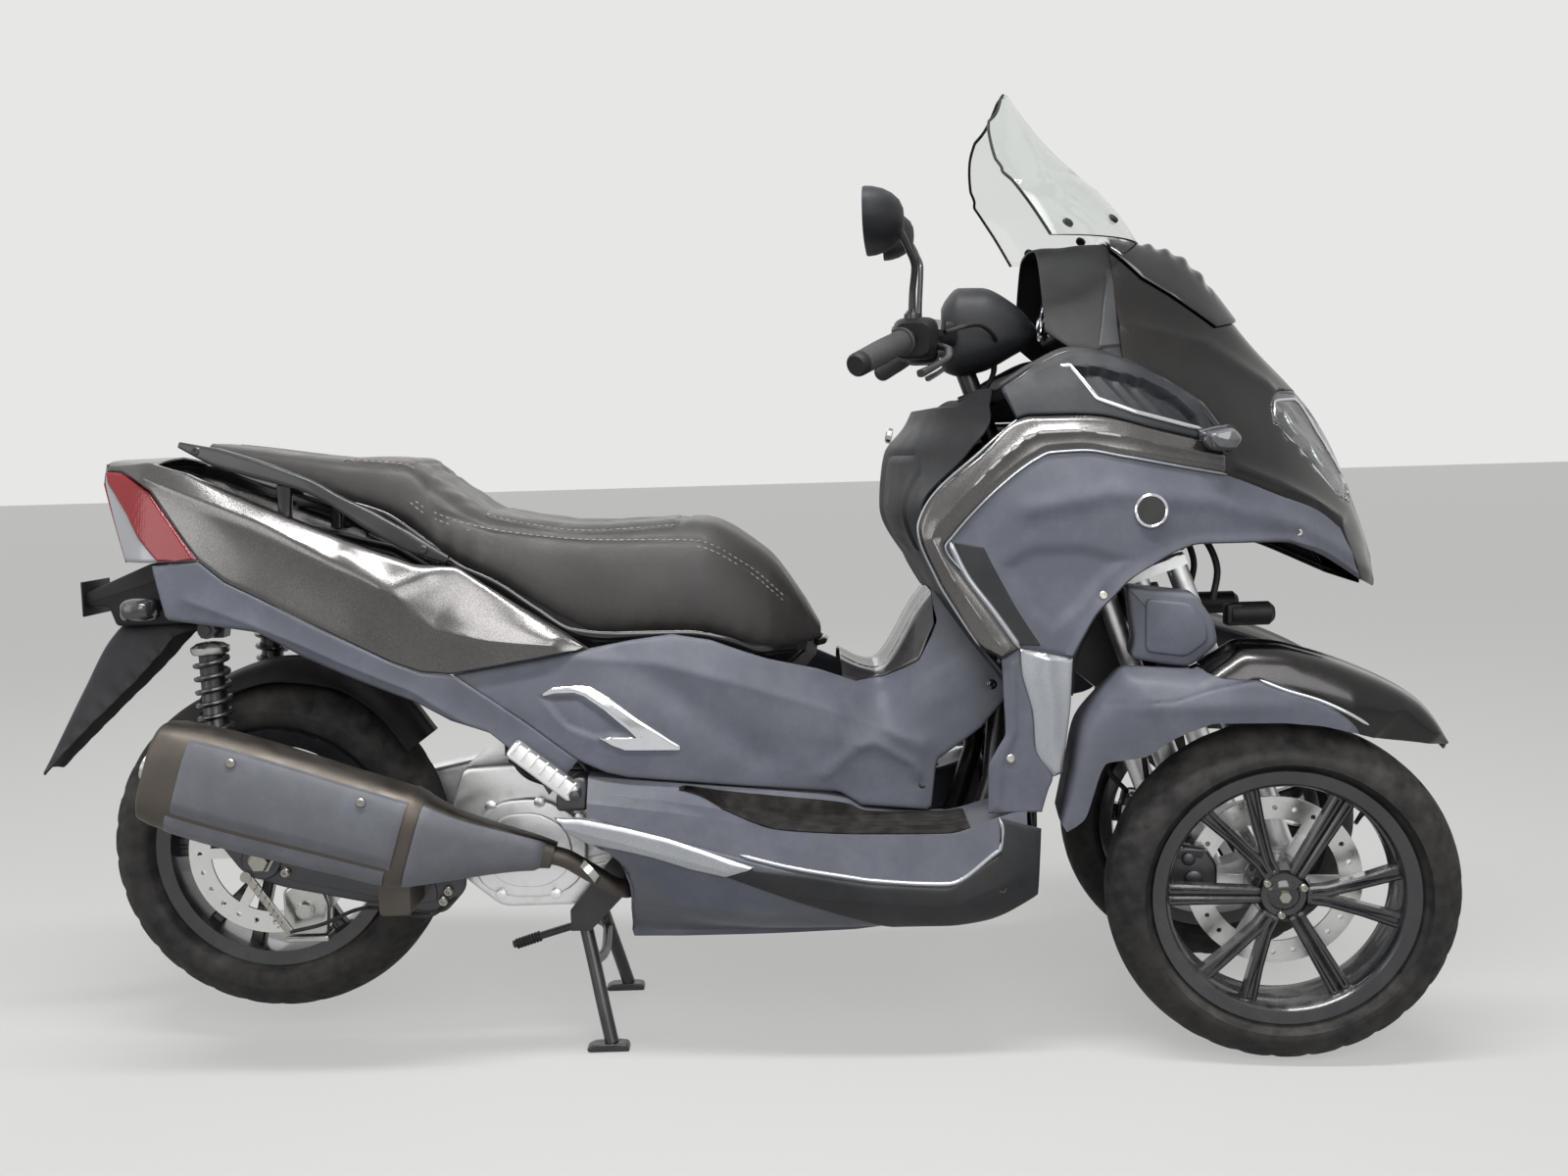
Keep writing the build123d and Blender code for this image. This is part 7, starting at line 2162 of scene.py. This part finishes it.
    def supports(self):
        peg = slab([(-291, 526), (-309, 504), (-215, 429), (-197, 451)], -222, -250, 5, 8)
        ribs = []
        for k in range(7):
            x, z = -296 + 13.4 * k, 511 - 10.7 * k
            ribs.append(
                slab([(x - 3, z - 3), (x + 12, z + 15), (x + 15, z + 12.5), (x, z - 5.5)], -248, -253, 1.5,
                    0))
        arm = slab(
            [(-238, 410), (-190.6, 410), (-190.6, 462), (-212, 462), (-238, 436)], -169.8, -224, 5, 8)
        pin = lathe([(0.02, 0), (7, 0), (8, 3), (8, 34), (0.02, 36)], (-206, -218, 440), (0, -1, 0), 24)
        make(
            "pillion_pegs", both_sides(join(peg, *ribs)), "cast_aluminium", "chassis", ["footpegs"])
        make("peg_brackets", both_sides(join(arm, pin)), "dark_cast_aluminium", "chassis")
        pieces = [
            lathe([(7.5, -92), (13.5, -92), (13.5, 92), (7.5, 92)], (-224, 0, 205), (0, 1, 0), 36, True)]
        for side in (-1, 1):
            pieces.append(
                tube(
                    [(-224, side * 78, 205), (-206, side * 100, 130), (-190, side * 122, 62),
                        (-178, side * 136, 12)], 11, 20, 60))
            foot_slab = slab(
                [(-215, 1), (-149, 1), (-152, 12), (-170, 14), (-206, 13), (-218, 7)], side * 123,
                side * 149, 2.0, 4)
            pieces.append(foot_slab)
            gusset = slab([(-224, 192), (-206, 130), (-196, 132), (-212, 196)], side * 84, side * 92, 2, 4)
            pieces.append(gusset)
        pieces.append(tube([(-206, -98, 132), (-200, 0, 118), (-206, 98, 132)], 8, 16, 50))
        pieces.append(
            tube([(-206, 104, 125), (-235, 160, 119), (-300, 176, 100), (-388, 178, 74)], 7, 16, 60))
        pad = [
            lathe([(7, -24 + 6 * k), (9.5, -24 + 6 * k), (9.5, -21 + 6 * k), (7, -21 + 6 * k)],
                (-362, 177.5, 81), (-0.95, 0.02, -0.3), 20, True) for k in range(8)]
        make(
            "centre_stand_frame", join(*pieces), "satin_black_frame_paint", "stand", ["centre_stand"])
        make("stand_tang_grip", join(*pad), "grip_rubber", "stand")


def helix(start, end, radius, wire, pitch):
    """Wound spring: a round bar along a helix between two points."""
    start = np.asarray(start, float)
    end = np.asarray(end, float)
    axis = unit(end - start)
    length = np.linalg.norm(end - start)
    turns = length / pitch
    count = int(turns * 26)
    t = np.linspace(0, 1, count)
    rise = length * t
    helper = np.array([0.0, 1.0, 0.0])
    side = unit(np.cross(axis, helper))
    up = np.cross(axis, side)
    turn = 2 * np.pi * turns * t
    centre = (
        start + axis * rise[:, None] + radius * (np.cos(turn)[:, None] * side + np.sin(turn)[:, None] * up))
    tangent = unit(np.gradient(centre, axis=0))
    out = unit(centre - (start + axis * rise[:, None]))
    over = np.cross(tangent, out)
    angle = circle(8)
    rows = centre[:, None] + wire * (
        np.cos(angle)[None, :, None] * out[:, None] + np.sin(angle)[None, :, None] * over[:, None])
    return closed_rows(rows)


class TRIKE_OT_controls(Piece):
    """Handlebar with grips, levers, switch boxes, covers and mirrors.

    Grip ridges are rings of a sine wave; the cover is a loft of rounded boxes; a mirror is a shell of
    shrinking ovals.
    """

    bl_idname = "trike.controls"
    bl_label = "Handlebar and mirrors"

    def build(self, values):
        bar_path = [(274, 391, 1078), (338, 285, 1114), (382, 150, 1121), (400, 60, 1122)]
        whole = bar_path + [(x, -y, z) for x, y, z in bar_path[::-1]]
        pipe = tube(whole, 11, 24, 160)
        stem_foot = HEAD_FOOT + LEAN * (662 / math.cos(CASTER))
        stem = lathe(
            [(0.02, 0), (15.8, 0), (15.8, 430 / math.cos(CASTER)), (0.02, 431 / math.cos(CASTER))],
            stem_foot, LEAN, 40)
        make(
            "bar_tube", turn_bar(join(pipe, stem)), "satin_black_frame_paint", "handlebar", ["handlebar"])
        boxes = []
        levers = []
        details = []
        for side in (-1, 1):
            centre = [
                (351, side * 222, 1114), (350, side * 240, 1115), (348, side * 262, 1115),
                (345, side * 279, 1113)]
            boxes.append(bar(centre, [52, 62, 60, 46], [56, 66, 64, 50], 32, 0.5, (1, 0, 0), 30))
            clamp = lathe(
                [(11, 0), (21, 0), (22, 3), (22, 15), (21, 18), (11, 18)], (353, side * 208, 1116),
                (0.1, side, 0), 32, True)
            boxes.append(clamp)
            lever = [
                (372, side * 240, 1106), (396, side * 268, 1096), (397, side * 310, 1086),
                (381, side * 350, 1074), (358, side * 386, 1062)]
            levers.append(bar(lever, [16, 14, 12, 11, 13], [13, 9, 8, 8, 11], 20, 0.7, (0, 0, 1), 70))
            perch = bar(
                [(352, side * 236, 1116), (366, side * 238, 1110), (376, side * 242, 1106)], [24, 22, 18],
                [22, 20, 16], 20, 0.6, (0, 0, 1), 20)
            boxes.append(perch)
            tank = bar(
                [(378, side * 214, 1128), (380, side * 214, 1142)], [30, 28], [44, 42], 24, 0.5, (0, 1, 0),
                12)
            details.append(tank)
            for k, (dz, size) in enumerate(((14, 5.5), (-2, 6.5), (-16, 4.5))):
                details.append(
                    lathe([(0.02, 6), (size - 1, 6), (size, 4), (size, -3), (0.02, -3)],
                        (320, side * (240 + 8 * k), 1114 + dz), (-1, 0, 0.1), 20))
        make("switch_boxes", turn_bar(join(*boxes)), "black_inner_plastic", "handlebar")
        make("brake_levers", turn_bar(join(*levers)), "satin_black_frame_paint", "handlebar")
        make("bar_buttons", turn_bar(join(*details)), "gloss_black_plastic", "handlebar")
        grips = []
        weights = []
        for side in (-1, 1):
            outer = np.array([274.0, side * 391.0, 1078.0])
            inner = np.array([338.0, side * 285.0, 1114.0])
            away = unit(inner - outer)
            reach = np.linspace(5, 112, 90)
            ridge_wave = 16.2 + 0.9 * np.abs(np.sin(reach / 4.2 * np.pi / 2)) + 0.8 * bell(reach - 60, 30)
            profile = (
                [(11.2, 4)] + list(zip(ridge_wave, reach))
                + [(19.5, 112), (20.5, 115), (19.5, 118), (11.2, 118)])
            grips.append(lathe(profile, outer, away, 44, True))
            weights.append(
                lathe([(0.02, -10), (14, -10), (16.5, -7), (17, -2), (17, 4), (11, 5), (0.02, 5)], outer,
                    away, 40))
        make("grip_sleeves", turn_bar(join(*grips)), "grip_rubber", "handlebar", ["grips"])
        make("bar_end_weights", turn_bar(join(*weights)), "black_inner_plastic", "handlebar")

        sections = [
            (386, 84, 1072, 1168), (392, 92, 1067, 1180), (415, 106, 1060, 1200), (450, 104, 1066, 1199),
            (500, 88, 1090, 1173), (530, 62, 1108, 1142), (537, 40, 1116, 1132)]
        x_places = np.linspace(386, 537, 70)
        table = np.array(sections, float)
        half, low, high = read(table[:, 0], table[:, 1:], x_places).T
        angle = circle(72)
        y = half[:, None] * squared(np.cos(angle), 0.6)
        z = ((high + low) / 2)[:, None] + ((high - low) / 2)[:, None] * squared(np.sin(angle), 0.6)
        hull = stacked(x_places[:, None], y, z)
        seam = bell(z - 1128, 1.6)
        hull = (
            hull - unit(hull - stacked(x_places, 0.0, (high + low) / 2)[:, None]) * (1.8 * seam)[..., None])
        make(
            "bar_cover_shell", turn_bar(closed_rows(hull)), "dark_grained_plastic", "handlebar",
            ["bar_cover"])
        arms = [
            bar([(396, side * 84, 1124), (384, side * 130, 1124), (368, side * 180, 1119),
                (358, side * 214, 1116)], [44, 34, 30, 34], [40, 34, 30, 34], 24, 0.6, (1, 0, 0), 40)
                for side in (-1, 1)]
        make("bar_arms", turn_bar(join(*arms)), "dark_grained_plastic", "handlebar")
        cables = [
            tube(
                [(392, side * 205, 1124), (440, side * 150, 1136), (470, side * 96, 1112),
                    (470, side * 50, 1070), (452, side * 26, 1030)], 3.4, 10, 70)
            for side in (-1, 1)]
        make("control_cables", turn_bar(join(*cables)), "hose_rubber", "handlebar")

        stems = []
        shells = []
        glass = []
        turn = circle(72)
        across = squared(np.cos(turn), 0.72)
        up = squared(np.sin(turn), 0.72)
        for side, lift in ((-1, 0), (1, 45)):
            path = [
                (345, 255, 1148), (346, 258, 1180), (350, 275, 1215 + lift), (342, 300, 1240 + lift),
                (328, 326, 1268 + lift)]
            stems.append(tube([(x, side * y, z) for x, y, z in path], [6, 5, 5, 5, 6], 16, 80))
            stems.append(
                lathe([(0.02, -14), (12, -14), (13, -10), (12, 4), (7, 10), (0.02, 12)],
                    (345, side * 255, 1146), (0, 0, 1), 28))

            def oval(x, size):
                y = 332 + 74 * size * across
                z = 1279 + lift + 43 * size * up * (1 - 0.16 * across) + 0.10 * 74 * size * across
                return stacked(float(x), side * y, z)

            shell = [
                (289, 0.85), (284, 0.86), (285, 0.9), (283, 0.985), (286, 1.0), (296, 0.98), (310, 0.9),
                (322, 0.76), (332, 0.55), (337, 0.3), (338, 0.03)]
            shells.append(grid(np.stack([oval(x, size) for x, size in shell]), False, True))
            sheet = np.stack([oval(286.5 + 2.0 * (1 - s), s * 0.86) for s in (0.01, 0.5, 1.0)])
            glass.append(grid(np.concatenate([sheet, sheet[::-1] + (2.0, 0, 0)]), False, True))
        make(
            "mirror_shells", turn_bar(join(*shells)), "dark_grained_plastic", "handlebar", ["mirrors"])
        make("mirror_stems", turn_bar(join(*stems)), "satin_black_frame_paint", "handlebar")
        make("mirror_panes", turn_bar(join(*glass)), "mirror_glass", "handlebar")


class TRIKE_OT_frame_finish(Piece):
    """Real finishes on the frame pieces that keep their shape, and the radiator core."""

    bl_idname = "trike.frame_finish"
    bl_label = "Frame and brackets"

    def build(self, values):
        finishes = {
            "frame": "satin_black_frame_paint", "tilt_arms": "dark_cast_aluminium",
            "radiator_shroud": "black_inner_plastic",
            "storage_tub": "black_inner_plastic", "seat_base": "black_inner_plastic",
            "front_disc_right": "brake_disc_steel",
            "front_disc_left": "brake_disc_steel", "rear_disc": "brake_disc_steel",
            "fork_right": "cast_aluminium",
            "fork_left": "cast_aluminium",
        }
        for name, finish in finishes.items():
            node = frame["nodes"][name]
            if not node.data.materials:
                node.data.materials.append(None)
            for place in node.material_slots:
                place.link = "DATA"
                place.material = finish_named(finish)
            node.data.set_sharp_from_angle(angle=math.radians(30))
        y, z = np.meshgrid(np.linspace(-150, 150, 46), np.linspace(300, 545, 90))
        fins = (
            2.2 * np.sign(np.sin(z / 3.2)) + 3.0 * np.sign(np.sin(y / 9.0))
            * (np.abs(np.sin(z / 3.2)) < 0.4))
        core = stacked(470 + fins * 0.5, y, z)
        make("radiator_core", wall(core, (1, 0, 0), 14), "dark_cast_aluminium", "chassis")


def in_sight(tree):
    """1 for camera, glossy and transmission rays, so metal and glass show the background; else 0."""
    rays = add_node(tree, "ShaderNodeLightPath")
    share = rays.outputs["Is Camera Ray"]
    for name in ("Is Glossy Ray", "Is Transmission Ray"):
        share = (
            add_node(tree, "ShaderNodeMath", {0: share, 1: rays.outputs[name]},
                operation="MAXIMUM").outputs[0])
    return share


CAMERA_PLACE = (0.107, -2.414, 0.931)
CAMERA_YAW_PITCH_ROLL = (-0.26, 4.95, -1.63)
PALE = (0.80, 0.80, 0.79, 1)
FLOOR_GLOW = 0.5
SKY_POWER = 0.7


class TRIKE_OT_stage(Piece):
    """Camera, plain pale floor, pale world and soft lights that sit where daylight falls in the view."""

    bl_idname = "trike.stage"
    bl_label = "Stage"

    def build(self, values):
        scene = bpy.context.scene
        camera = bpy.data.objects.new("view_camera", bpy.data.cameras.new("view_camera"))
        camera.data.lens = values.lens_mm
        camera.data.sensor_width = 36
        camera.data.clip_end = 60
        yaw, pitch, roll = (math.radians(v) for v in CAMERA_YAW_PITCH_ROLL)
        ahead = np.array(
            [-math.sin(yaw) * math.cos(pitch), math.cos(yaw) * math.cos(pitch), -math.sin(pitch)])
        level = np.array([math.cos(yaw), math.sin(yaw), 0])
        over = np.cross(level, ahead)
        right = level * math.cos(roll) + over * math.sin(roll)
        up = -level * math.sin(roll) + over * math.cos(roll)
        turned = Matrix(np.stack([right, up, -ahead], 1).tolist()).to_4x4()
        turned.translation = CAMERA_PLACE
        camera.matrix_world = turned
        scene.collection.objects.link(camera)
        scene.camera = camera

        mesh = bpy.data.meshes.new("stage_floor")
        mesh.from_pydata([(-60, -60, 0), (60, -60, 0), (60, 60, 0), (-60, 60, 0)], [], [(0, 1, 2, 3)])
        floor = bpy.data.objects.new("stage_floor", mesh)
        scene.collection.objects.link(floor)
        material, tree, shader = shader_of(
            "stage_floor_paint", Roughness=0.9, Base_Color=(*values.floor_colour, 1.0), Emission_Color=PALE)
        tree.links.new(add_node(
            tree, "ShaderNodeMath", {0: in_sight(tree), 1: FLOOR_GLOW}, operation="MULTIPLY").outputs[0],
            shader.inputs["Emission Strength"])
        mesh.materials.append(material)
        floor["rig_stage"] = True

        world = bpy.data.worlds.new("pale_sky")
        scene.world = world
        world.use_nodes = True
        tree = world.node_tree
        tree.nodes.clear()
        way = add_node(
            tree, "ShaderNodeSeparateXYZ", {0: add_node(tree, "ShaderNodeTexCoord").outputs["Generated"]})
        share = ranged(tree, way.outputs[1], -0.9, 0.3)
        sky = blend_colours(tree, share, (0.55, 0.55, 0.57, 1), (0.14, 0.14, 0.14, 1))
        sight = add_node(tree, "ShaderNodeBackground", {"Color": PALE, "Strength": 1.0})
        light = add_node(tree, "ShaderNodeBackground", {"Color": sky, "Strength": SKY_POWER})
        mixed = add_node(
            tree, "ShaderNodeMixShader", {0: in_sight(tree), 1: light.outputs[0], 2: sight.outputs[0]})
        add_node(tree, "ShaderNodeOutputWorld", {0: mixed.outputs[0]})
        for name, place, aim, size, power in (
                ("key_light", (0.9, -4.0, 2.6), (0.1, 0, 0.6), 3.0, values.key_power),
                ("fill_light", (-3.4, -2.6, 1.6), (-0.3, 0, 0.6), 2.4, values.key_power * 0.3),
                ("strip_light", (0.0, -1.1, 3.3), (0, -0.1, 0.6), 0.28, values.key_power * 0.9),
                ("rim_light", (-0.8, 3.4, 3.0), (0, 0, 0.7), 2.4, values.key_power * 0.2)):
            lamp = bpy.data.lights.new(name, "AREA")
            lamp.energy = power
            lamp.shape = "RECTANGLE"
            lamp.size = max(size, 2.6)
            lamp.size_y = size
            item = bpy.data.objects.new(name, lamp)
            item.location = place
            item.rotation_euler = (
                (Matrix.Translation(aim).translation - item.location).to_track_quat("-Z", "Y").to_euler())
            scene.collection.objects.link(item)
        scene.view_settings.view_transform = "Standard"


GROUPS = (
    TRIKE_OT_front_shell, TRIKE_OT_lamps, TRIKE_OT_screen, TRIKE_OT_cockpit, TRIKE_OT_middle,
    TRIKE_OT_tail, TRIKE_OT_seat, TRIKE_OT_wheels, TRIKE_OT_front_end, TRIKE_OT_drive, TRIKE_OT_controls,
    TRIKE_OT_frame_finish, TRIKE_OT_stage,
)


class TRIKE_PT_panel(bpy.types.Panel):
    """Lists the settings and the operators that build the trike."""

    bl_label = "Motorised trike"
    bl_idname = "TRIKE_PT_panel"
    bl_space_type = "VIEW_3D"
    bl_region_type = "UI"
    bl_category = "Trike"

    def draw(self, context):
        column = self.layout.column()
        for name in TrikeSettings.__annotations__:
            column.prop(context.scene.trike, name)
        for group in GROUPS:
            column.operator(group.bl_idname)


def register():
    for kind in (TrikeSettings, *GROUPS, TRIKE_PT_panel):
        bpy.utils.register_class(kind)
    bpy.types.Scene.trike = bpy.props.PointerProperty(type=TrikeSettings)


def unregister():
    del bpy.types.Scene.trike
    for kind in (TRIKE_PT_panel, *GROUPS[::-1], TrikeSettings):
        bpy.utils.unregister_class(kind)


def visual_box():
    """Lowest and highest corners of everything shown that is not stage."""
    bpy.context.view_layer.update()
    corners = []
    for item in bpy.context.scene.objects:
        if item.type == "MESH" and not item.hide_render and not item.get("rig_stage"):
            values = np.empty(len(item.data.vertices) * 3, np.float32)
            item.data.vertices.foreach_get("co", values)
            corners += [values.reshape(-1, 3).min(0), values.reshape(-1, 3).max(0)]
    corners = np.array(corners)
    return corners.min(0).tolist(), corners.max(0).tolist()


def main():
    register()
    for group in GROUPS:
        folder, name = group.bl_idname.split(".")
        getattr(getattr(bpy.ops, folder), name)()
    low, high = visual_box()


if __name__ == "__main__":
    main()
